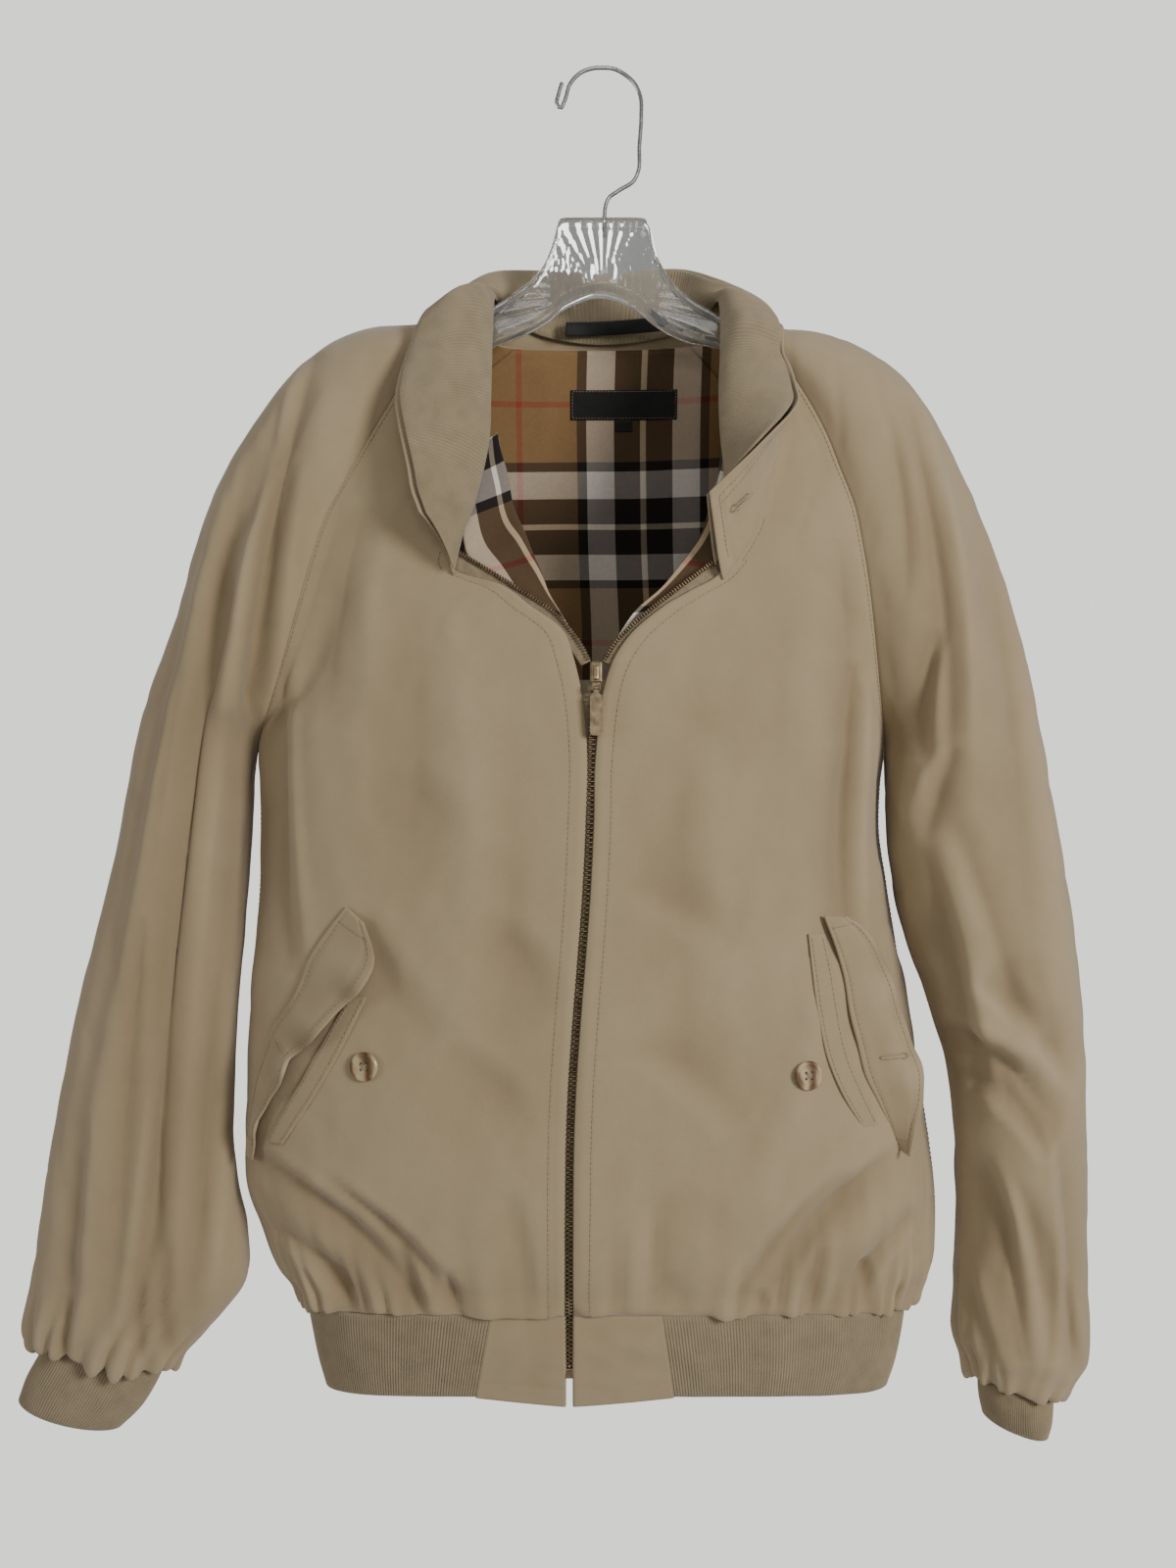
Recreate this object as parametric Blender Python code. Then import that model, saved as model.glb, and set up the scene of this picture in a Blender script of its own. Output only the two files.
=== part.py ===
"""Harrington jacket on a clear hanger: solids in metres, +Z up, front towards -Y.

The origin is the inside of the hook's crown.  Sizes below are millimetres.
Every cloth piece is a wall worked out from rings (sleeves, cuffs, hem) or
sections of the trunk, cut at the seams and pulled SEAM apart there.
"""
import bpy
import bmesh
import numpy as np
from math import radians, pi

for stale in list(bpy.data.objects):
    bpy.data.objects.remove(stale, do_unlink=True)

MM = 0.001
WALL = 2.0            # shell cloth and its lining
RIB_WALL = 2.4        # knit bands
COLLAR_WALL = 1.3     # collar ply
SEAM = 0.3            # gap at every seam
CENTRE_X = -8.0       # middle of the trunk
POWER = 2.4           # squareness of the trunk's section
CROTCH = 11           # ring at the underarm
SLEEVE_COLS = 23
FRONT_COLS = 10
BACK_COLS = 17
WIRE = 1.4            # hook wire radius
BUTTON_R = 9.2
HANGER_HALF = 5.0

# ---------------------------------------------------------------- tables, mm
# over-arm point o, front seam / inner point f, seam opening gf (front), gb (back), depth, y of the ring
SLEEVE_COLUMNS = ("ox", "oz", "fx", "fz", "gf", "gb", "depth", "cy")
SLEEVE_LEFT = (
    (-87, -163, -96, -192, 20, 8, 30, 0),
    (-118, -170, -112, -204, 22, 14, 35, 0),
    (-150, -174, -126, -216, 24, 19, 39, 0),
    (-178, -184, -138, -236, 26, 24, 43, 0),
    (-205, -205, -151, -259, 28, 28, 47, 0),
    (-228, -234, -164, -283, 30, 31, 51, 0),
    (-245, -262, -177, -308, 33, 34, 54, 0),
    (-260, -297, -187, -338, 37, 38, 57, 0),
    (-273, -335, -196, -368, 42, 43, 58, 0),
    (-285, -374, -206, -399, 50, 51, 58, 1),
    (-298, -413, -218, -430, 64, 64, 57, 2),
    (-310, -452, -229, -455, 90, 90, 56, 4),
    (-318, -498, -232, -500, 90, 90, 55, -2),
    (-326, -545, -235, -546, 90, 90, 54, -6),
    (-336, -590, -238, -590, 90, 90, 53, -8),
    (-345, -632, -240, -632, 90, 90, 52, -10),
    (-354, -672, -242, -672, 90, 90, 51, -10),
    (-361, -708, -243, -708, 90, 90, 50, -10),
    (-366, -740, -241, -742, 90, 90, 49, -10),
    (-370, -768, -235, -773, 90, 90, 47, -10),
    (-374, -797, -235, -806, 90, 90, 44, -10),
    (-378, -828, -258, -838, 90, 90, 39, -10),
    (-376, -840, -276, -856, 90, 90, 32, -10),
    (-367, -841, -289, -863, 90, 90, 24, -10),
)
SLEEVE_RIGHT = (
    (95, -169, 106, -192, 20, 8, 30, 0),
    (119, -175, 118, -204, 22, 14, 35, 0),
    (148, -179, 128, -219, 24, 19, 39, 0),
    (173, -187, 137, -235, 26, 24, 43, 0),
    (197, -203, 146, -254, 28, 28, 47, 0),
    (217, -227, 154, -276, 30, 31, 51, 0),
    (236, -262, 163, -300, 33, 34, 54, 0),
    (252, -295, 168, -324, 37, 38, 57, 0),
    (265, -330, 173, -352, 42, 43, 58, 0),
    (277, -370, 178, -384, 50, 51, 58, 2),
    (288, -413, 184, -420, 64, 64, 57, 4),
    (296, -455, 191, -452, 90, 90, 56, 5),
    (302, -498, 192, -500, 90, 90, 55, 1),
    (308, -540, 195, -543, 90, 90, 54, -5),
    (312, -578, 202, -578, 90, 90, 52, -11),
    (315, -615, 212, -611, 90, 90, 51, -15),
    (317, -655, 223, -650, 90, 90, 49, -16),
    (319, -700, 231, -695, 90, 90, 48, -15),
    (320, -740, 234, -740, 90, 90, 47, -14),
    (321, -775, 235, -775, 90, 90, 45, -14),
    (322, -808, 234, -806, 90, 90, 43, -14),
    (323, -843, 233, -838, 90, 90, 40, -14),
    (316, -864, 240, -856, 90, 90, 33, -14),
    (299, -880, 250, -867, 90, 90, 23, -14),
)
# neckline and zip edge of each front (ex, ez), then its outer edge below the underarm (sz)
FRONT_COLUMNS = ("ex", "ez")
FRONT_LEFT = (
    (-91, -197), (-89, -214), (-88, -234), (-88, -254), (-88, -275), (-88, -296), (-90, -320),
    (-94, -342), (-63, -353), (-45, -366), (-25, -381), (-18, -398), (-12, -425), (-9.3, -462),
    (-9.6, -500), (-10.8, -545), (-14, -585), (-17.5, -625), (-20.3, -668), (-22.2, -706),
    (-22.6, -740), (-22.8, -768), (-22.9, -790), (-22.9, -802), (-22.8, -812),
)
FRONT_RIGHT = (
    (101, -197), (106, -210), (112, -226), (115, -243), (114, -260), (109, -278), (101, -298),
    (93, -320), (76, -345), (56, -357), (38, -368), (17, -387), (3.5, -414), (-3.4, -462),
    (-4, -500), (-5.2, -545), (-8.4, -585), (-12, -625), (-14.7, -668), (-16.6, -706),
    (-17, -740), (-17.2, -768), (-17.3, -790), (-17.3, -802), (-17.2, -812),
)
SIDE_Z = (-482, -512, -546, -580, -614, -650, -682, -713, -743, -770, -795, -811, -822)
# trunk below the underarm: side extents, their y, and front and back depth
TRUNK_COLUMNS = ("z", "left", "right", "yl", "yr", "front", "back")
TRUNK = (
    (-470, -228.5, 190, 6, 12, 76, 67),
    (-500, -228.5, 190, 8, 20, 78, 68),
    (-545, -229.5, 196, 10, 24, 79, 70),
    (-610, -234, 206, 10, 24, 80, 72),
    (-675, -237, 217, 8, 20, 80, 74),
    (-720, -238, 223, 6, 14, 80, 75),
    (-745, -236, 225, 5, 10, 80, 75),
    (-770, -227, 225, 4, 6, 78, 74),
    (-795, -216, 221, 3, 3, 74, 70),
    (-812, -204, 213, 2, 2, 66, 62),
    (-824, -196, 205, 2, 2, 58, 55),
)
YOKE_COLUMNS = ("z", "front", "back")
YOKE = (
    (-160, 24, 42), (-192, 36, 48), (-230, 48, 54), (-280, 59, 59), (-340, 66, 62),
    (-400, 71, 64), (-440, 74, 66),
)
# zip line down the closed front
ZIP_COLUMNS = ("x", "z")
ZIP = (
    (-2.6, -402), (-3.4, -418), (-5.4, -445), (-6.3, -478), (-7.3, -515), (-9.8, -557),
    (-14, -611), (-17.6, -660), (-19.4, -708), (-19.9, -782), (-19.8, -848),
)
ZIP_OPEN_LEFT = ((-91, -331), (-73, -342), (-51.5, -355.5), (-29.5, -370), (-13.5, -389), (-7.0, -401))
ZIP_OPEN_RIGHT = ((71, -338), (53.5, -351), (36, -364.5), (20, -378), (9.5, -389), (2.0, -401))
# collar stations: knit foot, top edge, arch of the ply; front end to front end
COLLAR_COLUMNS = ("kx", "ky", "kz", "tx", "ty", "tz", "arch")
COLLAR = (
    (-93, -71, -343, -112, -88, -311, 3),
    (-87, -66, -320, -117, -83, -297, 4),
    (-80, -61, -300, -120, -78, -281, 5),
    (-72, -53, -262, -127, -66, -250, 7),
    (-71, -45, -228, -129, -58, -232, 9),
    (-71, -32, -192, -125, -46, -207, 12),
    (-71, -12, -158, -117, -30, -180, 15),
    (-69, 10, -153, -103, -6, -159, 15),
    (-58, 28, -160, -80, 20, -132, 9),
    (-36, 38, -168, -53, 46, -120, 5),
    (2, 42, -172, 3, 58, -119, 3),
    (44, 38, -168, 52, 46, -119, 3),
    (66, 28, -161, 79, 22, -133, 6),
    (77, 10, -155, 101, 4, -150, 10),
    (80, -10, -160, 114, -16, -170, 11),
    (79, -30, -194, 119, -36, -199, 9),
    (77, -42, -224, 124, -56, -226, 8),
    (77, -50, -252, 122, -74, -243, 6),
    (79, -58, -280, 102, -88, -266, 3),
    (80, -66, -310, 82, -92, -286, 1),
    (76, -71, -343, 67, -92, -300, 0),
)
# hem band: side extents and depths at its top and foot
HEM_COLUMNS = ("fall", "left", "right", "front", "back")
HEM = ((0, -195, 204, 66, 60), (16, -192, 202, 64, 57), (36, -188, 198, 60, 53), (54, -183, 192, 56, 50))
HEM_DROP = 10         # the seam is this much lower at the sides
TAB_LEFT, TAB_RIGHT = (-69, -79), (38, 46)   # outer edges of the self-fabric tabs, top and foot
TAB_FALL = 58
# cuffs: outer point, inner point, half depth, y
CUFF_COLUMNS = ("ox", "oz", "fx", "fz", "depth", "cy")
CUFF_LEFT = (
    (-366, -842, -289, -864, 23, -10), (-371, -853, -295, -876, 26, -10),
    (-380, -869, -304, -890, 26, -10), (-385, -884, -317, -903, 24, -10),
)
CUFF_RIGHT = (
    (299, -881, 250, -868, 22, -14), (298, -889, 250, -876, 25, -14),
    (297, -898, 251, -885, 25, -14), (295, -907, 253, -894, 23, -14),
)
# folds: start and end as fractions of columns (u) and rows (v), half width in u, depth
FOLD_COLUMNS = ("u0", "v0", "u1", "v1", "half", "depth")
FOLDS = {
    "sleeve_left": (
        (0.25, 0.16, 0.23, 0.86, 0.045, -7), (0.37, 0.30, 0.36, 0.88, 0.05, -6),
        (0.13, 0.44, 0.15, 0.92, 0.05, -5), (0.62, 0.22, 0.66, 0.90, 0.06, -6),
        (0.80, 0.42, 0.82, 0.90, 0.05, -6),
    ),
    "sleeve_right": (
        (0.34, 0.22, 0.30, 0.60, 0.05, -5), (0.10, 0.60, 0.42, 0.74, 0.06, -8),
        (0.22, 0.80, 0.34, 0.96, 0.05, -7), (0.66, 0.20, 0.70, 0.86, 0.06, -6),
        (0.84, 0.46, 0.82, 0.90, 0.05, -6),
    ),
    "front_left": (
        (0.82, 0.86, 0.45, 0.95, 0.12, -5), (0.62, 0.84, 0.20, 0.90, 0.10, -4),
        (0.80, 0.30, 0.74, 0.56, 0.10, -5),
    ),
    "front_right": (
        (0.84, 0.84, 0.52, 0.94, 0.12, -5), (0.60, 0.80, 0.25, 0.88, 0.10, -4),
        (0.92, 0.40, 0.90, 0.66, 0.07, -7),
    ),
    "back": (
        (0.12, 0.86, 0.30, 0.95, 0.06, -4), (0.88, 0.86, 0.70, 0.95, 0.06, -4),
        (0.14, 0.30, 0.20, 0.60, 0.05, -5), (0.86, 0.30, 0.80, 0.60, 0.05, -5),
        (0.45, 0.20, 0.48, 0.60, 0.06, -3),
    ),
}
# pocket flaps: sewn edge (ax, az), free edge (bx, bz), stand-off of the free edge
FLAP_COLUMNS = ("ax", "az", "bx", "bz", "off")
FLAP_LEFT = (
    (-160, -556, -148, -565, 4), (-172, -571, -141, -588, 9), (-184, -588, -148, -605, 12),
    (-191, -606, -160, -616, 9), (-199, -620, -178, -636, 13), (-209, -634, -194, -650, 9),
    (-216, -650, -200, -664, 12), (-223, -672, -211, -680, 9), (-228, -694, -219, -697, 8),
    (-231, -720, -225, -721, 5),
)
FLAP_RIGHT = (
    (142, -562, 156, -563, 5), (149, -580, 168, -571, 10), (155, -600, 180, -589, 14),
    (159, -624, 190, -616, 18), (164, -643, 198, -641, 22), (169, -663, 205, -660, 26),
    (177, -679, 206, -680, 24), (185, -695, 201, -697, 18), (193, -712, 198, -715, 12),
)
LIP_LEFT = ((-152, -612, 10), (-160, -626, 12), (-172, -648, 14), (-186, -672, 14), (-200, -694, 13), (-208, -708, 10))
LIP_RIGHT = ((136, -573, 10), (140, -596, 13), (144, -622, 14), (150, -650, 14), (160, -674, 14), (172, -696, 11))
BUTTONS = (("pocket_button_left", -148, -655), ("pocket_button_right", 130, -661))
# hanger: x, upper edge, lower edge
HANGER_COLUMNS = ("x", "top", "foot", "half")
HANGER = (
    (-207, -216, -232, 3.5), (-200, -208, -231, 4.2), (-178, -192, -221, 5), (-150, -181, -211, 5),
    (-132, -181, -207, 5), (-115, -177, -202, 5), (-87, -168.5, -192, 5), (-72, -159, -185.5, 5),
    (-54, -147, -179, 5), (-43, -138, -174, 5), (-35, -125, -169, 5), (-30, -110, -165, 5),
    (-28, -102, -163.5, 5), (-26, -99.5, -162, 5), (-21, -99, -159, 5), (0, -99, -152.6, 5), (20, -99, -158.5, 5),
    (29, -99.5, -165, 5), (32.5, -103, -168, 5), (35, -111, -170, 5), (38.6, -125, -172.6, 5), (47, -140, -177.5, 5),
    (60, -153, -182.5, 5), (77, -163, -186, 5), (95, -175, -194, 5), (117, -182, -203, 5),
    (128, -185, -207, 5), (148, -189, -212, 5), (173, -195, -221, 5), (194, -209, -230, 4.2),
    (202, -219, -232, 3.5),
)
HOOK = (
    (-25.5, -8.5), (-28, -17), (-29, -22.5), (-26.5, -25.5), (-23.5, -20), (-20.5, -10), (-13, -1.8), (-5, 1.2),
    (2, 1.6), (9, 1.0), (16, -2.5), (23.5, -9.5), (27.3, -19), (27.6, -30), (26.3, -52), (25.5, -68),
    (23, -73.5), (12, -81), (5.5, -86), (3.5, -92), (3.0, -99), (3.0, -112),
)

# ------------------------------------------------------------------ materials
MATERIALS = {}


def material(name, colour, rough=0.85, metal=0.0, transmission=0.0, alpha=1.0):
    """A plain Principled material, made once."""
    if name in MATERIALS:
        return MATERIALS[name]
    made = bpy.data.materials.new(name)
    made.use_nodes = True
    shader = made.node_tree.nodes["Principled BSDF"]
    shader.inputs["Base Color"].default_value = (*colour, 1.0)
    shader.inputs["Roughness"].default_value = rough
    shader.inputs["Metallic"].default_value = metal
    shader.inputs["Transmission Weight"].default_value = transmission
    shader.inputs["Alpha"].default_value = alpha
    made.diffuse_color = (*colour, alpha)
    MATERIALS[name] = made
    return made


SHELL = material("shell_cotton", (0.38, 0.31, 0.20))
KNIT = material("rib_knit", (0.34, 0.28, 0.19))
LINING = material("lining_check", (0.31, 0.19, 0.08))
LABEL = material("label_black", (0.02, 0.018, 0.016))
ZIPMETAL = material("zip_bronze", (0.30, 0.24, 0.18), 0.4, 0.8)
TAPE = material("zip_tape", (0.36, 0.30, 0.22))
HORN = material("button_horn", (0.26, 0.17, 0.08), 0.35)
CLEAR = material("clear_plastic", (0.9, 0.92, 0.93), 0.08, 0.0, 0.9, 0.35)
STEEL = material("steel_wire", (0.55, 0.55, 0.56), 0.25, 1.0)

# --------------------------------------------------------------------- curves


def column(rows, names, name):
    """One named column of a table as an array."""
    return np.array(rows, dtype=float)[:, names.index(name)]


def smooth(at, xs, ys):
    """Monotone cubic through (xs, ys): slopes are the harmonic mean of the two neighbouring chords."""
    xs, ys, at = np.asarray(xs, float), np.asarray(ys, float), np.asarray(at, float)
    if xs[0] > xs[-1]:
        xs, ys = xs[::-1], ys[::-1]
    h = np.diff(xs)
    d = np.diff(ys) / h
    m = np.zeros_like(ys)
    same = d[1:] * d[:-1] > 0
    w1, w2 = 2 * h[1:] + h[:-1], h[1:] + 2 * h[:-1]
    inner = np.zeros(len(d) - 1)
    inner[same] = ((w1 + w2)[same]) / (w1[same] / d[:-1][same] + w2[same] / d[1:][same])
    m[1:-1] = inner
    m[0], m[-1] = d[0], d[-1]
    at = np.clip(at, xs[0], xs[-1])
    i = np.clip(np.searchsorted(xs, at) - 1, 0, len(h) - 1)
    t = (at - xs[i]) / h[i]
    return ((2 * t**3 - 3 * t**2 + 1) * ys[i] + (t**3 - 2 * t**2 + t) * h[i] * m[i]
            + (-2 * t**3 + 3 * t**2) * ys[i + 1] + (t**3 - t**2) * h[i] * m[i + 1])


def rounded(at, xs, ys):
    """Cubic through the points with chord-length slopes (not monotone, so bends stay round)."""
    m = np.gradient(ys, xs)
    i = np.clip(np.searchsorted(xs, at) - 1, 0, len(xs) - 2)
    h = xs[i + 1] - xs[i]
    t = (at - xs[i]) / h
    return ((2 * t**3 - 3 * t**2 + 1) * ys[i] + (t**3 - 2 * t**2 + t) * h * m[i]
            + (-2 * t**3 + 3 * t**2) * ys[i + 1] + (t**3 - t**2) * h * m[i + 1])


def unit(v):
    """Vectors scaled to length one."""
    v = np.asarray(v, float)
    return v / np.maximum(np.linalg.norm(v, axis=-1, keepdims=True), 1e-9)


def normals(grid, toward):
    """Grid normals from central differences, turned to the side of `toward`."""
    du = np.gradient(grid, axis=1)
    dv = np.gradient(grid, axis=0)
    n = unit(np.cross(du, dv))
    flip = np.sum(n * toward, axis=-1, keepdims=True) < 0
    return np.where(flip, -n, n)


def folds(name, rows, cols):
    """Depth of the named piece's folds: a bell across each fold's line, fading to its ends."""
    v, u = np.meshgrid(np.linspace(0, 1, rows), np.linspace(0, 1, cols), indexing="ij")
    total = np.zeros((rows, cols))
    for u0, v0, u1, v1, half, depth in FOLDS.get(name, ()):
        along = np.clip((v - v0) / (v1 - v0), 0, 1)
        line = u0 + (u1 - u0) * along
        fade = np.sin(pi * along) ** 0.5
        total += depth * fade * np.exp(-((u - line) / half) ** 2)
    return total


# --------------------------------------------------------------------- meshes


def body(name, verts, faces, mat):
    """One named object from millimetre points; faces are turned outward."""
    mesh = bpy.data.meshes.new(name)
    mesh.from_pydata([tuple(p) for p in np.asarray(verts) * MM], [], faces)
    work = bmesh.new()
    work.from_mesh(mesh)
    bmesh.ops.recalc_face_normals(work, faces=work.faces)
    if work.calc_volume(signed=True) < 0:
        bmesh.ops.reverse_faces(work, faces=work.faces)
    work.to_mesh(mesh)
    work.free()
    mesh.materials.append(mat)
    made = bpy.data.objects.new(name, mesh)
    bpy.context.scene.collection.objects.link(made)
    return made


def wall(name, outer, inner, mat, closed_from=None):
    """A cloth wall between two equal grids; columns meet from row `closed_from` down."""
    rows, cols = outer.shape[:2]
    number = np.arange(rows * cols).reshape(rows, cols)
    shift = rows * cols
    k = rows if closed_from is None else closed_from
    number[k:, cols - 1] = number[k:, 0]
    faces = []
    for r in range(rows - 1):
        for c in range(cols - 1):
            a, b, d, e = number[r, c], number[r, c + 1], number[r + 1, c + 1], number[r + 1, c]
            faces.append((a, b, d, e))
            faces.append((a + shift, e + shift, d + shift, b + shift))
    for r, flip in ((0, True), (rows - 1, False)):
        for c in range(cols - 1):
            a, b = number[r, c], number[r, c + 1]
            quad = (a, b, b + shift, a + shift)
            faces.append(quad if not flip else quad[::-1])
    for r in range(min(k, rows - 1)):
        for c, flip in ((0, True), (cols - 1, False)):
            a, b = number[r, c], number[r + 1, c]
            quad = (a, a + shift, b + shift, b)
            faces.append(quad if not flip else quad[::-1])
    verts = np.concatenate([outer.reshape(-1, 3), inner.reshape(-1, 3)])
    used = sorted({int(i) for f in faces for i in f})
    remap = {old: new for new, old in enumerate(used)}
    faces = [tuple(dict.fromkeys(remap[int(i)] for i in f)) for f in faces]
    return body(name, verts[used], [f for f in faces if len(f) > 2], mat)


# -------------------------------------------------------------------- sleeves


def sleeve_form(rows, skew):
    """Rings of one sleeve.

    Each ring is half an ellipse each way from the over-arm point: its lateral
    half-axis runs from the centre to that point, its other half-axis is the depth.
    Above the underarm the ring stops at 90 degrees plus the opening on each side.
    """
    get = lambda n: column(rows, SLEEVE_COLUMNS, n)
    over = np.stack([get("ox"), 0 * get("ox"), get("oz")], -1)
    front = np.stack([get("fx"), 0 * get("fx"), get("fz")], -1)
    bf, bb = np.radians(90 + get("gf")), np.radians(90 + get("gb"))
    lateral = (over - front) / (1 - np.cos(bf))[:, None]
    centre = over - lateral
    centre[:, 1] = get("cy")
    half = SLEEVE_COLS // 2
    s = np.linspace(-1, 1, 2 * half + 1)
    angle = np.where(s[None, :] < 0, s[None, :] * bf[:, None], s[None, :] * bb[:, None])
    grid = (centre[:, None] + lateral[:, None] * np.cos(angle)[..., None]
            + np.array([0, 1.0, 0]) * (get("depth")[:, None] * np.sin(angle))[..., None])
    fade = np.clip(1 - np.arange(len(rows)) / 6, 0, 1)[:, None, None] ** 2
    grid = grid + fade * np.clip(s, 0, 1)[None, :, None] ** 2 * np.array(skew)
    return grid, centre


def seam_frame(curve, inward, side):
    """Inward direction and across direction (trunk to sleeve) at each seam point."""
    tangent = unit(np.gradient(curve, axis=0))
    across = np.cross(tangent, inward)
    wrong = across[:, 0] * side < 0
    across = unit(np.where(wrong[:, None], -across, across))
    return across


SLEEVES = {}
for tag, rows, side, skew in (("left", SLEEVE_LEFT, -1, (24, 0, 12)), ("right", SLEEVE_RIGHT, 1, (-26, 0, 14))):
    grid, centre = sleeve_form(rows, skew)
    out = unit(grid - centre[:, None])
    n = normals(grid, out)
    n[CROTCH:, 0] = n[CROTCH:, -1] = unit(n[CROTCH:, 0] + n[CROTCH:, -1])
    depth = folds("sleeve_" + tag, *grid.shape[:2])
    edge = np.ones(grid.shape[1])
    edge[[0, 1, -2, -1]] = (0, 0.5, 0.5, 0)
    edges = np.ones((grid.shape[0], 1)) * edge
    edges[CROTCH + 2:] = 1
    grid = grid + n * (depth * edges)[..., None]
    SLEEVES[tag] = dict(grid=grid, normal=normals(grid, out), side=side, centre=centre)

# --------------------------------------------------------------------- trunk


class Half:
    """Virtual half-width of the trunk's section on one side, as a curve down z."""

    def __init__(self, seam_z, width, y, side):
        keep = np.argsort(-seam_z)
        below = column(TRUNK, TRUNK_COLUMNS, "z")
        extent = np.abs(column(TRUNK, TRUNK_COLUMNS, "left" if side < 0 else "right") - CENTRE_X)
        ys = column(TRUNK, TRUNK_COLUMNS, "yl" if side < 0 else "yr")
        self.z = np.concatenate([seam_z[keep], below])
        self.w = np.concatenate([width[keep], extent])
        self.y = np.concatenate([y[keep], ys])
        self.side = side

    def at(self, z):
        """Half-width and y of the side at height z."""
        return smooth(z, self.z, self.w), smooth(z, self.z, self.y)


def trunk_depth(z, name):
    """Depth of the front or back at height z."""
    zs = np.concatenate([column(YOKE, YOKE_COLUMNS, "z"), column(TRUNK, TRUNK_COLUMNS, "z")])
    ds = np.concatenate([column(YOKE, YOKE_COLUMNS, name), column(TRUNK, TRUNK_COLUMNS, name)])
    return smooth(z, zs, ds)


def make_half(tag, which):
    """Half-width curve that makes the trunk's section pass through the raglan seam."""
    form = SLEEVES[tag]
    seam = form["grid"][: CROTCH + 1, 0 if which == "front" else -1]
    ys = form["centre"][: CROTCH + 1, 1]
    depth = trunk_depth(seam[:, 2], which)
    sign = -1 if which == "front" else 1
    q = np.clip((seam[:, 1] - ys) * sign / (depth - ys * sign), 0, 0.98)
    width = np.abs(seam[:, 0] - CENTRE_X) / (1 - q**POWER) ** (1 / POWER)
    return Half(seam[:, 2], width, ys, form["side"])


HALVES = {(t, w): make_half(t, w) for t in ("left", "right") for w in ("front", "back")}


def section(half, which, psi, z):
    """Point of the trunk: x = width sin^(2/p), y = depth cos^(2/p), from the side's y."""
    w, ys = half.at(z)
    sign = -1 if which == "front" else 1
    depth = trunk_depth(z, which)
    s, c = np.sin(psi), np.cos(psi)
    x = CENTRE_X + half.side * w * np.sign(s) * np.abs(s) ** (2 / POWER)
    y = ys + sign * (depth - ys * sign) * np.abs(c) ** (2 / POWER)
    return np.stack([x, y, z + 0 * x], -1)


def psi_of(half, x, z):
    """Section angle of a given x at height z."""
    w, _ = half.at(z)
    t = np.clip((x - CENTRE_X) * half.side / w, -1, 1)
    return np.arcsin(np.sign(t) * np.abs(t) ** (POWER / 2))


def front_form(tag, table):
    """Grid of one front, zip edge (column 0) to raglan and side seam (last column)."""
    half = HALVES[tag, "front"]
    seam = SLEEVES[tag]["grid"][: CROTCH + 1, 0]
    ex, ez = column(table, FRONT_COLUMNS, "ex"), column(table, FRONT_COLUMNS, "ez")
    closed = ez < -450
    line = smooth(ez, column(ZIP, ZIP_COLUMNS, "z"), column(ZIP, ZIP_COLUMNS, "x"))
    ex = np.where(closed, line + half.side * 3.1, ex)
    sz = np.concatenate([seam[:, 2], SIDE_Z])
    end = np.concatenate([psi_of(half, seam[:, 0], seam[:, 2]), np.full(len(SIDE_Z), pi / 2)])
    end[CROTCH] = pi / 2
    start = psi_of(half, ex, ez)
    t = np.linspace(0, 1, FRONT_COLS)[None, :]
    lower = np.clip((np.arange(len(sz)) - CROTCH) / (len(sz) - 1 - CROTCH), 0, 1)[:, None]
    z = ez[:, None] + (sz - ez)[:, None] * (t * (1 - lower) + np.sin(pi / 2 * t) ** 2 * lower)
    psi = start[:, None] + (end - start)[:, None] * t
    grid = section(half, "front", psi, z)
    grid[: CROTCH + 1, -1] = seam
    return grid


def back_form():
    """Grid of the back, left side to right side."""
    left, right = SLEEVES["left"]["grid"][: CROTCH + 1, -1], SLEEVES["right"]["grid"][: CROTCH + 1, -1]
    zl, zr = np.concatenate([left[:, 2], SIDE_Z]), np.concatenate([right[:, 2], SIDE_Z])
    zc = (zl + zr) / 2 + 3 + 7 * np.clip((np.arange(len(zl)) - CROTCH) / 13, 0, 1)
    zc[0] = -176
    zc[1] = min(zc[1], -192)
    zc[2] = min(zc[2], -208)
    el = np.concatenate([psi_of(HALVES["left", "back"], left[:, 0], left[:, 2]), np.full(len(SIDE_Z), pi / 2)])
    er = np.concatenate([psi_of(HALVES["right", "back"], right[:, 0], right[:, 2]), np.full(len(SIDE_Z), pi / 2)])
    el[CROTCH] = er[CROTCH] = pi / 2
    t = np.linspace(-1, 1, BACK_COLS)
    parts = []
    for tag, e, ze, pick in (("left", el, zl, t < 0), ("right", er, zr, t >= 0)):
        f = np.abs(t[pick])[None, :]
        z = zc[:, None] + (ze - zc)[:, None] * np.sin(pi / 2 * f) ** 2
        parts.append(section(HALVES[tag, "back"], "back", e[:, None] * f, z))
    grid = np.concatenate(parts, axis=1)
    grid[: CROTCH + 1, 0], grid[: CROTCH + 1, -1] = left, right
    return grid


FRONTS = {"left": front_form("left", FRONT_LEFT), "right": front_form("right", FRONT_RIGHT)}
BACK = back_form()
PANELS = {}
for name, grid, sign in (("front_left", FRONTS["left"], -1), ("front_right", FRONTS["right"], -1), ("back", BACK, 1)):
    mid = np.zeros_like(grid)
    mid[..., 0], mid[..., 2] = CENTRE_X, grid[..., 2]
    n = normals(grid, grid - mid)
    depth = folds(name, *grid.shape[:2])
    edge = np.ones(grid.shape[1])
    edge[0] = edge[-1] = 0
    edge[1] = edge[-2] = 0.6
    grid = grid + n * (depth * edge)[..., None]
    PANELS[name] = dict(grid=grid, normal=normals(grid, grid - mid))

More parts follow.
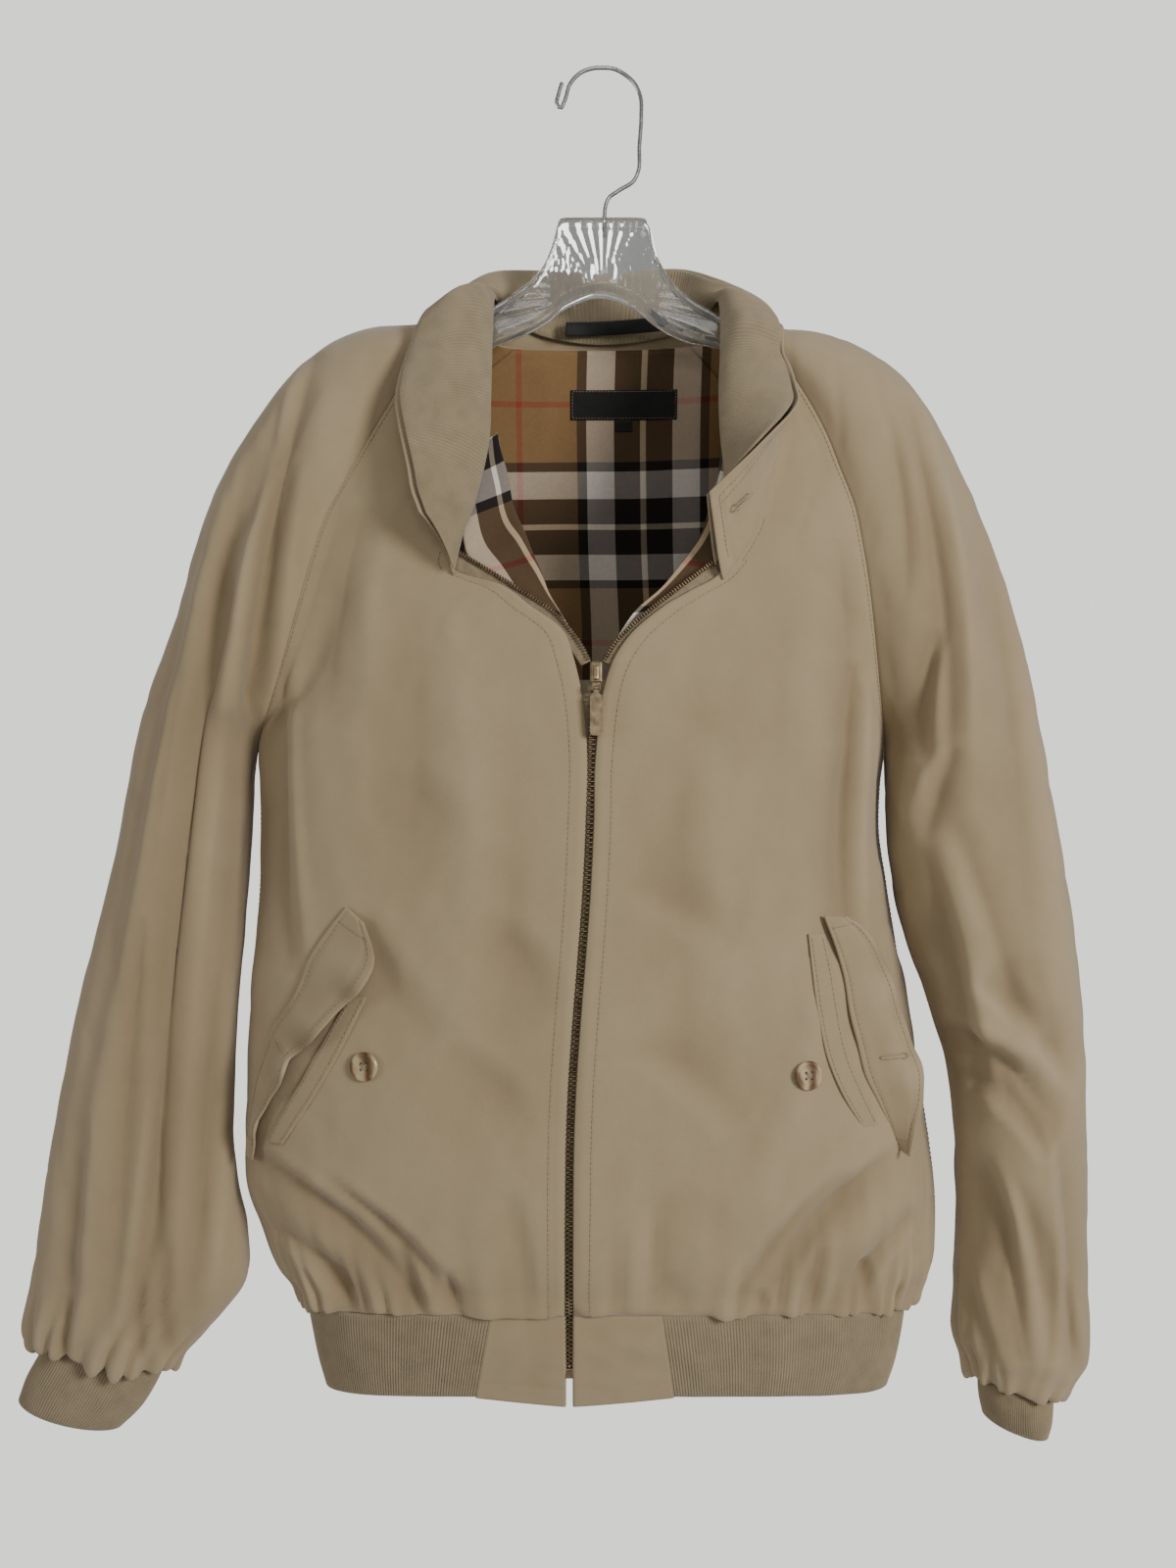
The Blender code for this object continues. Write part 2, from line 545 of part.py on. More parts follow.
# one inward direction for all the pieces that meet at a seam
up = np.array([0, 0, 1.0])
for tag, side in (("left", -1), ("right", 1)):
    sleeve, front, back = SLEEVES[tag], PANELS["front_" + tag], PANELS["back"]
    edge = 0 if side < 0 else -1
    k = slice(0, CROTCH + 1)
    w = np.clip((np.arange(CROTCH + 1) - 7.5) / 3.5, 0, 1)[:, None]
    for col, panel, pcol in ((0, front, -1), (-1, back, edge)):
        n = unit(sleeve["normal"][k, col] + panel["normal"][k, pcol])
        inward = unit(-n * (1 - w) + up * w)
        across = seam_frame(sleeve["grid"][k, col], inward, side)
        across[-1] = (side, 0, 0)
        across[-1] *= 2
        inward = unit(inward - unit(across) * np.sum(inward * unit(across), -1, keepdims=True))
        sleeve["seam%d" % col] = (inward, across)
        panel["seam%d" % pcol] = (inward, across)
    side_n = unit(front["normal"][CROTCH + 1:, -1] + back["normal"][CROTCH + 1:, edge])
    front["side"], back["side%d" % edge] = side_n, side_n

for tag in ("left", "right"):
    form = SLEEVES[tag]
    outer = form["grid"].copy()
    n = form["normal"].copy()
    n[CROTCH:, 0] = n[CROTCH:, -1] = unit(n[CROTCH:, 0] + n[CROTCH:, -1])
    inner = outer - n * WALL
    k = slice(0, CROTCH + 1)
    for col in (0, -1):
        inward, across = form["seam%d" % col]
        outer[k, col] += across * SEAM / 2
        inner[k, col] = outer[k, col] + inward * WALL
    outer[CROTCH, -1], inner[CROTCH, -1] = outer[CROTCH, 0], inner[CROTCH, 0]
    form["outer"], form["inner"] = outer, inner
    wall("sleeve_" + tag, outer, inner, SHELL, closed_from=CROTCH)

for name in ("front_left", "front_right", "back"):
    form = PANELS[name]
    outer, n = form["grid"].copy(), form["normal"]
    inner = outer - n * WALL
    k = slice(0, CROTCH + 1)
    lower = slice(CROTCH + 1, None)
    pull = -1 if name != "back" else 1
    for col in ((-1,) if name != "back" else (0, -1)):
        inward, across = form["seam%d" % col]
        outer[k, col] -= across * SEAM / 2
        outer[CROTCH, col, 1] += pull * SEAM
        inner[k, col] = outer[k, col] + inward * WALL
        side_n = form["side"] if name != "back" else form["side%d" % col]
        outer[lower, col, 1] += pull * SEAM
        inner[lower, col] = outer[lower, col] - side_n * [1, 0, 1] * WALL
    form["outer"], form["inner"] = outer, inner
    wall(name, outer, inner, SHELL)


def front_at(x, z, off):
    """Points standing `off` in front of the shell at (x, z)."""
    x, z = np.asarray(x, float), np.asarray(z, float)
    left = x < CENTRE_X
    out = np.zeros(np.broadcast(x, z).shape + (3,))
    for tag, pick in (("left", left), ("right", ~left)):
        half = HALVES[tag, "front"]
        w, ys = half.at(z)
        t = np.clip(np.abs(x - CENTRE_X) / w, 0, 0.985)
        depth = trunk_depth(z, "front")
        y = ys - (depth + ys) * (1 - t**POWER) ** (1 / POWER)
        out[..., 1] = np.where(pick, y, out[..., 1])
    out[..., 0], out[..., 2] = x, z
    out[..., 1] -= off
    return out


# ----------------------------------------------------------------- hem, cuffs


def hem_point(frac, angle):
    """Hem band at a share of its fall and an angle from the front centre (left negative)."""
    fall = column(HEM, HEM_COLUMNS, "fall")
    take = lambda n: smooth(frac * fall[-1], fall, column(HEM, HEM_COLUMNS, n))
    w = np.where(angle < 0, CENTRE_X - take("left"), take("right") - CENTRE_X)
    c, s = np.cos(angle), np.sin(np.abs(angle))
    d = np.where(c > 0, take("front"), take("back"))
    x = CENTRE_X + np.sign(angle) * w * s ** (2 / POWER)
    y = 2 - np.sign(c) * (d + np.where(c > 0, 2, -2)) * np.abs(c) ** (2 / POWER)
    z = -812.3 - HEM_DROP * s**2 - frac * fall[-1]
    return np.stack([x, y, z + 0 * x], -1)


def hem_angle(x, frac):
    """Angle at which the band's front reaches x."""
    grid = np.linspace(-pi / 2, pi / 2, 721)
    xs = hem_point(np.full(721, frac), grid)[:, 0]
    return np.interp(x, xs, grid)


fr = np.linspace(0, 1, 4)
start = np.array([hem_angle(TAB_LEFT[0] + (TAB_LEFT[1] - TAB_LEFT[0]) * f - 0.2, f) for f in fr])
stop = np.array([hem_angle(TAB_RIGHT[0] + (TAB_RIGHT[1] - TAB_RIGHT[0]) * f + 0.2, f) for f in fr])
t = np.linspace(0, 1, 41)[None, :]
raw = start[:, None] - t * (2 * pi + start - stop)[:, None]
ang = np.where(raw < -pi, raw + 2 * pi, raw)
rib = hem_point(fr[:, None] + 0 * t, ang)
ctr = rib * [0, 0, 1.0] + [CENTRE_X, 0, 0]
rib_n = normals(rib, rib - ctr)
HEM_RIB = rib
wall("hem_rib", rib - [0, 0, 0.3], rib - [0, 0, 0.3] - rib_n * RIB_WALL, KNIT)
zx = column(ZIP, ZIP_COLUMNS, "x")[-1]
for tag, edges, zip_x in (("left", TAB_LEFT, zx - 2.9), ("right", TAB_RIGHT, zx + 2.9)):
    cols = []
    for f in np.linspace(0, 1, 4):
        a0, a1 = hem_angle(zip_x, f), hem_angle(edges[0] + (edges[1] - edges[0]) * f, f)
        p = hem_point(np.full(5, f), np.linspace(a0, a1, 5))
        p[:, 2] -= 0.3 + f * (TAB_FALL - 54) * np.linspace(1.6, 0.2, 5)
        cols.append(p)
    tab = np.stack(cols)
    tab_n = normals(tab, np.array([0, -1.0, 0]))
    wall("hem_tab_" + tag, tab, tab - tab_n * 2.4, SHELL)


def ring_tube(rows, cols):
    """Closed rings between an outer and an inner point, with a half depth."""
    get = lambda n: column(rows, CUFF_COLUMNS, n)
    over = np.stack([get("ox"), get("cy"), get("oz")], -1)
    foot = np.stack([get("fx"), get("cy"), get("fz")], -1)
    centre, lateral = (over + foot) / 2, (over - foot) / 2
    a = np.linspace(-pi, pi, cols)
    return (centre[:, None] + lateral[:, None] * np.cos(a)[None, :, None]
            + np.array([0, 1.0, 0]) * (get("depth")[:, None] * np.sin(a)[None, :])[..., None]), centre


for tag, rows in (("left", CUFF_LEFT), ("right", CUFF_RIGHT)):
    grid, centre = ring_tube(rows, SLEEVE_COLS)
    top = SLEEVES[tag]["outer"][-1]
    out = unit(grid - centre[:, None])
    n = normals(grid, out)
    n[:, 0] = n[:, -1] = unit(n[:, 0] + n[:, -1])
    wall("cuff_" + tag, grid, grid - n * RIB_WALL, KNIT, closed_from=0)

# --------------------------------------------------------------------- collar
fl, fr_, bk = PANELS["front_left"], PANELS["front_right"], PANELS["back"]
sl, sr = SLEEVES["left"], SLEEVES["right"]


def neckline(key):
    """The neck edge's points or normals: left front tip, left sleeve, back, right sleeve, right front tip."""
    return np.concatenate([fl[key][7:0:-1, 0], sl[key][0, 1:-1], bk[key][0], sr[key][0, -2:0:-1], fr_[key][1:9, 0]])


NECK, NECK_N = neckline("grid"), neckline("normal")
length = np.concatenate([[0], np.cumsum(np.linalg.norm(np.diff(NECK, axis=0), axis=1))])
STATIONS = np.linspace(0, len(COLLAR) - 1, 53)
take = lambda n: rounded(STATIONS, np.arange(len(COLLAR), dtype=float), column(COLLAR, COLLAR_COLUMNS, n))
TOP = np.stack([take(n) for n in ("tx", "ty", "tz")], -1)
KNEE = np.stack([take(n) for n in ("kx", "ky", "kz")], -1)
ARCH = take("arch")
mid_len = np.concatenate([[0], np.cumsum(np.linalg.norm(np.diff((TOP + KNEE) / 2, axis=0), axis=1))])
at = mid_len / mid_len[-1] * length[-1]
along_neck = lambda field: np.stack([np.interp(at, length, field[:, i]) for i in range(3)], -1)
FOOT = along_neck(NECK)
climb = unit(TOP - FOOT)
FOOT = FOOT + along_neck(NECK_N) * 0.7 + climb * 0.9
SIDE = unit(np.cross(np.gradient((FOOT + TOP) / 2, axis=0), TOP - FOOT))
SIDE = SIDE * np.sign(SIDE[len(SIDE) // 2] @ np.array([0, -1.0, 0]))   # at the back the knit faces forward
for _ in range(12):
    SIDE[1:-1] = unit(SIDE[:-2] + 2 * SIDE[1:-1] + SIDE[2:])


def band(foot, top, cols):
    """Ruled band, foot to top edge, arched toward the knit side by the table's arch."""
    s = np.linspace(0, 1, cols)
    return (foot[:, None] + (top - foot)[:, None] * s[None, :, None]
            + SIDE[:, None] * (4 * ARCH[:, None] * (s * (1 - s))[None, :])[..., None])


def dense(grid, times=5):
    """The grid with `times` linear steps between neighbours, both ways."""
    for axis in (0, 1):
        size = grid.shape[axis]
        at_ = np.linspace(0, size - 1, (size - 1) * times + 1)
        i_ = np.minimum(at_.astype(int), size - 2)
        f_ = (at_ - i_).reshape((-1, 1, 1) if axis == 0 else (1, -1, 1))
        grid = np.take(grid, i_, axis) * (1 - f_) + np.take(grid, i_ + 1, axis) * f_
    return grid


NEAR = [(sl, 8), (sr, 8), (fl, 12), (fr_, 12), (bk, 5)]
NEAR_P = np.concatenate([dense(f["grid"][:k]).reshape(-1, 3) for f, k in NEAR])
NEAR_N = unit(np.concatenate([dense(f["normal"][:k]).reshape(-1, 3) for f, k in NEAR]))


def clear_of(points, gap, columns, near_p, near_n):
    """Points pushed off a surface until they stand `gap` in front of it."""
    points = points.copy()
    for _ in range(2):
        flat = points[:, columns].reshape(-1, 3)
        near = np.argmin(((flat[:, None] - near_p[None]) ** 2).sum(-1), axis=1)
        off = flat - near_p[near]
        signed = np.sum(off * near_n[near], -1)
        push = np.where(np.linalg.norm(off, axis=1) < 14, np.clip(gap - signed, 0, 14), 0)
        points[:, columns] = (flat + near_n[near] * push[:, None]).reshape(points[:, columns].shape)
    return points


LONG, SHORT = np.linalg.norm(TOP - KNEE, axis=1), np.linalg.norm(TOP - FOOT, axis=1)
FULL_ARCH = ARCH
ARCH = FULL_ARCH * np.minimum(SHORT / LONG, 1) ** 2   # same curve as the knit's, over the shorter ply
shell_band = clear_of(band(FOOT, TOP, 6), 3.2, slice(0, None), NEAR_P, NEAR_N)
ARCH = FULL_ARCH
shell_n = normals(shell_band, SIDE[:, None] + 0 * shell_band)
wall("collar_shell", shell_band, shell_band + shell_n * COLLAR_WALL, SHELL)
rise = np.sum((KNEE - FOOT) * SIDE, -1)
KNEE = KNEE + SIDE * np.clip(2.6 - rise, 0, None)[:, None]
knit_top = shell_band[:, -1] - unit(TOP - KNEE) * 2.5 + SIDE * (COLLAR_WALL + 0.9)
knit_band = clear_of(band(KNEE, knit_top, 6), 4.2, slice(2, None), NEAR_P, NEAR_N)
knit_band = clear_of(knit_band, COLLAR_WALL + 2.2, slice(1, None), dense(shell_band).reshape(-1, 3),
                     unit(dense(shell_n)).reshape(-1, 3))
knit_n = normals(knit_band, SIDE[:, None] + 0 * knit_band)
wall("collar_knit", knit_band, knit_band + knit_n * 1.6, KNIT)

# --------------------------------------------------------------- pocket parts


def laid(name, xs, zs, offs, thick, mat):
    """A piece laid on the front: grid in (x, z) moved out by its stand-off."""
    back = front_at(xs, zs, offs)
    n = normals(back, np.array([0, -1.0, 0]))
    return wall(name, back + n * thick, back, mat)


for tag, rows in (("left", FLAP_LEFT), ("right", FLAP_RIGHT)):
    a = np.array(rows, float)
    s = np.linspace(0, 1, 5)[None, :]
    xs = a[:, 0:1] + (a[:, 2:3] - a[:, 0:1]) * s
    zs = a[:, 1:2] + (a[:, 3:4] - a[:, 1:2]) * s
    off = 0.6 + (a[:, 4:5] - 0.6) * s**1.2
    laid("pocket_flap_" + tag, xs, zs, off, 1.6, SHELL)
for tag, rows, side in (("left", LIP_LEFT, -1), ("right", LIP_RIGHT, 1)):
    a = np.array(rows, float)
    s = np.linspace(0, 1, 3)[None, :]
    xs = a[:, 0:1] - side * a[:, 2:3] * 0.5 * (1 - 2 * s) * -1
    zs = a[:, 1:2] + 0 * s
    laid("pocket_lip_" + tag, xs, zs, 0.35 + 0 * xs, 1.1, SHELL)


def lathe(profile, count):
    """Closed profile (radius, height) turned about +Z."""
    verts, faces = [], []
    ring = len(profile)
    for i in range(count):
        a = 2 * pi * i / count
        verts += [(r * np.cos(a), r * np.sin(a), h) for r, h in profile]
    for i in range(count):
        j = (i + 1) % count
        for k in range(ring):
            m = (k + 1) % ring
            faces.append((i * ring + k, j * ring + k, j * ring + m, i * ring + m))
    return verts, faces


def button(name, x, z, radius, tilt):
    """A four-hole button: dished face, rounded rim, holes cut through."""
    profile = ((0.001, 0.0), (radius * 0.8, 0.0), (radius, 0.9), (radius, 1.9), (radius * 0.93, 2.5),
               (radius * 0.78, 2.5), (radius * 0.66, 1.9), (0.001, 1.9))
    place = front_at(np.array([x]), np.array([z]), 0.5)[0]
    step = front_at(np.array([x - 4, x + 4, x, x]), np.array([z, z, z - 4, z + 4]), 0.0)
    face = unit(np.cross(step[1] - step[0], step[3] - step[2]))
    face = face if face[1] < 0 else -face
    right = unit(np.cross(np.array([0, 0, 1.0]), face))
    above = np.cross(face, right)
    verts, faces = lathe(profile, 40)
    verts = np.array(verts)
    made = body(name, place + verts[:, 0:1] * right + verts[:, 1:2] * above + verts[:, 2:3] * face, faces, HORN)
    work = bmesh.new()
    work.from_mesh(made.data)
    bmesh.ops.remove_doubles(work, verts=work.verts, dist=0.00001)
    work.to_mesh(made.data)
    work.free()
    for i, (u, v) in enumerate(((1, 1), (1, -1), (-1, 1), (-1, -1))):
        u, v = u * radius * 0.2, v * radius * 0.2
        a = np.linspace(0, 2 * pi, 12, endpoint=False)
        ring = np.stack([u + radius * 0.1 * np.cos(a), v + radius * 0.1 * np.sin(a)], -1)
        low = place + ring[:, 0:1] * right + ring[:, 1:2] * above - face * 1
        high = low + face * 6
        sides = [(k, (k + 1) % 12, 12 + (k + 1) % 12, 12 + k) for k in range(12)]
        cut = body(f"cut_{name}_{i}", np.concatenate([low, high]),
                   sides + [tuple(range(11, -1, -1)), tuple(range(12, 24))], HORN)
        mod = made.modifiers.new(f"hole_{i}", "BOOLEAN")
        mod.object, mod.operation, mod.solver = cut, "DIFFERENCE", "EXACT"
        cut.hide_render = True
        cut.display_type = "WIRE"
    return made


for name, x, z in BUTTONS:
    button(name, x, z, BUTTON_R, 0)

# ------------------------------------------------------------------------ zip
zip_x, zip_z = column(ZIP, ZIP_COLUMNS, "x"), column(ZIP, ZIP_COLUMNS, "z")


def zip_y(z):
    """Depth of the zip's chain: level with the fronts, then with the hem tabs."""
    hem = hem_point(np.clip((-812.3 - z) / 54, 0, 1), np.zeros_like(z))[:, 1]
    return np.where(z > -812, -trunk_depth(z, "front"), hem)


def strip(path, across, thick_dir, width, thick):
    """Rectangular strip along a path: returns outer and inner grids."""
    near = path[:, None] + across[:, None] * np.linspace(0, 1, 2)[None, :, None] * width
    return near, near - thick_dir[:, None] * thick


chain_z = np.linspace(-417, -846, 24)
chain_x = smooth(chain_z, zip_z, zip_x)
chain = np.stack([chain_x - 2.4, zip_y(chain_z) + 0.2, chain_z], -1)
o, i = strip(chain, np.tile([1.0, 0, 0], (24, 1)), np.tile([0, -1.0, 0], (24, 1)), 4.8, 2.2)
wall("zip_chain", o, i, ZIPMETAL)
for tag, side in (("left", -1), ("right", 1)):
    tz = np.linspace(-413, -852, 24)
    tx = smooth(tz, zip_z, zip_x) + side * 0.3
    path = np.stack([tx, zip_y(tz) + 3.6, tz], -1)
    o, i = strip(path, np.tile([side * 1.0, 0.03, 0], (24, 1)), np.tile([0, -1.0, 0], (24, 1)), 13, 0.8)
    wall("zip_tape_" + tag, o, i, TAPE)
    rows = np.array(ZIP_OPEN_LEFT if side < 0 else ZIP_OPEN_RIGHT, float)
    s = np.linspace(0, 1, 12)
    px = smooth(s, np.linspace(0, 1, 6), rows[:, 0])
    pz = smooth(s, np.linspace(0, 1, 6), rows[:, 1])
    path = front_at(px, pz, 0)
    path[:, 1] += 3.6
    along = unit(np.gradient(path, axis=0))
    down = unit(np.cross(along, [0, 1.0, 0]) * (1 if side < 0 else -1))
    down = np.where(down[:, 2:3] > 0, -down, down)
    o, i = strip(path, down * np.linspace(1, 0.5, 12)[:, None], np.tile([0, -1.0, 0], (12, 1)), 12, 0.8)
    wall("zip_tape_open_" + tag, o, i, TAPE)

# ------------------------------------------------------------- lining, labels
BACK_IN = PANELS["back"]["inner"]
n = PANELS["back"]["normal"]
lin = BACK_IN - n * 0.35
cut = slice(2, BACK_COLS - 2)
lin, ln = lin[:, cut], n[:, cut]
wall("lining_back", lin, lin - ln * 0.9, LINING)

LINING_COLUMNS = ("ax", "ay", "az", "bx", "by", "bz", "cx", "cy", "cz")
LINING_LEFT = (
    (-84, -50, -265, -66, -42, -252, -66, -24, -252), (-88, -58, -300, -61, -44, -275, -62, -24, -275),
    (-84, -64, -333, -55, -48, -302, -57, -26, -302), (-66, -65, -348, -48, -52, -320, -50, -30, -320),
    (-46, -66, -362, -38, -56, -343, -40, -36, -343), (-26, -67, -376, -26, -60, -366, -28, -44, -366),
    (-12, -67.5, -396, -12, -63, -390, -14, -54, -390),
)
LINING_RIGHT = (
    (96, -46, -262, 78, -42, -256, 80, -26, -256), (92, -54, -292, 74, -46, -280, 76, -26, -280),
    (84, -62, -325, 68, -50, -306, 70, -30, -306), (64, -65, -346, 56, -54, -330, 58, -36, -330),
    (44, -66, -360, 38, -58, -352, 40, -42, -352), (24, -67, -377, 20, -61, -370, 22, -48, -370),
    (8, -67.5, -396, 7, -63, -390, 9, -54, -390),
)
for tag, rows in (("left", LINING_LEFT), ("right", LINING_RIGHT)):
    a = np.array(rows, float).reshape(len(rows), 3, 3)
    a[:, 0] = front_at(a[:, 0, 0], a[:, 0, 2], -5.2)
    mid1, mid2 = (a[:, 0] + a[:, 1]) / 2, (a[:, 1] + a[:, 2]) / 2
    grid = np.stack([a[:, 0], mid1, a[:, 1], mid2, a[:, 2]], axis=1)
    toward = np.array([0.6 if tag == "left" else -0.6, -0.6, 0.4])
    nn = normals(grid, toward)
    wall("lining_front_" + tag, grid, grid - nn * 0.9, LINING)


def back_skin(name, x0, x1, z0, z1, off, thick, mat):
    """A flat piece sewn to the inside of the back, its inner face towards -Y."""
    xs, zs = np.meshgrid(np.linspace(x0, x1, 5), np.linspace(z0, z1, 3))
    half_l, half_r = HALVES["left", "back"], HALVES["right", "back"]
    y = np.zeros_like(xs)
    for half, pick in ((half_l, xs < CENTRE_X), (half_r, xs >= CENTRE_X)):
        w, ys = half.at(zs)
        t = np.clip(np.abs(xs - CENTRE_X) / w, 0, 0.98)
        y = np.where(pick, ys + (trunk_depth(zs, "back") - ys) * (1 - t**POWER) ** (1 / POWER), y)
    grid = np.stack([xs, y - WALL - 0.35 - 0.9 - off, zs], -1)
    wall(name, grid, grid - [0, thick, 0], mat)


back_skin("neck_label", -20, 54, -203, -223, 0.35, 0.8, LABEL)
back_skin("size_label", 11, 23, -224, -231, 0.35, 0.7, LABEL)

# --------------------------------------------------------------- hanger, hook


def sections_to_body(name, sections, mat):
    """Joins equal rings of points along a path and closes both ends."""
    count, ring = sections.shape[:2]
    faces = []
    for r in range(count - 1):
        for c in range(ring):
            d = (c + 1) % ring
            faces.append((r * ring + c, r * ring + d, (r + 1) * ring + d, (r + 1) * ring + c))
    faces.append(tuple(range(ring - 1, -1, -1)))
    faces.append(tuple(range((count - 1) * ring, count * ring)))
    return body(name, sections.reshape(-1, 3), faces, mat)


h = np.array(HANGER, float)
rings = []
for x, top, foot, half in h:
    web, rim = half * 0.42, 3.2
    rings.append([(x, -half, top - 0.8), (x, -half + 0.8, top), (x, half - 0.8, top), (x, half, top - 0.8),
                  (x, half, top - rim), (x, web, top - rim - 1.5), (x, web, foot + rim + 1.5), (x, half, foot + rim),
                  (x, half, foot + 0.8), (x, half - 0.8, foot), (x, -half + 0.8, foot), (x, -half, foot + 0.8),
                  (x, -half, foot + rim), (x, -web, foot + rim + 1.5), (x, -web, top - rim - 1.5), (x, -half, top - rim)])
hanger = sections_to_body("hanger", np.array(rings), CLEAR)


def tube(name, path, radius, mat, sides=14):
    """Round wire along a smooth path, frames carried from one section to the next."""
    path = np.asarray(path, float)
    tang = unit(np.gradient(path, axis=0))
    ref = np.array([0, 1.0, 0])
    u = unit(ref - tang * (tang @ ref)[:, None])
    v = np.cross(tang, u)
    a = np.linspace(0, 2 * pi, sides, endpoint=False)
    rings = path[:, None] + radius * (u[:, None] * np.cos(a)[None, :, None] + v[:, None] * np.sin(a)[None, :, None])
    return sections_to_body(name, rings, mat)


hk = np.array(HOOK, float)
chord = np.concatenate([[0], np.cumsum(np.linalg.norm(np.diff(hk, axis=0), axis=1))])
s = np.linspace(0, chord[-1], 72)
k = (np.arange(72) > -1)


hook_path = np.stack([rounded(s, chord, hk[:, 0]), 0 * s, rounded(s, chord, hk[:, 1])], -1)
tube("hook", hook_path, WIRE, STEEL)
a = np.linspace(0, 2 * pi, 16, endpoint=False)
ring = np.stack([3.0 + (WIRE + 0.3) * np.cos(a), (WIRE + 0.3) * np.sin(a)], -1)
low = np.stack([ring[:, 0], ring[:, 1], 0 * a - 112.3], -1)
high = np.stack([ring[:, 0], ring[:, 1], 0 * a - 90], -1)
cut = body("cut_hanger", np.concatenate([low, high]),
           [(k, (k + 1) % 16, 16 + (k + 1) % 16, 16 + k) for k in range(16)]
           + [tuple(range(15, -1, -1)), tuple(range(16, 32))], CLEAR)
cut.hide_render = True
cut.display_type = "WIRE"
mod = hanger.modifiers.new("hook_hole", "BOOLEAN")
mod.object, mod.operation, mod.solver = cut, "DIFFERENCE", "EXACT"

# ------------------------------------------------------- slider, pull, stop
SLIDER = (-2.9, -75.6, -408.5)     # centre of the slider's body
PIVOT = (-3.0, -79.8, -418.6)      # axis of the pull tab, along X


def slab(name, centre, size, mat, bevel=0.6, segments=2):
    """A box with bevelled edges."""
    work = bmesh.new()
    bmesh.ops.create_cube(work, size=1.0)
    for v in work.verts:
        v.co = [(c + v.co[i] * size[i]) * MM for i, c in enumerate(centre)]
    mesh = bpy.data.meshes.new(name)
    work.to_mesh(mesh)
    work.free()
    mesh.materials.append(mat)
    made = bpy.data.objects.new(name, mesh)
    bpy.context.scene.collection.objects.link(made)
    if bevel:
        mod = made.modifiers.new("edge", "BEVEL")
        mod.width, mod.segments, mod.limit_method = bevel * MM, segments, "NONE"
    return made


def join(base, other, operation):
    """Boolean of a hidden tool body with the base."""
    mod = base.modifiers.new(other.name, "BOOLEAN")
    mod.object, mod.operation, mod.solver = other, operation, "EXACT"
    other.hide_render = True
    other.display_type = "WIRE"


def prism(name, outline, low, high, mat):
    """A flat outline in (x, z), extruded along Y."""
    count = len(outline)
    verts = [(x, low, z) for x, z in outline] + [(x, high, z) for x, z in outline]
    sides = [(k, (k + 1) % count, count + (k + 1) % count, count + k) for k in range(count)]
    return body(name, verts, sides + [tuple(range(count - 1, -1, -1)), tuple(range(count, 2 * count))], mat)


def rod(name, centre, radius, half, mat, sides=28):
    """A round bar along X."""
    a_ = np.linspace(0, 2 * pi, sides, endpoint=False)
    ring_ = np.stack([0 * a_, radius * np.cos(a_), radius * np.sin(a_)], -1) + np.array(centre)
    return sections_to_body(name, np.stack([ring_ - [half, 0, 0], ring_ + [half, 0, 0]]), mat)


slider = slab("zip_slider", SLIDER, (7.8, 4.4, 13.5), ZIPMETAL, 1.2, 3)
for i, side in enumerate((-1, 1)):
    join(slider, slab(f"cut_ear_{i}", (PIVOT[0] + side * 2.35, -79.1, PIVOT[2] + 0.4), (0.9, 4.2, 4.0), ZIPMETAL, 0.3, 1), "UNION")
join(slider, slab("cut_bridge", (PIVOT[0], -78.4, -409.0), (3.4, 2.6, 9.0), ZIPMETAL, 0.9, 2), "UNION")
join(slider, slab("cut_foot", (PIVOT[0], -76.4, -417.0), (5.6, 2.6, 4.5), ZIPMETAL, 0.4, 1), "UNION")
join(slider, rod("cut_pin", PIVOT, 0.6, 2.6, ZIPMETAL), "UNION")
TAB_OUTLINE = ((-1.5, 0), (-1.5, -3.2), (-3.0, -4.0), (-3.7, -5.2), (-3.8, -27.0), (-3.3, -28.6), (-2.2, -29.4),
               (2.2, -29.4), (3.3, -28.6), (3.8, -27.0), (3.7, -5.2), (3.0, -4.0), (1.5, -3.2), (1.5, 0))
pull = prism("zip_pull", [(PIVOT[0] + x, PIVOT[2] + z) for x, z in TAB_OUTLINE], PIVOT[1] - 0.75, PIVOT[1] + 0.75, ZIPMETAL)
join(pull, rod("cut_boss", PIVOT, 1.45, 1.5, ZIPMETAL), "UNION")
join(pull, rod("cut_eye", PIVOT, 0.68, 4.0, ZIPMETAL), "DIFFERENCE")
stop = slab("zip_stop", (-19.8, float(zip_y(np.array([-851.0]))[0]) + 1.0, -850.5), (5.2, 3.0, 6.5), ZIPMETAL, 0.6, 2)

axis = bpy.data.objects.new("pull_axis", None)
axis.location = [c * MM for c in PIVOT]
bpy.context.scene.collection.objects.link(axis)
pull.parent = axis
pull.matrix_parent_inverse.identity()
for v in pull.data.vertices:
    v.co = [v.co[i] - PIVOT[i] * MM for i in range(3)]
for name in ("cut_boss", "cut_eye"):
    tool = bpy.data.objects[name]
    tool.parent = axis
    for v in tool.data.vertices:
        v.co = [v.co[i] - PIVOT[i] * MM for i in range(3)]
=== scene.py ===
"""Harrington jacket on a clear hanger: cloth, rib knit, check lining, zip and hanger around the fixed frame.

Every cloth piece is a thin wall on the same block as its solid: rings for the sleeves, squared sections for
the trunk, a ruled band for the collar.  The coarse grids of the block are refined by cubic steps, creased by
tables of folds, and given rounded edges.  Sizes are millimetres until a mesh is made.
"""
from __future__ import annotations

import logging
from dataclasses import dataclass, field
from enum import Enum
from functools import cached_property
from math import pi
from typing import Sequence

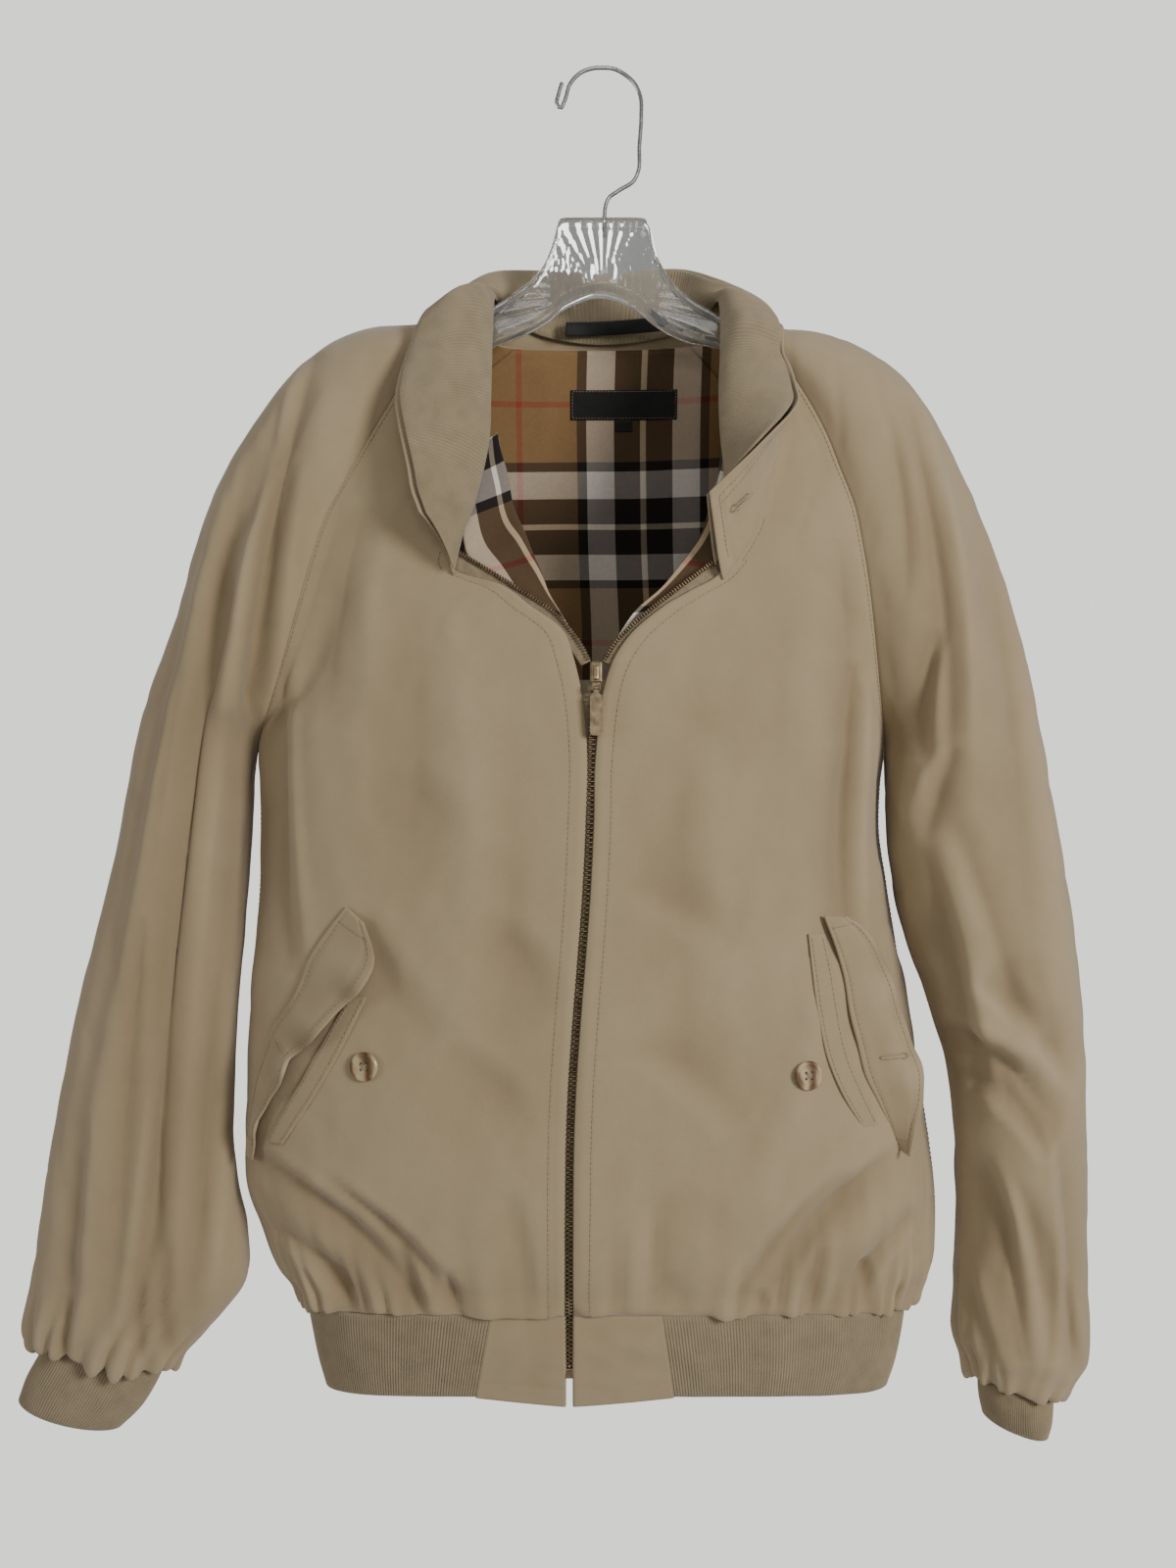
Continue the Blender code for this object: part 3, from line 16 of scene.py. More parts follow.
import bmesh
import bpy
import numpy as np
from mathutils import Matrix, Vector

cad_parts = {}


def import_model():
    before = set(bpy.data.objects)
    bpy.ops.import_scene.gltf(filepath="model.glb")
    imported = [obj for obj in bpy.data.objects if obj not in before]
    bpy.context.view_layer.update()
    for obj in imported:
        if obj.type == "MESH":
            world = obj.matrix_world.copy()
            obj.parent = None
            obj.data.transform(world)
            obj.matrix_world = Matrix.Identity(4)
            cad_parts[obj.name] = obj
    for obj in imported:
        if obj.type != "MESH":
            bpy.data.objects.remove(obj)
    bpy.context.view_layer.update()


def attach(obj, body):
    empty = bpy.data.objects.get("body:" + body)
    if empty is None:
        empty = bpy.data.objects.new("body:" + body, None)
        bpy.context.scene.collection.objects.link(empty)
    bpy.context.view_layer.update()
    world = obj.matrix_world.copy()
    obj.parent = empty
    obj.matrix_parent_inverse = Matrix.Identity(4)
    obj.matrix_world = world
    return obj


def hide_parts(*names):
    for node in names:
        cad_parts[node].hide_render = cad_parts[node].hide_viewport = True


LOG = logging.getLogger("jacket")
Array = np.ndarray
Table = Sequence[Sequence[float]]
Material = bpy.types.Material
Object = bpy.types.Object
Socket = bpy.types.NodeSocket
Shade = tuple[int, int, int]

MM = 0.001
WALL = 2.0
RIB_WALL = 2.4
COLLAR_WALL = 1.3
SEAM = 0.3
CENTRE_X = -8.0
POWER = 2.4
CROTCH = 11
SLEEVE_COLS = 23
FRONT_COLS = 10
BACK_COLS = 17
RIB_PITCH = 1.9
CREASE_GAIN = 1.6
# fine rows and columns of each kind of piece
SLEEVE_SIZE = (210, 121)
FRONT_SIZE = (200, 84)
BACK_SIZE = (200, 130)
COTTON_PLY_SIZE = (320, 30)
KNIT_PLY_SIZE = (1400, 13)
FLAP_SIZE = (90, 40)
LIP_SIZE = (60, 14)
TAB_SIZE = (40, 40)
HEM_COLS = 2001
CUFF_COLS = 481
# zip tooth: length, width and height, how much its top is drawn in, and its pitch when closed and open
TOOTH = (2.9, 1.15, 2.0)
TOOTH_EDGE = 0.35
CLOSED_PITCH = 1.45
OPEN_PITCH = 1.95
AHEAD = np.array([0, -1.0, 0])
UP = np.array([0, 0, 1.0])
# ---------------------------------------------------------------- tables, mm
# over-arm point o, front seam / inner point f, seam opening gf (front), gb (back), depth, y of the ring
SLEEVE_COLUMNS = ("ox", "oz", "fx", "fz", "gf", "gb", "depth", "cy")
SLEEVE_LEFT = (
    (-87, -163, -96, -192, 20, 8, 30, 0),
    (-118, -170, -112, -204, 22, 14, 35, 0),
    (-150, -174, -126, -216, 24, 19, 39, 0),
    (-178, -184, -138, -236, 26, 24, 43, 0),
    (-205, -205, -151, -259, 28, 28, 47, 0),
    (-228, -234, -164, -283, 30, 31, 51, 0),
    (-245, -262, -177, -308, 33, 34, 54, 0),
    (-260, -297, -187, -338, 37, 38, 57, 0),
    (-273, -335, -196, -368, 42, 43, 58, 0),
    (-285, -374, -206, -399, 50, 51, 58, 1),
    (-298, -413, -218, -430, 64, 64, 57, 2),
    (-310, -452, -229, -455, 90, 90, 56, 4),
    (-318, -498, -232, -500, 90, 90, 55, -2),
    (-326, -545, -235, -546, 90, 90, 54, -6),
    (-336, -590, -238, -590, 90, 90, 53, -8),
    (-345, -632, -240, -632, 90, 90, 52, -10),
    (-354, -672, -242, -672, 90, 90, 51, -10),
    (-361, -708, -243, -708, 90, 90, 50, -10),
    (-366, -740, -241, -742, 90, 90, 49, -10),
    (-370, -768, -235, -773, 90, 90, 47, -10),
    (-374, -797, -235, -806, 90, 90, 44, -10),
    (-378, -828, -258, -838, 90, 90, 39, -10),
    (-376, -840, -276, -856, 90, 90, 32, -10),
    (-367, -841, -289, -863, 90, 90, 24, -10),
)
SLEEVE_RIGHT = (
    (95, -169, 106, -192, 20, 8, 30, 0),
    (119, -175, 118, -204, 22, 14, 35, 0),
    (148, -179, 128, -219, 24, 19, 39, 0),
    (173, -187, 137, -235, 26, 24, 43, 0),
    (197, -203, 146, -254, 28, 28, 47, 0),
    (217, -227, 154, -276, 30, 31, 51, 0),
    (236, -262, 163, -300, 33, 34, 54, 0),
    (252, -295, 168, -324, 37, 38, 57, 0),
    (265, -330, 173, -352, 42, 43, 58, 0),
    (277, -370, 178, -384, 50, 51, 58, 2),
    (288, -413, 184, -420, 64, 64, 57, 4),
    (296, -455, 191, -452, 90, 90, 56, 5),
    (302, -498, 192, -500, 90, 90, 55, 1),
    (308, -540, 195, -543, 90, 90, 54, -5),
    (312, -578, 202, -578, 90, 90, 52, -11),
    (315, -615, 212, -611, 90, 90, 51, -15),
    (317, -655, 223, -650, 90, 90, 49, -16),
    (319, -700, 231, -695, 90, 90, 48, -15),
    (320, -740, 234, -740, 90, 90, 47, -14),
    (321, -775, 235, -775, 90, 90, 45, -14),
    (322, -808, 234, -806, 90, 90, 43, -14),
    (323, -843, 233, -838, 90, 90, 40, -14),
    (316, -864, 240, -856, 90, 90, 33, -14),
    (299, -880, 250, -867, 90, 90, 23, -14),
)
# neckline and zip edge of each front (ex, ez), then its outer edge below the underarm (sz)
FRONT_COLUMNS = ("ex", "ez")
FRONT_LEFT = (
    (-91, -197), (-89, -214), (-88, -234), (-88, -254), (-88, -275), (-88, -296), (-90, -320),
    (-94, -342), (-63, -353), (-45, -366), (-25, -381), (-18, -398), (-12, -425), (-9.3, -462),
    (-9.6, -500), (-10.8, -545), (-14, -585), (-17.5, -625), (-20.3, -668), (-22.2, -706),
    (-22.6, -740), (-22.8, -768), (-22.9, -790), (-22.9, -802), (-22.8, -812),
)
FRONT_RIGHT = (
    (101, -197), (106, -210), (112, -226), (115, -243), (114, -260), (109, -278), (101, -298),
    (93, -320), (76, -345), (56, -357), (38, -368), (17, -387), (3.5, -414), (-3.4, -462),
    (-4, -500), (-5.2, -545), (-8.4, -585), (-12, -625), (-14.7, -668), (-16.6, -706),
    (-17, -740), (-17.2, -768), (-17.3, -790), (-17.3, -802), (-17.2, -812),
)
SIDE_Z = (-482, -512, -546, -580, -614, -650, -682, -713, -743, -770, -795, -811, -822)
# trunk below the underarm: side extents, their y, and front and back depth
TRUNK_COLUMNS = ("z", "left", "right", "yl", "yr", "front", "back")
TRUNK = (
    (-470, -228.5, 190, 6, 12, 76, 67),
    (-500, -228.5, 190, 8, 20, 78, 68),
    (-545, -229.5, 196, 10, 24, 79, 70),
    (-610, -234, 206, 10, 24, 80, 72),
    (-675, -237, 217, 8, 20, 80, 74),
    (-720, -238, 223, 6, 14, 80, 75),
    (-745, -236, 225, 5, 10, 80, 75),
    (-770, -227, 225, 4, 6, 78, 74),
    (-795, -216, 221, 3, 3, 74, 70),
    (-812, -204, 213, 2, 2, 66, 62),
    (-824, -196, 205, 2, 2, 58, 55),
)
YOKE_COLUMNS = ("z", "front", "back")
YOKE = (
    (-160, 24, 42), (-192, 36, 48), (-230, 48, 54), (-280, 59, 59), (-340, 66, 62),
    (-400, 71, 64), (-440, 74, 66),
)
# zip line down the closed front
ZIP_COLUMNS = ("x", "z")
ZIP = (
    (-2.6, -402), (-3.4, -418), (-5.4, -445), (-6.3, -478), (-7.3, -515), (-9.8, -557),
    (-14, -611), (-17.6, -660), (-19.4, -708), (-19.9, -782), (-19.8, -848),
)
ZIP_OPEN_LEFT = ((-91, -331), (-73, -342), (-51.5, -355.5), (-29.5, -370), (-13.5, -389), (-7.0, -401))
ZIP_OPEN_RIGHT = ((71, -338), (53.5, -351), (36, -364.5), (20, -378), (9.5, -389), (2.0, -401))
# collar stations: knit foot, top edge, arch of the ply; front end to front end
COLLAR_COLUMNS = ("kx", "ky", "kz", "tx", "ty", "tz", "arch")
COLLAR = (
    (-93, -71, -343, -112, -88, -311, 3),
    (-87, -66, -320, -117, -83, -297, 4),
    (-80, -61, -300, -120, -78, -281, 5),
    (-72, -53, -262, -127, -66, -250, 7),
    (-71, -45, -228, -129, -58, -232, 9),
    (-71, -32, -192, -125, -46, -207, 12),
    (-71, -12, -158, -117, -30, -180, 15),
    (-69, 10, -153, -103, -6, -159, 15),
    (-58, 28, -160, -80, 20, -132, 9),
    (-36, 38, -168, -53, 46, -120, 5),
    (2, 42, -172, 3, 58, -119, 3),
    (44, 38, -168, 52, 46, -119, 3),
    (66, 28, -161, 79, 22, -133, 6),
    (77, 10, -155, 101, 4, -150, 10),
    (80, -10, -160, 114, -16, -170, 11),
    (79, -30, -194, 119, -36, -199, 9),
    (77, -42, -224, 124, -56, -226, 8),
    (77, -50, -252, 122, -74, -243, 6),
    (79, -58, -280, 102, -88, -266, 3),
    (80, -66, -310, 82, -92, -286, 1),
    (76, -71, -343, 67, -92, -300, 0),
)
# hem band: side extents and depths at its top and foot
HEM_COLUMNS = ("fall", "left", "right", "front", "back")
HEM = ((0, -195, 204, 66, 60), (16, -192, 202, 64, 57), (36, -188, 198, 60, 53), (54, -183, 192, 56, 50))
HEM_TOP, HEM_FALL = -812.3, 54
HEM_DROP = 10         # the seam is this much lower at the sides
TAB_LEFT, TAB_RIGHT = (-69, -79), (38, 46)   # outer edges of the self-fabric tabs, top and foot
TAB_FALL = 58
# cuffs: outer point, inner point, half depth, y
CUFF_COLUMNS = ("ox", "oz", "fx", "fz", "depth", "cy")
CUFF_LEFT = (
    (-366, -842, -289, -864, 23, -10), (-371, -853, -295, -876, 26, -10),
    (-380, -869, -304, -890, 26, -10), (-385, -884, -317, -903, 24, -10),
)
CUFF_RIGHT = (
    (299, -881, 250, -868, 22, -14), (298, -889, 250, -876, 25, -14),
    (297, -898, 251, -885, 25, -14), (295, -907, 253, -894, 23, -14),
)
# folds: start and end as fractions of columns (u) and rows (v), half width in u, depth
FOLDS = {
    "sleeve_left": (
        (0.25, 0.16, 0.23, 0.86, 0.045, -7), (0.37, 0.30, 0.36, 0.88, 0.05, -6),
        (0.13, 0.44, 0.15, 0.92, 0.05, -5), (0.62, 0.22, 0.66, 0.90, 0.06, -6),
        (0.80, 0.42, 0.82, 0.90, 0.05, -6),
    ),
    "sleeve_right": (
        (0.34, 0.22, 0.30, 0.60, 0.05, -5), (0.10, 0.60, 0.42, 0.74, 0.06, -8),
        (0.22, 0.80, 0.34, 0.96, 0.05, -7), (0.66, 0.20, 0.70, 0.86, 0.06, -6),
        (0.84, 0.46, 0.82, 0.90, 0.05, -6),
    ),
    "front_left": (
        (0.82, 0.86, 0.45, 0.95, 0.12, -5), (0.62, 0.84, 0.20, 0.90, 0.10, -4),
        (0.80, 0.30, 0.74, 0.56, 0.10, -5),
    ),
    "front_right": (
        (0.84, 0.84, 0.52, 0.94, 0.12, -5), (0.60, 0.80, 0.25, 0.88, 0.10, -4),
        (0.92, 0.40, 0.90, 0.66, 0.07, -7),
    ),
    "back": (
        (0.12, 0.86, 0.30, 0.95, 0.06, -4), (0.88, 0.86, 0.70, 0.95, 0.06, -4),
        (0.14, 0.30, 0.20, 0.60, 0.05, -5), (0.86, 0.30, 0.80, 0.60, 0.05, -5),
        (0.45, 0.20, 0.48, 0.60, 0.06, -3),
    ),
}
# pocket flaps: sewn edge (ax, az), free edge (bx, bz), stand-off of the free edge
FLAP_LEFT = (
    (-160, -556, -148, -565, 4), (-172, -571, -141, -588, 9), (-184, -588, -148, -605, 12),
    (-191, -606, -160, -616, 9), (-199, -620, -178, -636, 13), (-209, -634, -194, -650, 9),
    (-216, -650, -200, -664, 12), (-223, -672, -211, -680, 9), (-228, -694, -219, -697, 8),
    (-231, -720, -225, -721, 5),
)
FLAP_RIGHT = (
    (142, -562, 156, -563, 5), (149, -580, 168, -571, 10), (155, -600, 180, -589, 14),
    (159, -624, 190, -616, 18), (164, -643, 198, -641, 22), (169, -663, 205, -660, 26),
    (177, -679, 206, -680, 24), (185, -695, 201, -697, 18), (193, -712, 198, -715, 12),
)
# pocket lips: middle (x, z) and width
LIP_LEFT = (
    (-152, -612, 10), (-160, -626, 12), (-172, -648, 14), (-186, -672, 14), (-200, -694, 13),
    (-208, -708, 10),
)
LIP_RIGHT = (
    (136, -573, 10), (140, -596, 13), (144, -622, 14), (150, -650, 14), (160, -674, 14), (172, -696, 11),
)
BUTTONS = (("pocket_button_left", -148, -655), ("pocket_button_right", 130, -661))
# hanger: x, upper edge, lower edge, half thickness
HANGER_COLUMNS = ("x", "top", "foot", "half")
HANGER = (
    (-207, -216, -232, 3.5), (-200, -208, -231, 4.2), (-178, -192, -221, 5), (-150, -181, -211, 5),
    (-132, -181, -207, 5), (-115, -177, -202, 5), (-87, -168.5, -192, 5), (-72, -159, -185.5, 5),
    (-54, -147, -179, 5), (-43, -138, -174, 5), (-35, -125, -169, 5), (-30, -110, -165, 5),
    (-28, -102, -163.5, 5), (-26, -99.5, -162, 5), (-21, -99, -159, 5), (0, -99, -152.6, 5),
    (20, -99, -158.5, 5), (29, -99.5, -165, 5), (32.5, -103, -168, 5), (35, -111, -170, 5),
    (38.6, -125, -172.6, 5), (47, -140, -177.5, 5),
    (60, -153, -182.5, 5), (77, -163, -186, 5), (95, -175, -194, 5), (117, -182, -203, 5),
    (128, -185, -207, 5), (148, -189, -212, 5), (173, -195, -221, 5), (194, -209, -230, 4.2),
    (202, -219, -232, 3.5),
)
# front linings: outer, middle and inner point of each row
LINING_LEFT = (
    (-84, -50, -265, -66, -42, -252, -66, -24, -252), (-88, -58, -300, -61, -44, -275, -62, -24, -275),
    (-84, -64, -333, -55, -48, -302, -57, -26, -302), (-66, -65, -348, -48, -52, -320, -50, -30, -320),
    (-46, -66, -362, -38, -56, -343, -40, -36, -343), (-26, -67, -376, -26, -60, -366, -28, -44, -366),
    (-12, -67.5, -396, -12, -63, -390, -14, -54, -390),
)
LINING_RIGHT = (
    (96, -46, -262, 78, -42, -256, 80, -26, -256), (92, -54, -292, 74, -46, -280, 76, -26, -280),
    (84, -62, -325, 68, -50, -306, 70, -30, -306), (64, -65, -346, 56, -54, -330, 58, -36, -330),
    (44, -66, -360, 38, -58, -352, 40, -42, -352), (24, -67, -377, 20, -61, -370, 22, -48, -370),
    (8, -67.5, -396, 7, -63, -390, 9, -54, -390),
)

# front-view creases, mm: start, end, bow to the right of its way, half width, depth, skew
CREASES_FRONT = {
    "sleeve_left": (
        (-186, -196, -222, -470, -9, 5.0, -6.0, -0.5), (-198, -270, -228, -640, -6, 5.5, -6.0, 0.5),
        (-232, -300, -286, -850, -10, 6.0, -6.6, 0.8), (-262, -520, -303, -850, 7, 5.0, -4.4, -0.6),
        (-292, -560, -316, -850, 2, 5.0, -4.2, 0.6), (-244, -600, -268, -850, 4, 4.5, -4.0, 0.5),
        (-224, -250, -262, -520, -6, 8.0, -3.0, -0.5), (-330, -690, -346, -850, -2, 5.0, -3.0, 0.3),
        (-226, -500, -240, -720, 3, 5.0, -3.4, 0.4), (-206, -225, -214, -340, -3, 5.0, -2.0, 0.2),
        (-342, -806, -350, -850, 0, 3.4, -2.6, 0.1), (-276, -772, -280, -856, -1, 3.6, -3.0, -0.2),
        (-296, -780, -296, -856, 1, 3.6, -2.6, 0.2), (-262, -360, -290, -560, -4, 9.0, -2.0, 0.4),
    ),
    "sleeve_right": (
        (200, -226, 222, -470, 7, 6.0, -5.0, 0.6), (216, -380, 206, -462, -5, 4.5, -5.0, 0.7),
        (226, -455, 208, -512, -3, 4.0, -4.4, -0.6), (206, -520, 236, -700, 6, 5.0, -4.4, 0.6),
        (212, -636, 296, -694, 9, 6.0, -7.0, 0.8), (226, -664, 284, -712, 7, 4.0, -4.0, -0.5),
        (236, -602, 302, -668, 7, 5.0, -3.6, -0.6), (240, -716, 272, -850, 5, 6.0, -5.6, 0.7),
        (262, -730, 290, -850, 4, 4.5, -3.6, -0.5), (288, -690, 308, -858, 3, 5.0, -2.8, -0.4),
        (246, -260, 274, -610, 6, 9.0, -3.2, 0.7), (222, -500, 262, -640, 6, 6.0, -3.4, -0.5),
        (298, -790, 306, -862, 1, 3.6, -2.6, 0.2), (232, -790, 246, -862, 2, 4.0, -2.8, 0.2),
        (186, -240, 194, -360, 3, 5.0, -2.2, 0.3),
    ),
    "front_left": (
        (-226, -716, -116, -810, 12, 5.0, -5.0, 0.7), (-176, -726, -92, -806, 7, 4.5, -4.0, 0.6),
        (-212, -764, -150, -822, 6, 4.5, -3.6, -0.5), (-206, -400, -200, -600, -5, 6.0, -4.6, 0.6),
        (-128, -770, -112, -826, 3, 3.6, -3.8, 0.3), (-96, -780, -88, -826, -2, 3.6, -3.6, -0.3),
        (-150, -300, -176, -440, -5, 10.0, -2.6, 0.5), (-118, -360, -124, -560, 4, 14.0, -2.0, 0.5),
        (-60, -440, -62, -690, 5, 12.0, -2.0, -0.5), (-74, -560, -30, -620, 5, 8.0, -2.4, 0.6),
        (-100, -640, -40, -700, 6, 8.0, -2.2, 0.6), (-206, -800, -190, -826, 1, 3.2, -2.6, 0.2),
        (-150, -560, -104, -640, -6, 9.0, -1.8, 0.5), (-56, -730, -44, -826, 2, 5.0, -2.6, 0.5),
        (-172, -786, -158, -826, 1, 3.6, -3.0, 0.2), (-140, -470, -90, -520, 8, 10.0, -1.4, 0.5),
    ),
    "front_right": (
        (190, -712, 104, -810, -11, 5.0, -5.0, -0.7), (160, -722, 84, -804, -7, 4.5, -3.8, -0.6),
        (206, -756, 150, -824, -6, 4.5, -3.6, 0.5), (168, -400, 160, -590, -4, 5.0, -6.4, 0.8),
        (140, -770, 130, -826, -2, 3.6, -3.8, -0.3), (170, -780, 172, -826, 2, 3.6, -3.4, 0.3),
        (150, -320, 160, -450, 4, 9.0, -2.8, 0.5), (118, -340, 112, -540, -4, 14.0, -2.0, 0.5),
        (52, -440, 56, -690, -5, 12.0, -2.0, 0.5), (16, -540, 84, -580, 6, 8.0, -2.4, -0.6),
        (20, -640, 90, -690, 7, 8.0, -2.4, -0.6), (194, -800, 188, -826, 1, 3.2, -2.6, 0.2),
        (40, -730, 30, -826, -2, 5.0, -2.6, -0.5), (100, -796, 104, -826, 1, 3.6, -3.0, 0.2),
        (30, -430, 92, -470, 8, 10.0, -1.6, -0.5), (128, -600, 60, -760, 10, 9.0, -2.2, 0.5),
    ),
}
CREASES_BACK = {
    "sleeve_left": (
        (-196, -226, -240, -540, -10, 8.0, -3.4, 0.4), (-240, -530, -262, -800, 4, 7.0, -2.8, 0.3),
        (-280, -420, -306, -620, 6, 7.0, -2.4, 0.3), (-310, -650, -262, -700, -5, 6.0, -2.6, 0.4),
        (-330, -700, -340, -836, 2, 5.0, -2.2, 0.2), (-286, -740, -300, -850, 2, 4.5, -2.2, 0.2),
    ),
    "sleeve_right": (
        (190, -230, 222, -520, 8, 8.0, -3.4, 0.4), (224, -520, 246, -790, -4, 7.0, -2.8, 0.3),
        (262, -400, 286, -600, 5, 7.0, -2.2, 0.2), (236, -636, 300, -690, 6, 6.0, -3.4, 0.6),
        (300, -700, 306, -850, 2, 5.0, -2.2, 0.2), (262, -750, 272, -860, 2, 4.5, -2.2, 0.2),
    ),
    "back": (
        (-150, -260, -196, -470, -8, 9.0, -3.0, 0.4), (136, -260, 166, -470, 8, 9.0, -3.0, 0.4),
        (-206, -470, -190, -600, 6, 8.0, -2.8, 0.3), (176, -470, 164, -600, -5, 8.0, -2.8, 0.3),
        (-210, -730, -96, -806, 10, 8.0, -3.2, 0.5), (190, -724, 90, -806, -9, 8.0, -3.2, -0.5),
        (-40, -320, -52, -560, -5, 13.0, -1.6, 0.1), (34, -300, 46, -520, 5, 13.0, -1.6, 0.1),
        (-6, -560, 4, -780, 4, 12.0, -1.3, 0.1), (-110, -610, -76, -790, 5, 9.0, -1.6, 0.2),
        (104, -620, 70, -790, -5, 9.0, -1.6, 0.2), (-80, -240, -110, -330, -3, 8.0, -1.4, 0.2),
    ),
}

# ------------------------------------------------------------------- curves


def column(rows: Table, names: Sequence[str], name: str) -> Array:
    """One named column of a table as an array."""
    return np.array(rows, dtype=float)[:, list(names).index(name)]


def smooth(at: Array, xs: Array, ys: Array) -> Array:
    """Monotone cubic through (xs, ys); each slope is the harmonic mean of the chords beside it.

    Args:
        at: Where the curve is wanted.
        xs: Places of the given values, rising or falling.
        ys: The given values.
    Returns:
        The curve's values at `at`.
    """
    xs, ys, at = np.asarray(xs, float), np.asarray(ys, float), np.asarray(at, float)
    if xs[0] > xs[-1]:
        xs, ys = xs[::-1], ys[::-1]
    h = np.diff(xs)
    d = np.diff(ys) / h
    m = np.zeros_like(ys)
    same = d[1:] * d[:-1] > 0
    w1, w2 = 2 * h[1:] + h[:-1], h[1:] + 2 * h[:-1]
    inner = np.zeros(len(d) - 1)
    inner[same] = ((w1 + w2)[same]) / (w1[same] / d[:-1][same] + w2[same] / d[1:][same])
    m[1:-1] = inner
    m[0], m[-1] = d[0], d[-1]
    at = np.clip(at, xs[0], xs[-1])
    i = np.clip(np.searchsorted(xs, at) - 1, 0, len(h) - 1)
    t = (at - xs[i]) / h[i]
    return ((2 * t**3 - 3 * t**2 + 1) * ys[i] + (t**3 - 2 * t**2 + t) * h[i] * m[i]
            + (-2 * t**3 + 3 * t**2) * ys[i + 1] + (t**3 - t**2) * h[i] * m[i + 1])


def rounded(at: Array, xs: Array, ys: Array) -> Array:
    """Cubic through the points with central slopes, so that bends stay round.

    Args:
        at: Where the curve is wanted.
        xs: Rising places.
        ys: Values there.
    Returns:
        The curve's values at `at`.
    """
    m = np.gradient(ys, xs)
    i = np.clip(np.searchsorted(xs, at) - 1, 0, len(xs) - 2)
    h = xs[i + 1] - xs[i]
    t = (at - xs[i]) / h
    return ((2 * t**3 - 3 * t**2 + 1) * ys[i] + (t**3 - 2 * t**2 + t) * h * m[i]
            + (-2 * t**3 + 3 * t**2) * ys[i + 1] + (t**3 - t**2) * h * m[i + 1])


def unit(v: Array) -> Array:
    """Vectors scaled to length one."""
    v = np.asarray(v, float)
    return v / np.maximum(np.linalg.norm(v, axis=-1, keepdims=True), 1e-9)


def normals(grid: Array, toward: Array) -> Array:
    """Cross product of a grid's two central differences, turned to the side of `toward`."""
    n = unit(np.cross(np.gradient(grid, axis=1), np.gradient(grid, axis=0)))
    return np.where(np.sum(n * toward, axis=-1, keepdims=True) < 0, -n, n)


def refine_axis(grid: Array, count: int, axis: int) -> Array:
    """Cubic steps along one axis: each span is bent by its four neighbours.

    Beyond an end the neighbour is the mirror image of the one inside it.

    Args:
        grid: Points on a grid.
        count: How many there are to be along the axis.
        axis: 0 for rows, 1 for columns.
    Returns:
        The finer grid.
    """
    size = grid.shape[axis]
    at = np.linspace(0, size - 1, count)
    i = np.minimum(at.astype(int), size - 2)
    t = (at - i).reshape((-1, 1, 1) if axis == 0 else (1, -1, 1))
    pick = lambda k: np.take(grid, np.clip(k, 0, size - 1), axis)
    b, c = pick(i), pick(i + 1)
    first = (i == 0).reshape(t.shape)
    last = (i == size - 2).reshape(t.shape)
    a = np.where(first, 2 * b - c, pick(i - 1))
    d = np.where(last, 2 * c - b, pick(i + 2))
    return 0.5 * ((2 * b) + (c - a) * t + (2 * a - 5 * b + 4 * c - d) * t**2 + (3 * b - a - 3 * c + d) * t**3)


def refine(grid: Array, rows: int, cols: int) -> Array:
    """The grid with `rows` by `cols` points, by cubic steps both ways."""
    return refine_axis(refine_axis(grid, rows, 0), cols, 1)


def waves(points: Array, length: float, seed: int, stretch: Sequence[float] = (1, 1, 1)) -> Array:
    """Smooth uneven field of about unit size: nine cosines of near-equal wavelength in random directions.

    Args:
        points: Where it is wanted.
        length: Wavelength in mm.
        seed: Which field.
        stretch: Scale of the three axes, larger for shorter waves.
    Returns:
        The field at each point.
    """
    draw = np.random.default_rng(seed)
    ways = unit(draw.normal(size=(9, 3))) * np.array(stretch) * (2 * pi / length)
    ways *= draw.uniform(0.7, 1.4, (9, 1))
    return np.cos(points @ ways.T + draw.uniform(0, 2 * pi, 9)).sum(-1) / 2.6


def creases(points: Array, rows: Table) -> Array:
    """Depth of the tabled creases, which fade to both ends of their bowed lines.

    Across a line each is steep on the side its skew points to and gentle on the other, with a low ridge of
    the opposite sign beyond the steep side.

    Args:
        points: Cloth points; x and z are used.
        rows: Table of creases.
    Returns:
        Depth in mm at each point, negative for troughs.
    """
    total = np.zeros(points.shape[:-1])
    for x0, z0, x1, z1, bow, half, depth, skew in rows:
        way = np.array([x1 - x0, z1 - z0])
        span = np.hypot(*way)
        off = points[..., [0, 2]] - (x0, z0)
        t = off @ way / span**2
        side = off @ np.array([-way[1], way[0]]) / span - bow * 4 * t * (1 - t)
        q = side / (half * (0.75 + 0.5 * t))
        fade = np.where((t > 0) & (t < 1), np.sin(pi * np.clip(t, 0, 1)) ** 0.6, 0)
        steep = q * np.sign(skew + 1e-6)
        across = np.where(steep > 0, steep, steep / (1 + 3.2 * abs(skew)))
        shape = np.exp(-np.abs(across) ** 1.35) - 0.28 * np.exp(-((steep - 2.1) / 0.8) ** 2)
        total += CREASE_GAIN * depth * fade * shape
    return total


def inset(grid: Array, distance: float, side: int) -> Array:
    """Line that runs down a grid at a distance in from its first (0) or last (-1) column.

    Args:
        grid: Points on a grid.
        distance: How far in, mm.
        side: 0 or -1.
    Returns:
        One point for each row.
    """
    work = grid if side == 0 else grid[:, ::-1]
    steps = np.linalg.norm(np.diff(work[:, :14], axis=1), axis=-1).mean(1)
    at = np.clip(distance / np.maximum(steps, 1e-6), 0, work.shape[1] - 1.001)
    i = at.astype(int)
    f = (at - i)[:, None]
    rows = np.arange(len(work))
    return work[rows, i] * (1 - f) + work[rows, i + 1] * f


def run_along(path: Array) -> Array:
    """Length along a path at each of its points."""
    return np.concatenate([[0], np.cumsum(np.linalg.norm(np.diff(path, axis=0), axis=1))])


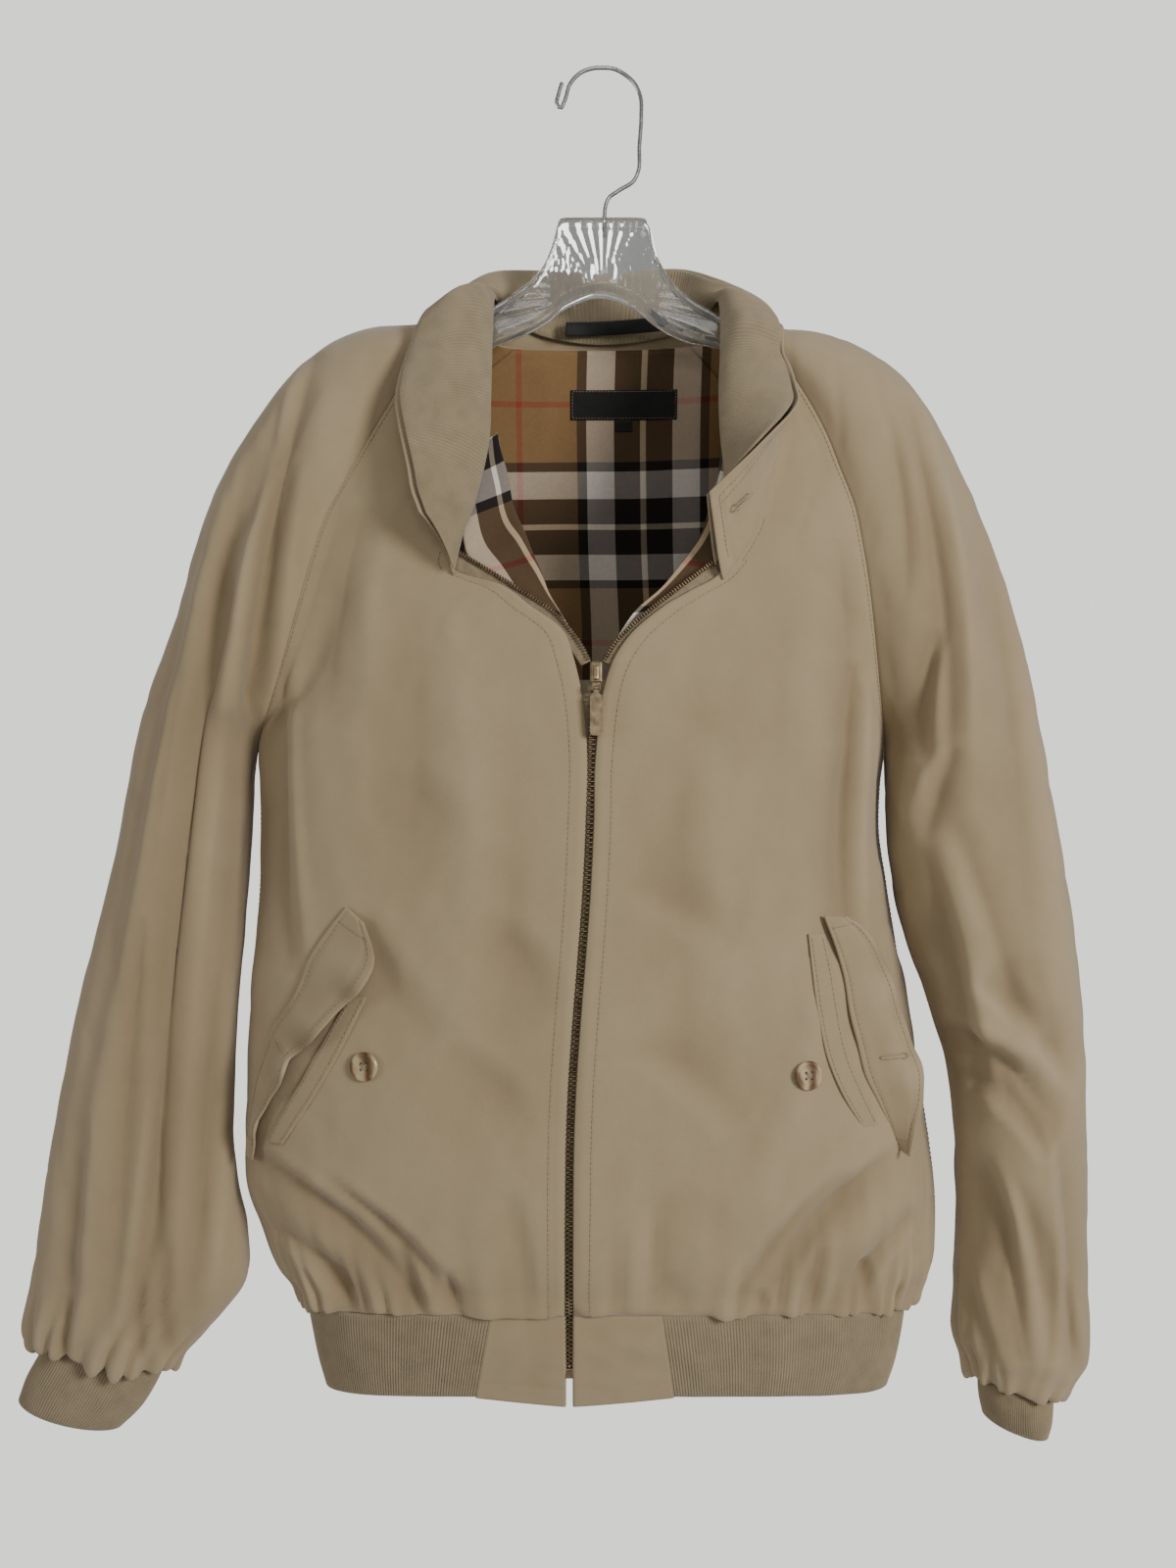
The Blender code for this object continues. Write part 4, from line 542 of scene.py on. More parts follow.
def resample(path: Array, pitch: float, values: Array | None = None) -> Array:
    """Points an equal `pitch` apart along a path.

    Args:
        path: Points of the path, mm.
        pitch: Spacing, mm.
        values: Vectors at the path's points, if they are wanted in place of the points.
    Returns:
        The points or vectors.
    """
    run = run_along(path)
    at = np.arange(pitch / 2, run[-1], pitch)
    given = path if values is None else values
    return np.stack([np.interp(at, run, given[:, i]) for i in range(3)], -1)


def rib_wave(run: float, cols: int) -> Array:
    """Rounded cosine of a rib-knit band's ribs.

    Args:
        run: Length of the band, mm.
        cols: How many points there are along it.
    Returns:
        The wave at each point, from -1 to 1.
    """
    wave = np.cos(2 * pi * round(run / RIB_PITCH) * np.linspace(0, 1, cols))
    return np.sign(wave) * np.abs(wave) ** 0.7


def shut_row(rows: int) -> int:
    """Row at which a sleeve of `rows` rows becomes a tube."""
    return int(round(CROTCH / (len(SLEEVE_LEFT) - 1) * (rows - 1)))


def keyhole(half: float, flip: int, eye: float, slot: float, neck: float) -> tuple[Array, Array]:
    """Outline of a keyhole buttonhole: a long loop that widens to an eye at one end.

    Args:
        half: Half its length, mm.
        flip: 1 or -1, the end the eye is at.
        eye: Half width of the eye.
        slot: Half width of the slot.
        neck: Where the eye begins, from the middle.
    Returns:
        Places along and across.
    """
    t = np.linspace(0, 2 * pi, 60)
    along = np.sign(np.cos(t)) * np.abs(np.cos(t)) ** 0.6 * half
    return along, np.sin(t) * np.where(along * flip > neck, eye, slot)


# ------------------------------------------------------------------- meshes


def make_object(name: str, points: Array, faces: Array | list, mats: Sequence, index: Array | None = None,
                uv: Array | None = None, flat: bool = False, wear_and_shade: Array | None = None) -> Object:
    """One object at the origin from millimetre points.

    Args:
        name: Piece name.
        points: Vertices, mm.
        faces: Quads as an array, or a list of polygons.
        mats: Materials of its slots.
        index: Slot of each face.
        uv: One metric (u, v) for each vertex, m.
        flat: Whether faces are shaded flat.
        wear_and_shade: Painted wear and shade of each vertex: positive on paler ridges, negative for painted
            shade.
    Returns:
        The linked object.
    """
    mesh = bpy.data.meshes.new(name)
    listed = faces.tolist() if isinstance(faces, np.ndarray) else faces
    mesh.from_pydata((np.asarray(points) * MM).tolist(), [], listed)
    for mat in mats:
        mesh.materials.append(mat)
    if index is not None:
        mesh.polygons.foreach_set("material_index", np.asarray(index, dtype=np.int32))
    mesh.polygons.foreach_set("use_smooth", np.full(len(mesh.polygons), not flat))
    if uv is not None:
        layer = mesh.uv_layers.new(name="cloth")
        loops = np.zeros(len(mesh.loops), dtype=np.int32)
        mesh.loops.foreach_get("vertex_index", loops)
        layer.data.foreach_set("uv", np.asarray(uv)[loops].astype(np.float32).ravel())
    layer = mesh.attributes.new("wear_and_shade", "FLOAT", "POINT")
    value = np.zeros(len(mesh.vertices)) if wear_and_shade is None else np.asarray(wear_and_shade)
    layer.data.foreach_set("value", value.astype(np.float32).ravel())
    mesh.update()
    made = bpy.data.objects.new(name, mesh)
    bpy.context.scene.collection.objects.link(made)
    return made


def metric_uv(grid: Array) -> Array:
    """Arc lengths along columns and rows of a grid, in metres."""
    across = np.linalg.norm(np.diff(grid, axis=1), axis=-1)
    down = np.linalg.norm(np.diff(grid, axis=0), axis=-1)
    u = np.concatenate([np.zeros((len(grid), 1)), np.cumsum(across, 1)], 1)
    v = np.concatenate([np.zeros((1, grid.shape[1])), np.cumsum(down, 0)], 0)
    return np.stack([u - u.mean(1, keepdims=True), v], -1) * MM


def wall(name: str, outer: Array, inner: Array, mats: Sequence, closed_from: int | None = None,
         bulge: float = 0.9, wear_and_shade: Array | None = None) -> Object:
    """A cloth wall between two equal grids, with edges rounded by a middle line that stands `bulge` proud.

    Faces run between neighbouring grid points on both grids; around the border each edge has two strips,
    outer to middle and middle to inner.  Columns meet from row `closed_from` down.

    Args:
        name: Piece name.
        outer: Outer grid.
        inner: Inner grid.
        mats: Outer and, if two, inner material.
        closed_from: First row whose last column is its first.
        bulge: Height of the rounded edge, mm.
        wear_and_shade: Painted wear and shade of each grid point: positive on paler ridges, negative for
            painted shade.
    Returns:
        The linked object.
    """
    rows, cols = outer.shape[:2]
    size = rows * cols
    number = np.arange(size).reshape(rows, cols)
    k = rows if closed_from is None else closed_from
    number[k:, -1] = number[k:, 0]
    a, b, d, e = number[:-1, :-1], number[:-1, 1:], number[1:, 1:], number[1:, :-1]
    front = np.stack([a, b, d, e], -1).reshape(-1, 4)
    behind = np.stack([a, e, d, b], -1).reshape(-1, 4) + size
    out = np.zeros_like(outer)
    out[0] += unit(outer[0] - outer[1])
    out[-1] += unit(outer[-1] - outer[-2])
    out[:k, 0] += unit(outer[:k, 0] - outer[:k, 1])
    out[:k, -1] += unit(outer[:k, -1] - outer[:k, -2])
    middle = (outer + inner) / 2 + unit(out) * bulge
    rims = []
    for line, flip in ((number[0], True), (number[-1], False), (number[:min(k, rows - 1) + 1, 0], False),
                       (number[:min(k, rows - 1) + 1, -1], True)):
        if len(line) < 2:
            continue
        p, q = line[:-1], line[1:]
        for lift, drop in ((0, 2 * size), (2 * size, size)):
            quad = np.stack([p + lift, q + lift, q + drop, p + drop], -1)
            rims.append(quad[:, ::-1] if flip else quad)
    faces = np.concatenate([front, behind, *rims])
    middle[k:, -1] = middle[k:, 0]
    points = np.concatenate([outer.reshape(-1, 3), inner.reshape(-1, 3), middle.reshape(-1, 3)])
    p = points[front[:: max(1, len(front) // 4000)]]
    facing = np.cross(p[:, 2] - p[:, 0], p[:, 3] - p[:, 1])
    way = (outer - inner).reshape(-1, 3)[front[:: max(1, len(front) // 4000)][:, 0]]
    if np.sum(facing * way) < 0:
        faces = faces[:, ::-1]
    index = np.zeros(len(faces), dtype=np.int32)
    if len(mats) > 1:
        index[len(front): len(front) + len(behind)] = 1
    used, back = np.unique(faces, return_inverse=True)
    uv = metric_uv(outer).reshape(-1, 2)
    tone = np.zeros(size) if wear_and_shade is None else wear_and_shade.ravel()
    return make_object(name, points[used], back.reshape(-1, 4), mats, index, np.tile(uv, (3, 1))[used],
                       wear_and_shade=np.tile(tone, 3)[used])


def scatter(name: str, shape: Array, faces: Array, places: Array, frames: Array, mat: Material,
            flat: bool = False) -> Object:
    """One joined mesh of a small shape put at many places.

    Args:
        name: Piece name.
        shape: The small shape's vertices, mm.
        faces: Its quads.
        places: Where each copy stands.
        frames: Three axes for each copy, (n, 3, 3), one axis a row.
        mat: Its material.
        flat: Whether faces are shaded flat.
    Returns:
        The linked object.
    """
    points = places[:, None] + np.einsum("vi,nij->nvj", shape, frames)
    total = (faces[None] + (np.arange(len(places)) * len(shape))[:, None, None]).reshape(-1, 4)
    return make_object(name, points.reshape(-1, 3), total, [mat], flat=flat)


def pill(length: float, width: float, height: float) -> tuple[Array, Array]:
    """A stitch: four rings of six points along x, small at both ends, flat below.

    Args:
        length: Along x, mm.
        width: Along y.
        height: Along z.
    Returns:
        Vertices and quads.
    """
    xs = np.array([-0.5, -0.32, 0.32, 0.5]) * length
    size = np.array([0.35, 1.0, 1.0, 0.35])
    a = np.arange(6) * pi / 3
    ring = np.stack([np.cos(a) * width / 2, np.sin(a) * height / 2], -1)
    points = np.concatenate([np.repeat(xs, 6)[:, None], (size[:, None, None] * ring[None]).reshape(-1, 2)], 1)
    c = np.arange(6)
    d = (c + 1) % 6
    sides = [np.stack([r * 6 + c, r * 6 + d, r * 6 + 6 + d, r * 6 + 6 + c], -1)[:, ::-1] for r in range(3)]
    caps = np.array([[0, 1, 2, 3], [0, 3, 4, 5], [21, 20, 19, 18], [18, 23, 22, 21]])
    return points, np.concatenate([np.concatenate(sides)[:, ::-1], caps[:, ::-1]])


def tooth_shape(size: Sequence[float], edge: float) -> tuple[Array, Array]:
    """A small block whose top is drawn in by `edge`: three rings of four points along z.

    Args:
        size: Length along x, width along y, height along z, mm.
        edge: How much the top ring is drawn in.
    Returns:
        Vertices and quads.
    """
    square = np.array([(-1, -1), (1, -1), (1, 1), (-1, 1)]) * 0.5
    rings = []
    for z, draw in ((-0.5, 0.0), (0.2, 0.0), (0.5, edge)):
        plane = square * (size[0] - 2 * draw, size[1] - 2 * draw)
        rings.append(np.concatenate([plane, np.full((4, 1), z * size[2])], 1))
    c = np.arange(4)
    d = (c + 1) % 4
    sides = [np.stack([r * 4 + c, r * 4 + d, r * 4 + 4 + d, r * 4 + 4 + c], -1) for r in range(2)]
    caps = np.array([[3, 2, 1, 0], [8, 9, 10, 11]])
    return np.concatenate(rings), np.concatenate([*sides, caps])


# ------------------------------------------------------------------- block


@dataclass
class Form:
    """Coarse grids of one cloth piece: its surface, normals, outer and inner side, and seam directions.

    A sleeve also has its side, -1 for the left and 1 for the right, and the centre of each ring.
    """

    grid: Array
    normal: Array
    side: int = 0
    centre: Array | None = None
    outer: Array | None = None
    inner: Array | None = None
    seams: dict[int, tuple[Array, Array]] = field(default_factory=dict)
    sides: dict[int, Array] = field(default_factory=dict)


@dataclass
class Half:
    """Virtual half-width of the trunk's section on one side, as a curve down z."""

    z: Array
    w: Array
    y: Array
    side: int

    def at(self, z: Array) -> tuple[Array, Array]:
        """Half-width and y of the side at height z."""
        return smooth(z, self.z, self.w), smooth(z, self.z, self.y)


def folds(name: str, rows: int, cols: int) -> Array:
    """Depth of the solid's own folds: a bell across each fold's line, fading to its ends.

    Args:
        name: Which piece.
        rows: Rows of its grid.
        cols: Columns of its grid.
    Returns:
        Depth in mm at each grid point, negative inward.
    """
    v, u = np.meshgrid(np.linspace(0, 1, rows), np.linspace(0, 1, cols), indexing="ij")
    total = np.zeros((rows, cols))
    for u0, v0, u1, v1, half, depth in FOLDS.get(name, ()):
        along = np.clip((v - v0) / (v1 - v0), 0, 1)
        total += depth * np.sin(pi * along) ** 0.5 * np.exp(-((u - u0 - (u1 - u0) * along) / half) ** 2)
    return total


def trunk_depth(z: Array, name: str) -> Array:
    """Depth of the front or back at height z."""
    zs = np.concatenate([column(YOKE, YOKE_COLUMNS, "z"), column(TRUNK, TRUNK_COLUMNS, "z")])
    ds = np.concatenate([column(YOKE, YOKE_COLUMNS, name), column(TRUNK, TRUNK_COLUMNS, name)])
    return smooth(z, zs, ds)


class GarmentBlock:
    """The jacket's block: sleeves from rings, fronts and back from squared sections that meet them."""

    def __init__(self) -> None:
        """Works out every coarse grid."""
        self.sleeves = {"left": self._sleeve("left", SLEEVE_LEFT, -1, (24, 0, 12)),
                        "right": self._sleeve("right", SLEEVE_RIGHT, 1, (-26, 0, 14))}
        self.halves = {(t, w): self._half(t, w) for t in ("left", "right") for w in ("front", "back")}
        self.panels = {"front_left": self._folded("front_left", self._front("left", FRONT_LEFT)),
                       "front_right": self._folded("front_right", self._front("right", FRONT_RIGHT)),
                       "back": self._folded("back", self._back())}
        self._seam_directions()
        self._sides()

    def _sleeve(self, tag: str, rows: Table, side: int, skew: Sequence[float]) -> Form:
        """Rings of one sleeve: half an ellipse each way from the over-arm point.

        The lateral half-axis runs from the centre to the over-arm point and the other is the depth.  Above
        the underarm a ring stops at 90 degrees plus the opening on each side.

        Args:
            tag: "left" or "right".
            rows: The sleeve's table.
            side: -1 for the left, 1 for the right.
            skew: How far the neck end of the back seam is moved, mm.
        Returns:
            Its surface and normals.
        """
        get = lambda n: column(rows, SLEEVE_COLUMNS, n)
        over = np.stack([get("ox"), 0 * get("ox"), get("oz")], -1)
        front = np.stack([get("fx"), 0 * get("fx"), get("fz")], -1)
        bf, bb = np.radians(90 + get("gf")), np.radians(90 + get("gb"))
        lateral = (over - front) / (1 - np.cos(bf))[:, None]
        centre = over - lateral
        centre[:, 1] = get("cy")
        s = np.linspace(-1, 1, 2 * (SLEEVE_COLS // 2) + 1)
        angle = np.where(s[None] < 0, s[None] * bf[:, None], s[None] * bb[:, None])
        grid = (centre[:, None] + lateral[:, None] * np.cos(angle)[..., None]
                + np.array([0, 1.0, 0]) * (get("depth")[:, None] * np.sin(angle))[..., None])
        fade = np.clip(1 - np.arange(len(rows)) / 6, 0, 1)[:, None, None] ** 2
        grid = grid + fade * np.clip(s, 0, 1)[None, :, None] ** 2 * np.array(skew)
        out = unit(grid - centre[:, None])
        n = normals(grid, out)
        n[CROTCH:, 0] = n[CROTCH:, -1] = unit(n[CROTCH:, 0] + n[CROTCH:, -1])
        edge = np.ones(grid.shape[1])
        edge[[0, 1, -2, -1]] = (0, 0.5, 0.5, 0)
        edges = np.ones((grid.shape[0], 1)) * edge
        edges[CROTCH + 2:] = 1
        grid = grid + n * (folds("sleeve_" + tag, *grid.shape[:2]) * edges)[..., None]
        return Form(grid, normals(grid, out), side, centre)

    def _half(self, tag: str, which: str) -> Half:
        """Half-width curve that makes the trunk's section pass through the raglan seam.

        Args:
            tag: "left" or "right".
            which: "front" or "back".
        Returns:
            The curve.
        """
        form = self.sleeves[tag]
        seam = form.grid[: CROTCH + 1, 0 if which == "front" else -1]
        ys = form.centre[: CROTCH + 1, 1]
        sign = -1 if which == "front" else 1
        q = np.clip((seam[:, 1] - ys) * sign / (trunk_depth(seam[:, 2], which) - ys * sign), 0, 0.98)
        width = np.abs(seam[:, 0] - CENTRE_X) / (1 - q**POWER) ** (1 / POWER)
        keep = np.argsort(-seam[:, 2])
        side = "left" if form.side < 0 else "right"
        extent = np.abs(column(TRUNK, TRUNK_COLUMNS, side) - CENTRE_X)
        return Half(np.concatenate([seam[keep, 2], column(TRUNK, TRUNK_COLUMNS, "z")]),
                    np.concatenate([width[keep], extent]),
                    np.concatenate([ys[keep], column(TRUNK, TRUNK_COLUMNS, "y" + side[0])]), form.side)

    @staticmethod
    def _section(half: Half, which: str, psi: Array, z: Array) -> Array:
        """Trunk points: x is width times sin to the 2/p, y is depth times cos to the 2/p, from the side's y.

        Args:
            half: The side's half-width curve.
            which: "front" or "back".
            psi: Section angle, 0 in the middle.
            z: Height.
        Returns:
            The points.
        """
        w, ys = half.at(z)
        sign = -1 if which == "front" else 1
        depth = trunk_depth(z, which)
        s, c = np.sin(psi), np.cos(psi)
        x = CENTRE_X + half.side * w * np.sign(s) * np.abs(s) ** (2 / POWER)
        y = ys + sign * (depth - ys * sign) * np.abs(c) ** (2 / POWER)
        return np.stack([x, y, z + 0 * x], -1)

    @staticmethod
    def _psi(half: Half, x: Array, z: Array) -> Array:
        """Section angle of a given x at height z."""
        t = np.clip((x - CENTRE_X) * half.side / half.at(z)[0], -1, 1)
        return np.arcsin(np.sign(t) * np.abs(t) ** (POWER / 2))

    def _front(self, tag: str, table: Table) -> Array:
        """Grid of one front, zip edge to raglan and side seam; lower rows fall by sin squared.

        Args:
            tag: "left" or "right".
            table: Its zip edge.
        Returns:
            The grid.
        """
        half, seam = self.halves[tag, "front"], self.sleeves[tag].grid[: CROTCH + 1, 0]
        ex, ez = column(table, FRONT_COLUMNS, "ex"), column(table, FRONT_COLUMNS, "ez")
        line = smooth(ez, column(ZIP, ZIP_COLUMNS, "z"), column(ZIP, ZIP_COLUMNS, "x"))
        ex = np.where(ez < -450, line + half.side * 3.1, ex)
        sz = np.concatenate([seam[:, 2], SIDE_Z])
        end = np.concatenate([self._psi(half, seam[:, 0], seam[:, 2]), np.full(len(SIDE_Z), pi / 2)])
        end[CROTCH] = pi / 2
        start = self._psi(half, ex, ez)
        t = np.linspace(0, 1, FRONT_COLS)[None, :]
        lower = np.clip((np.arange(len(sz)) - CROTCH) / (len(sz) - 1 - CROTCH), 0, 1)[:, None]
        z = ez[:, None] + (sz - ez)[:, None] * (t * (1 - lower) + np.sin(pi / 2 * t) ** 2 * lower)
        grid = self._section(half, "front", start[:, None] + (end - start)[:, None] * t, z)
        grid[: CROTCH + 1, -1] = seam
        return grid

    def _back(self) -> Array:
        """Grid of the back, left side to right side."""
        left, right = (self.sleeves[t].grid[: CROTCH + 1, -1] for t in ("left", "right"))
        zl, zr = np.concatenate([left[:, 2], SIDE_Z]), np.concatenate([right[:, 2], SIDE_Z])
        zc = (zl + zr) / 2 + 3 + 7 * np.clip((np.arange(len(zl)) - CROTCH) / 13, 0, 1)
        zc[0], zc[1], zc[2] = -176, min(zc[1], -192), min(zc[2], -208)
        t = np.linspace(-1, 1, BACK_COLS)
        parts = []
        for tag, seam, ze, pick in (("left", left, zl, t < 0), ("right", right, zr, t >= 0)):
            half = self.halves[tag, "back"]
            e = np.concatenate([self._psi(half, seam[:, 0], seam[:, 2]), np.full(len(SIDE_Z), pi / 2)])
            e[CROTCH] = pi / 2
            f = np.abs(t[pick])[None, :]
            z = zc[:, None] + (ze - zc)[:, None] * np.sin(pi / 2 * f) ** 2
            parts.append(self._section(half, "back", e[:, None] * f, z))
        grid = np.concatenate(parts, axis=1)
        grid[: CROTCH + 1, 0], grid[: CROTCH + 1, -1] = left, right
        return grid

    @staticmethod
    def _folded(name: str, grid: Array) -> Form:
        """A panel with its folds pushed in along its normals, none at its edges."""
        mid = np.zeros_like(grid)
        mid[..., 0], mid[..., 2] = CENTRE_X, grid[..., 2]
        edge = np.ones(grid.shape[1])
        edge[[0, -1]] = 0
        edge[[1, -2]] = 0.6
        grid = grid + normals(grid, grid - mid) * (folds(name, *grid.shape[:2]) * edge)[..., None]
        return Form(grid, normals(grid, grid - mid))

    def _seam_directions(self) -> None:
        """One inward and one across direction for all the pieces that meet at a seam."""
        k = slice(0, CROTCH + 1)
        w = np.clip((np.arange(CROTCH + 1) - 7.5) / 3.5, 0, 1)[:, None]
        for tag, side in (("left", -1), ("right", 1)):
            sleeve, front, back = self.sleeves[tag], self.panels["front_" + tag], self.panels["back"]
            edge = 0 if side < 0 else -1
            for col, panel, pcol in ((0, front, -1), (-1, back, edge)):
                n = unit(sleeve.normal[k, col] + panel.normal[k, pcol])
                inward = unit(-n * (1 - w) + np.array([0, 0, 1.0]) * w)
                across = np.cross(unit(np.gradient(sleeve.grid[k, col], axis=0)), inward)
                across = unit(np.where((across[:, 0] * side < 0)[:, None], -across, across))
                across[-1] = (2 * side, 0, 0)
                inward = unit(inward - unit(across) * np.sum(inward * unit(across), -1, keepdims=True))
                sleeve.seams[col] = panel.seams[pcol] = (inward, across)
            side_n = unit(front.normal[CROTCH + 1:, -1] + back.normal[CROTCH + 1:, edge])
            front.sides[-1], back.sides[edge] = side_n, side_n

    def _sides(self) -> None:
        """Outer and inner grids: a wall's thickness in along the normals, half a seam apart at the seams."""
        k, lower = slice(0, CROTCH + 1), slice(CROTCH + 1, None)
        for form in self.sleeves.values():
            outer, n = form.grid.copy(), form.normal.copy()
            n[CROTCH:, 0] = n[CROTCH:, -1] = unit(n[CROTCH:, 0] + n[CROTCH:, -1])
            inner = outer - n * WALL
            for col in (0, -1):
                inward, across = form.seams[col]
                outer[k, col] += across * SEAM / 2
                inner[k, col] = outer[k, col] + inward * WALL
            outer[CROTCH, -1], inner[CROTCH, -1] = outer[CROTCH, 0], inner[CROTCH, 0]
            form.outer, form.inner = outer, inner
        for name, form in self.panels.items():
            outer = form.grid.copy()
            inner = outer - form.normal * WALL
            pull = -1 if name != "back" else 1
            for col in form.sides:
                inward, across = form.seams[col]
                outer[k, col] -= across * SEAM / 2
                outer[CROTCH, col, 1] += pull * SEAM
                inner[k, col] = outer[k, col] + inward * WALL
                outer[lower, col, 1] += pull * SEAM
                inner[lower, col] = outer[lower, col] - form.sides[col] * [1, 0, 1] * WALL
            form.outer, form.inner = outer, inner

    def surface(self, x: Array, z: Array, which: str) -> Array:
        """Depth y of the unfolded front or back at (x, z).

        Args:
            x: Across.
            z: Height.
            which: "front" or "back".
        Returns:
            The depth at each point.
        """
        x, z = np.asarray(x, float), np.asarray(z, float)
        sign = -1 if which == "front" else 1
        y = np.zeros(np.broadcast(x, z).shape)
        for tag, pick in (("left", x < CENTRE_X), ("right", x >= CENTRE_X)):
            w, ys = self.halves[tag, which].at(z)
            t = np.clip(np.abs(x - CENTRE_X) / w, 0, 0.985)
            depth = trunk_depth(z, which)
            y = np.where(pick, ys + sign * (depth - sign * ys) * (1 - t**POWER) ** (1 / POWER), y)
        return y

    def front_at(self, x: Array, z: Array, off: Array | float) -> Array:
        """Points standing `off` in front of the shell at (x, z)."""
        x, z = np.broadcast_arrays(np.asarray(x, float), np.asarray(z, float))
        return np.stack([x, self.surface(x, z, "front") - off, z], -1)


def hem_point(frac: Array, angle: Array) -> Array:
    """Point of the hem band, a squared ring.

    Args:
        frac: Share of its fall.
        angle: Angle from the front centre, left negative.
    Returns:
        The points.
    """
    fall = column(HEM, HEM_COLUMNS, "fall")
    take = lambda n: smooth(frac * fall[-1], fall, column(HEM, HEM_COLUMNS, n))
    w = np.where(angle < 0, CENTRE_X - take("left"), take("right") - CENTRE_X)
    c, s = np.cos(angle), np.sin(np.abs(angle))
    d = np.where(c > 0, take("front"), take("back"))
    x = CENTRE_X + np.sign(angle) * w * s ** (2 / POWER)
    y = 2 - np.sign(c) * (d + np.where(c > 0, 2, -2)) * np.abs(c) ** (2 / POWER)
    return np.stack([x, y, HEM_TOP - HEM_DROP * s**2 - frac * fall[-1] + 0 * x], -1)


def hem_angle(x: float, frac: float) -> float:
    """Angle at which the band's front reaches x."""
    grid = np.linspace(-pi / 2, pi / 2, 721)
    return float(np.interp(x, hem_point(np.full(721, frac), grid)[:, 0], grid))


def zip_line(z: Array) -> Array:
    """The closed zip's middle at height z: level with the fronts, then with the hem tabs."""
    hem = hem_point(np.clip((HEM_TOP - z) / HEM_FALL, 0, 1), np.zeros_like(z))[:, 1]
    y = np.where(z > -812, -trunk_depth(z, "front"), hem)
    x = smooth(z, column(ZIP, ZIP_COLUMNS, "z"), column(ZIP, ZIP_COLUMNS, "x"))
    return np.stack([x, y, z], -1)


# ------------------------------------------------------------------- finishes


def linear(red: int, green: int, blue: int) -> tuple[float, float, float, float]:
    """Linear colour of three screen values from 0 to 255."""
    c = np.array([red, green, blue]) / 255.0
    c = np.where(c <= 0.04045, c / 12.92, ((c + 0.055) / 1.055) ** 2.4)
    return (float(c[0]), float(c[1]), float(c[2]), 1.0)


class Nodes:
    """A material's node tree, with short ways to add and join nodes."""

    def __init__(self, name: str) -> None:
        """Starts a material with a Principled shader."""
        self.material = bpy.data.materials.new(name)
        self.material.use_nodes = True
        self.tree = self.material.node_tree
        self.shader = self.tree.nodes["Principled BSDF"]

    @cached_property
    def place(self) -> Socket:
        """Object coordinates."""
        return self.add("TexCoord").outputs["Object"]

    @cached_property
    def cloth(self) -> Socket:
        """The piece's own metric coordinates along the cloth."""
        return self.add("UVMap", uv_map="cloth").outputs[0]

    @cached_property
    def worn_and_shaded(self) -> Socket:
        """The piece's painted wear and shade: positive on paler ridges, negative for painted shade in
        hollows.
        """
        return self.add("Attribute", attribute_name="wear_and_shade").outputs["Fac"]

    def add(self, kind: str, **values: object) -> bpy.types.Node:
        """A new node.

        Args:
            kind: Its type, after ShaderNode.
            values: Capitalised names set sockets (underscores for spaces), others set properties.
        Returns:
            The node.
        """
        node = self.tree.nodes.new("ShaderNode" + kind)
        for key, value in values.items():
            if key[0].isupper():
                node.inputs[key.replace("_", " ")].default_value = value
            else:
                setattr(node, key, value)
        return node

    def join(self, source: Socket, target: Socket) -> None:
        """Links two sockets."""
        self.tree.links.new(source, target)

    def maths(self, kind: str, a: object, b: object = 0.0) -> Socket:
        """Result of a Math node on two sockets or numbers.

        Args:
            kind: Its operation.
            a: First socket or number.
            b: Second socket or number.
        Returns:
            The result's socket.
        """
        node = self.add("Math", operation=kind)
        for i, value in enumerate((a, b)):
            if isinstance(value, (int, float)):
                node.inputs[i].default_value = value
            else:
                self.join(value, node.inputs[i])
        return node.outputs[0]

    def scaled(self, source: Socket, share: float, floor: float) -> Socket:
        """A socket times a share, plus a floor."""
        return self.maths("ADD", self.maths("MULTIPLY", source, share), floor)

    def ramp(self, source: Socket, stops: Sequence, constant: bool = False) -> Socket:
        """Colour ramp on a socket.

        Args:
            source: Where on the ramp.
            stops: Its (place, linear colour) pairs.
            constant: Whether colours change in steps.
        Returns:
            The colour's socket.
        """
        node = self.add("ValToRGB")
        node.color_ramp.interpolation = "CONSTANT" if constant else "LINEAR"
        while len(node.color_ramp.elements) < len(stops):
            node.color_ramp.elements.new(1.0)
        for element, (place, colour) in zip(node.color_ramp.elements, stops):
            element.position, element.color = place, colour
        self.join(source, node.inputs[0])
        return node.outputs[0]

    def noise(self, where: Socket, scale: float, detail: float = 3.0) -> Socket:
        """Noise texture on given coordinates."""
        node = self.add("TexNoise", Scale=scale, Detail=detail)
        self.join(where, node.inputs["Vector"])
        return node.outputs[0]

    def paint(self, source: Socket, *stops: tuple[float, Shade]) -> None:
        """Base colour from a ramp of (place, screen colour) stops on a socket."""
        tone = self.ramp(source, [(at, linear(*shade)) for at, shade in stops])
        self.join(tone, self.shader.inputs["Base Color"])

    def roughen(self, scale: float, share: float, floor: float) -> None:
        """Uneven roughness: noise of a scale times a share, plus a floor."""
        self.join(self.scaled(self.noise(self.place, scale), share, floor), self.shader.inputs["Roughness"])

    def bump(self, height: Socket, strength: float, distance: float) -> None:
        """Bump on the shader's normal."""
        node = self.add("Bump", Strength=strength, Distance=distance)
        self.join(height, node.inputs["Height"])
        self.join(node.outputs[0], self.shader.inputs["Normal"])

    def set(self, **values: float) -> None:
        """Sets the shader's own sockets."""
        for key, value in values.items():
            self.shader.inputs[key.replace("_", " ")].default_value = value


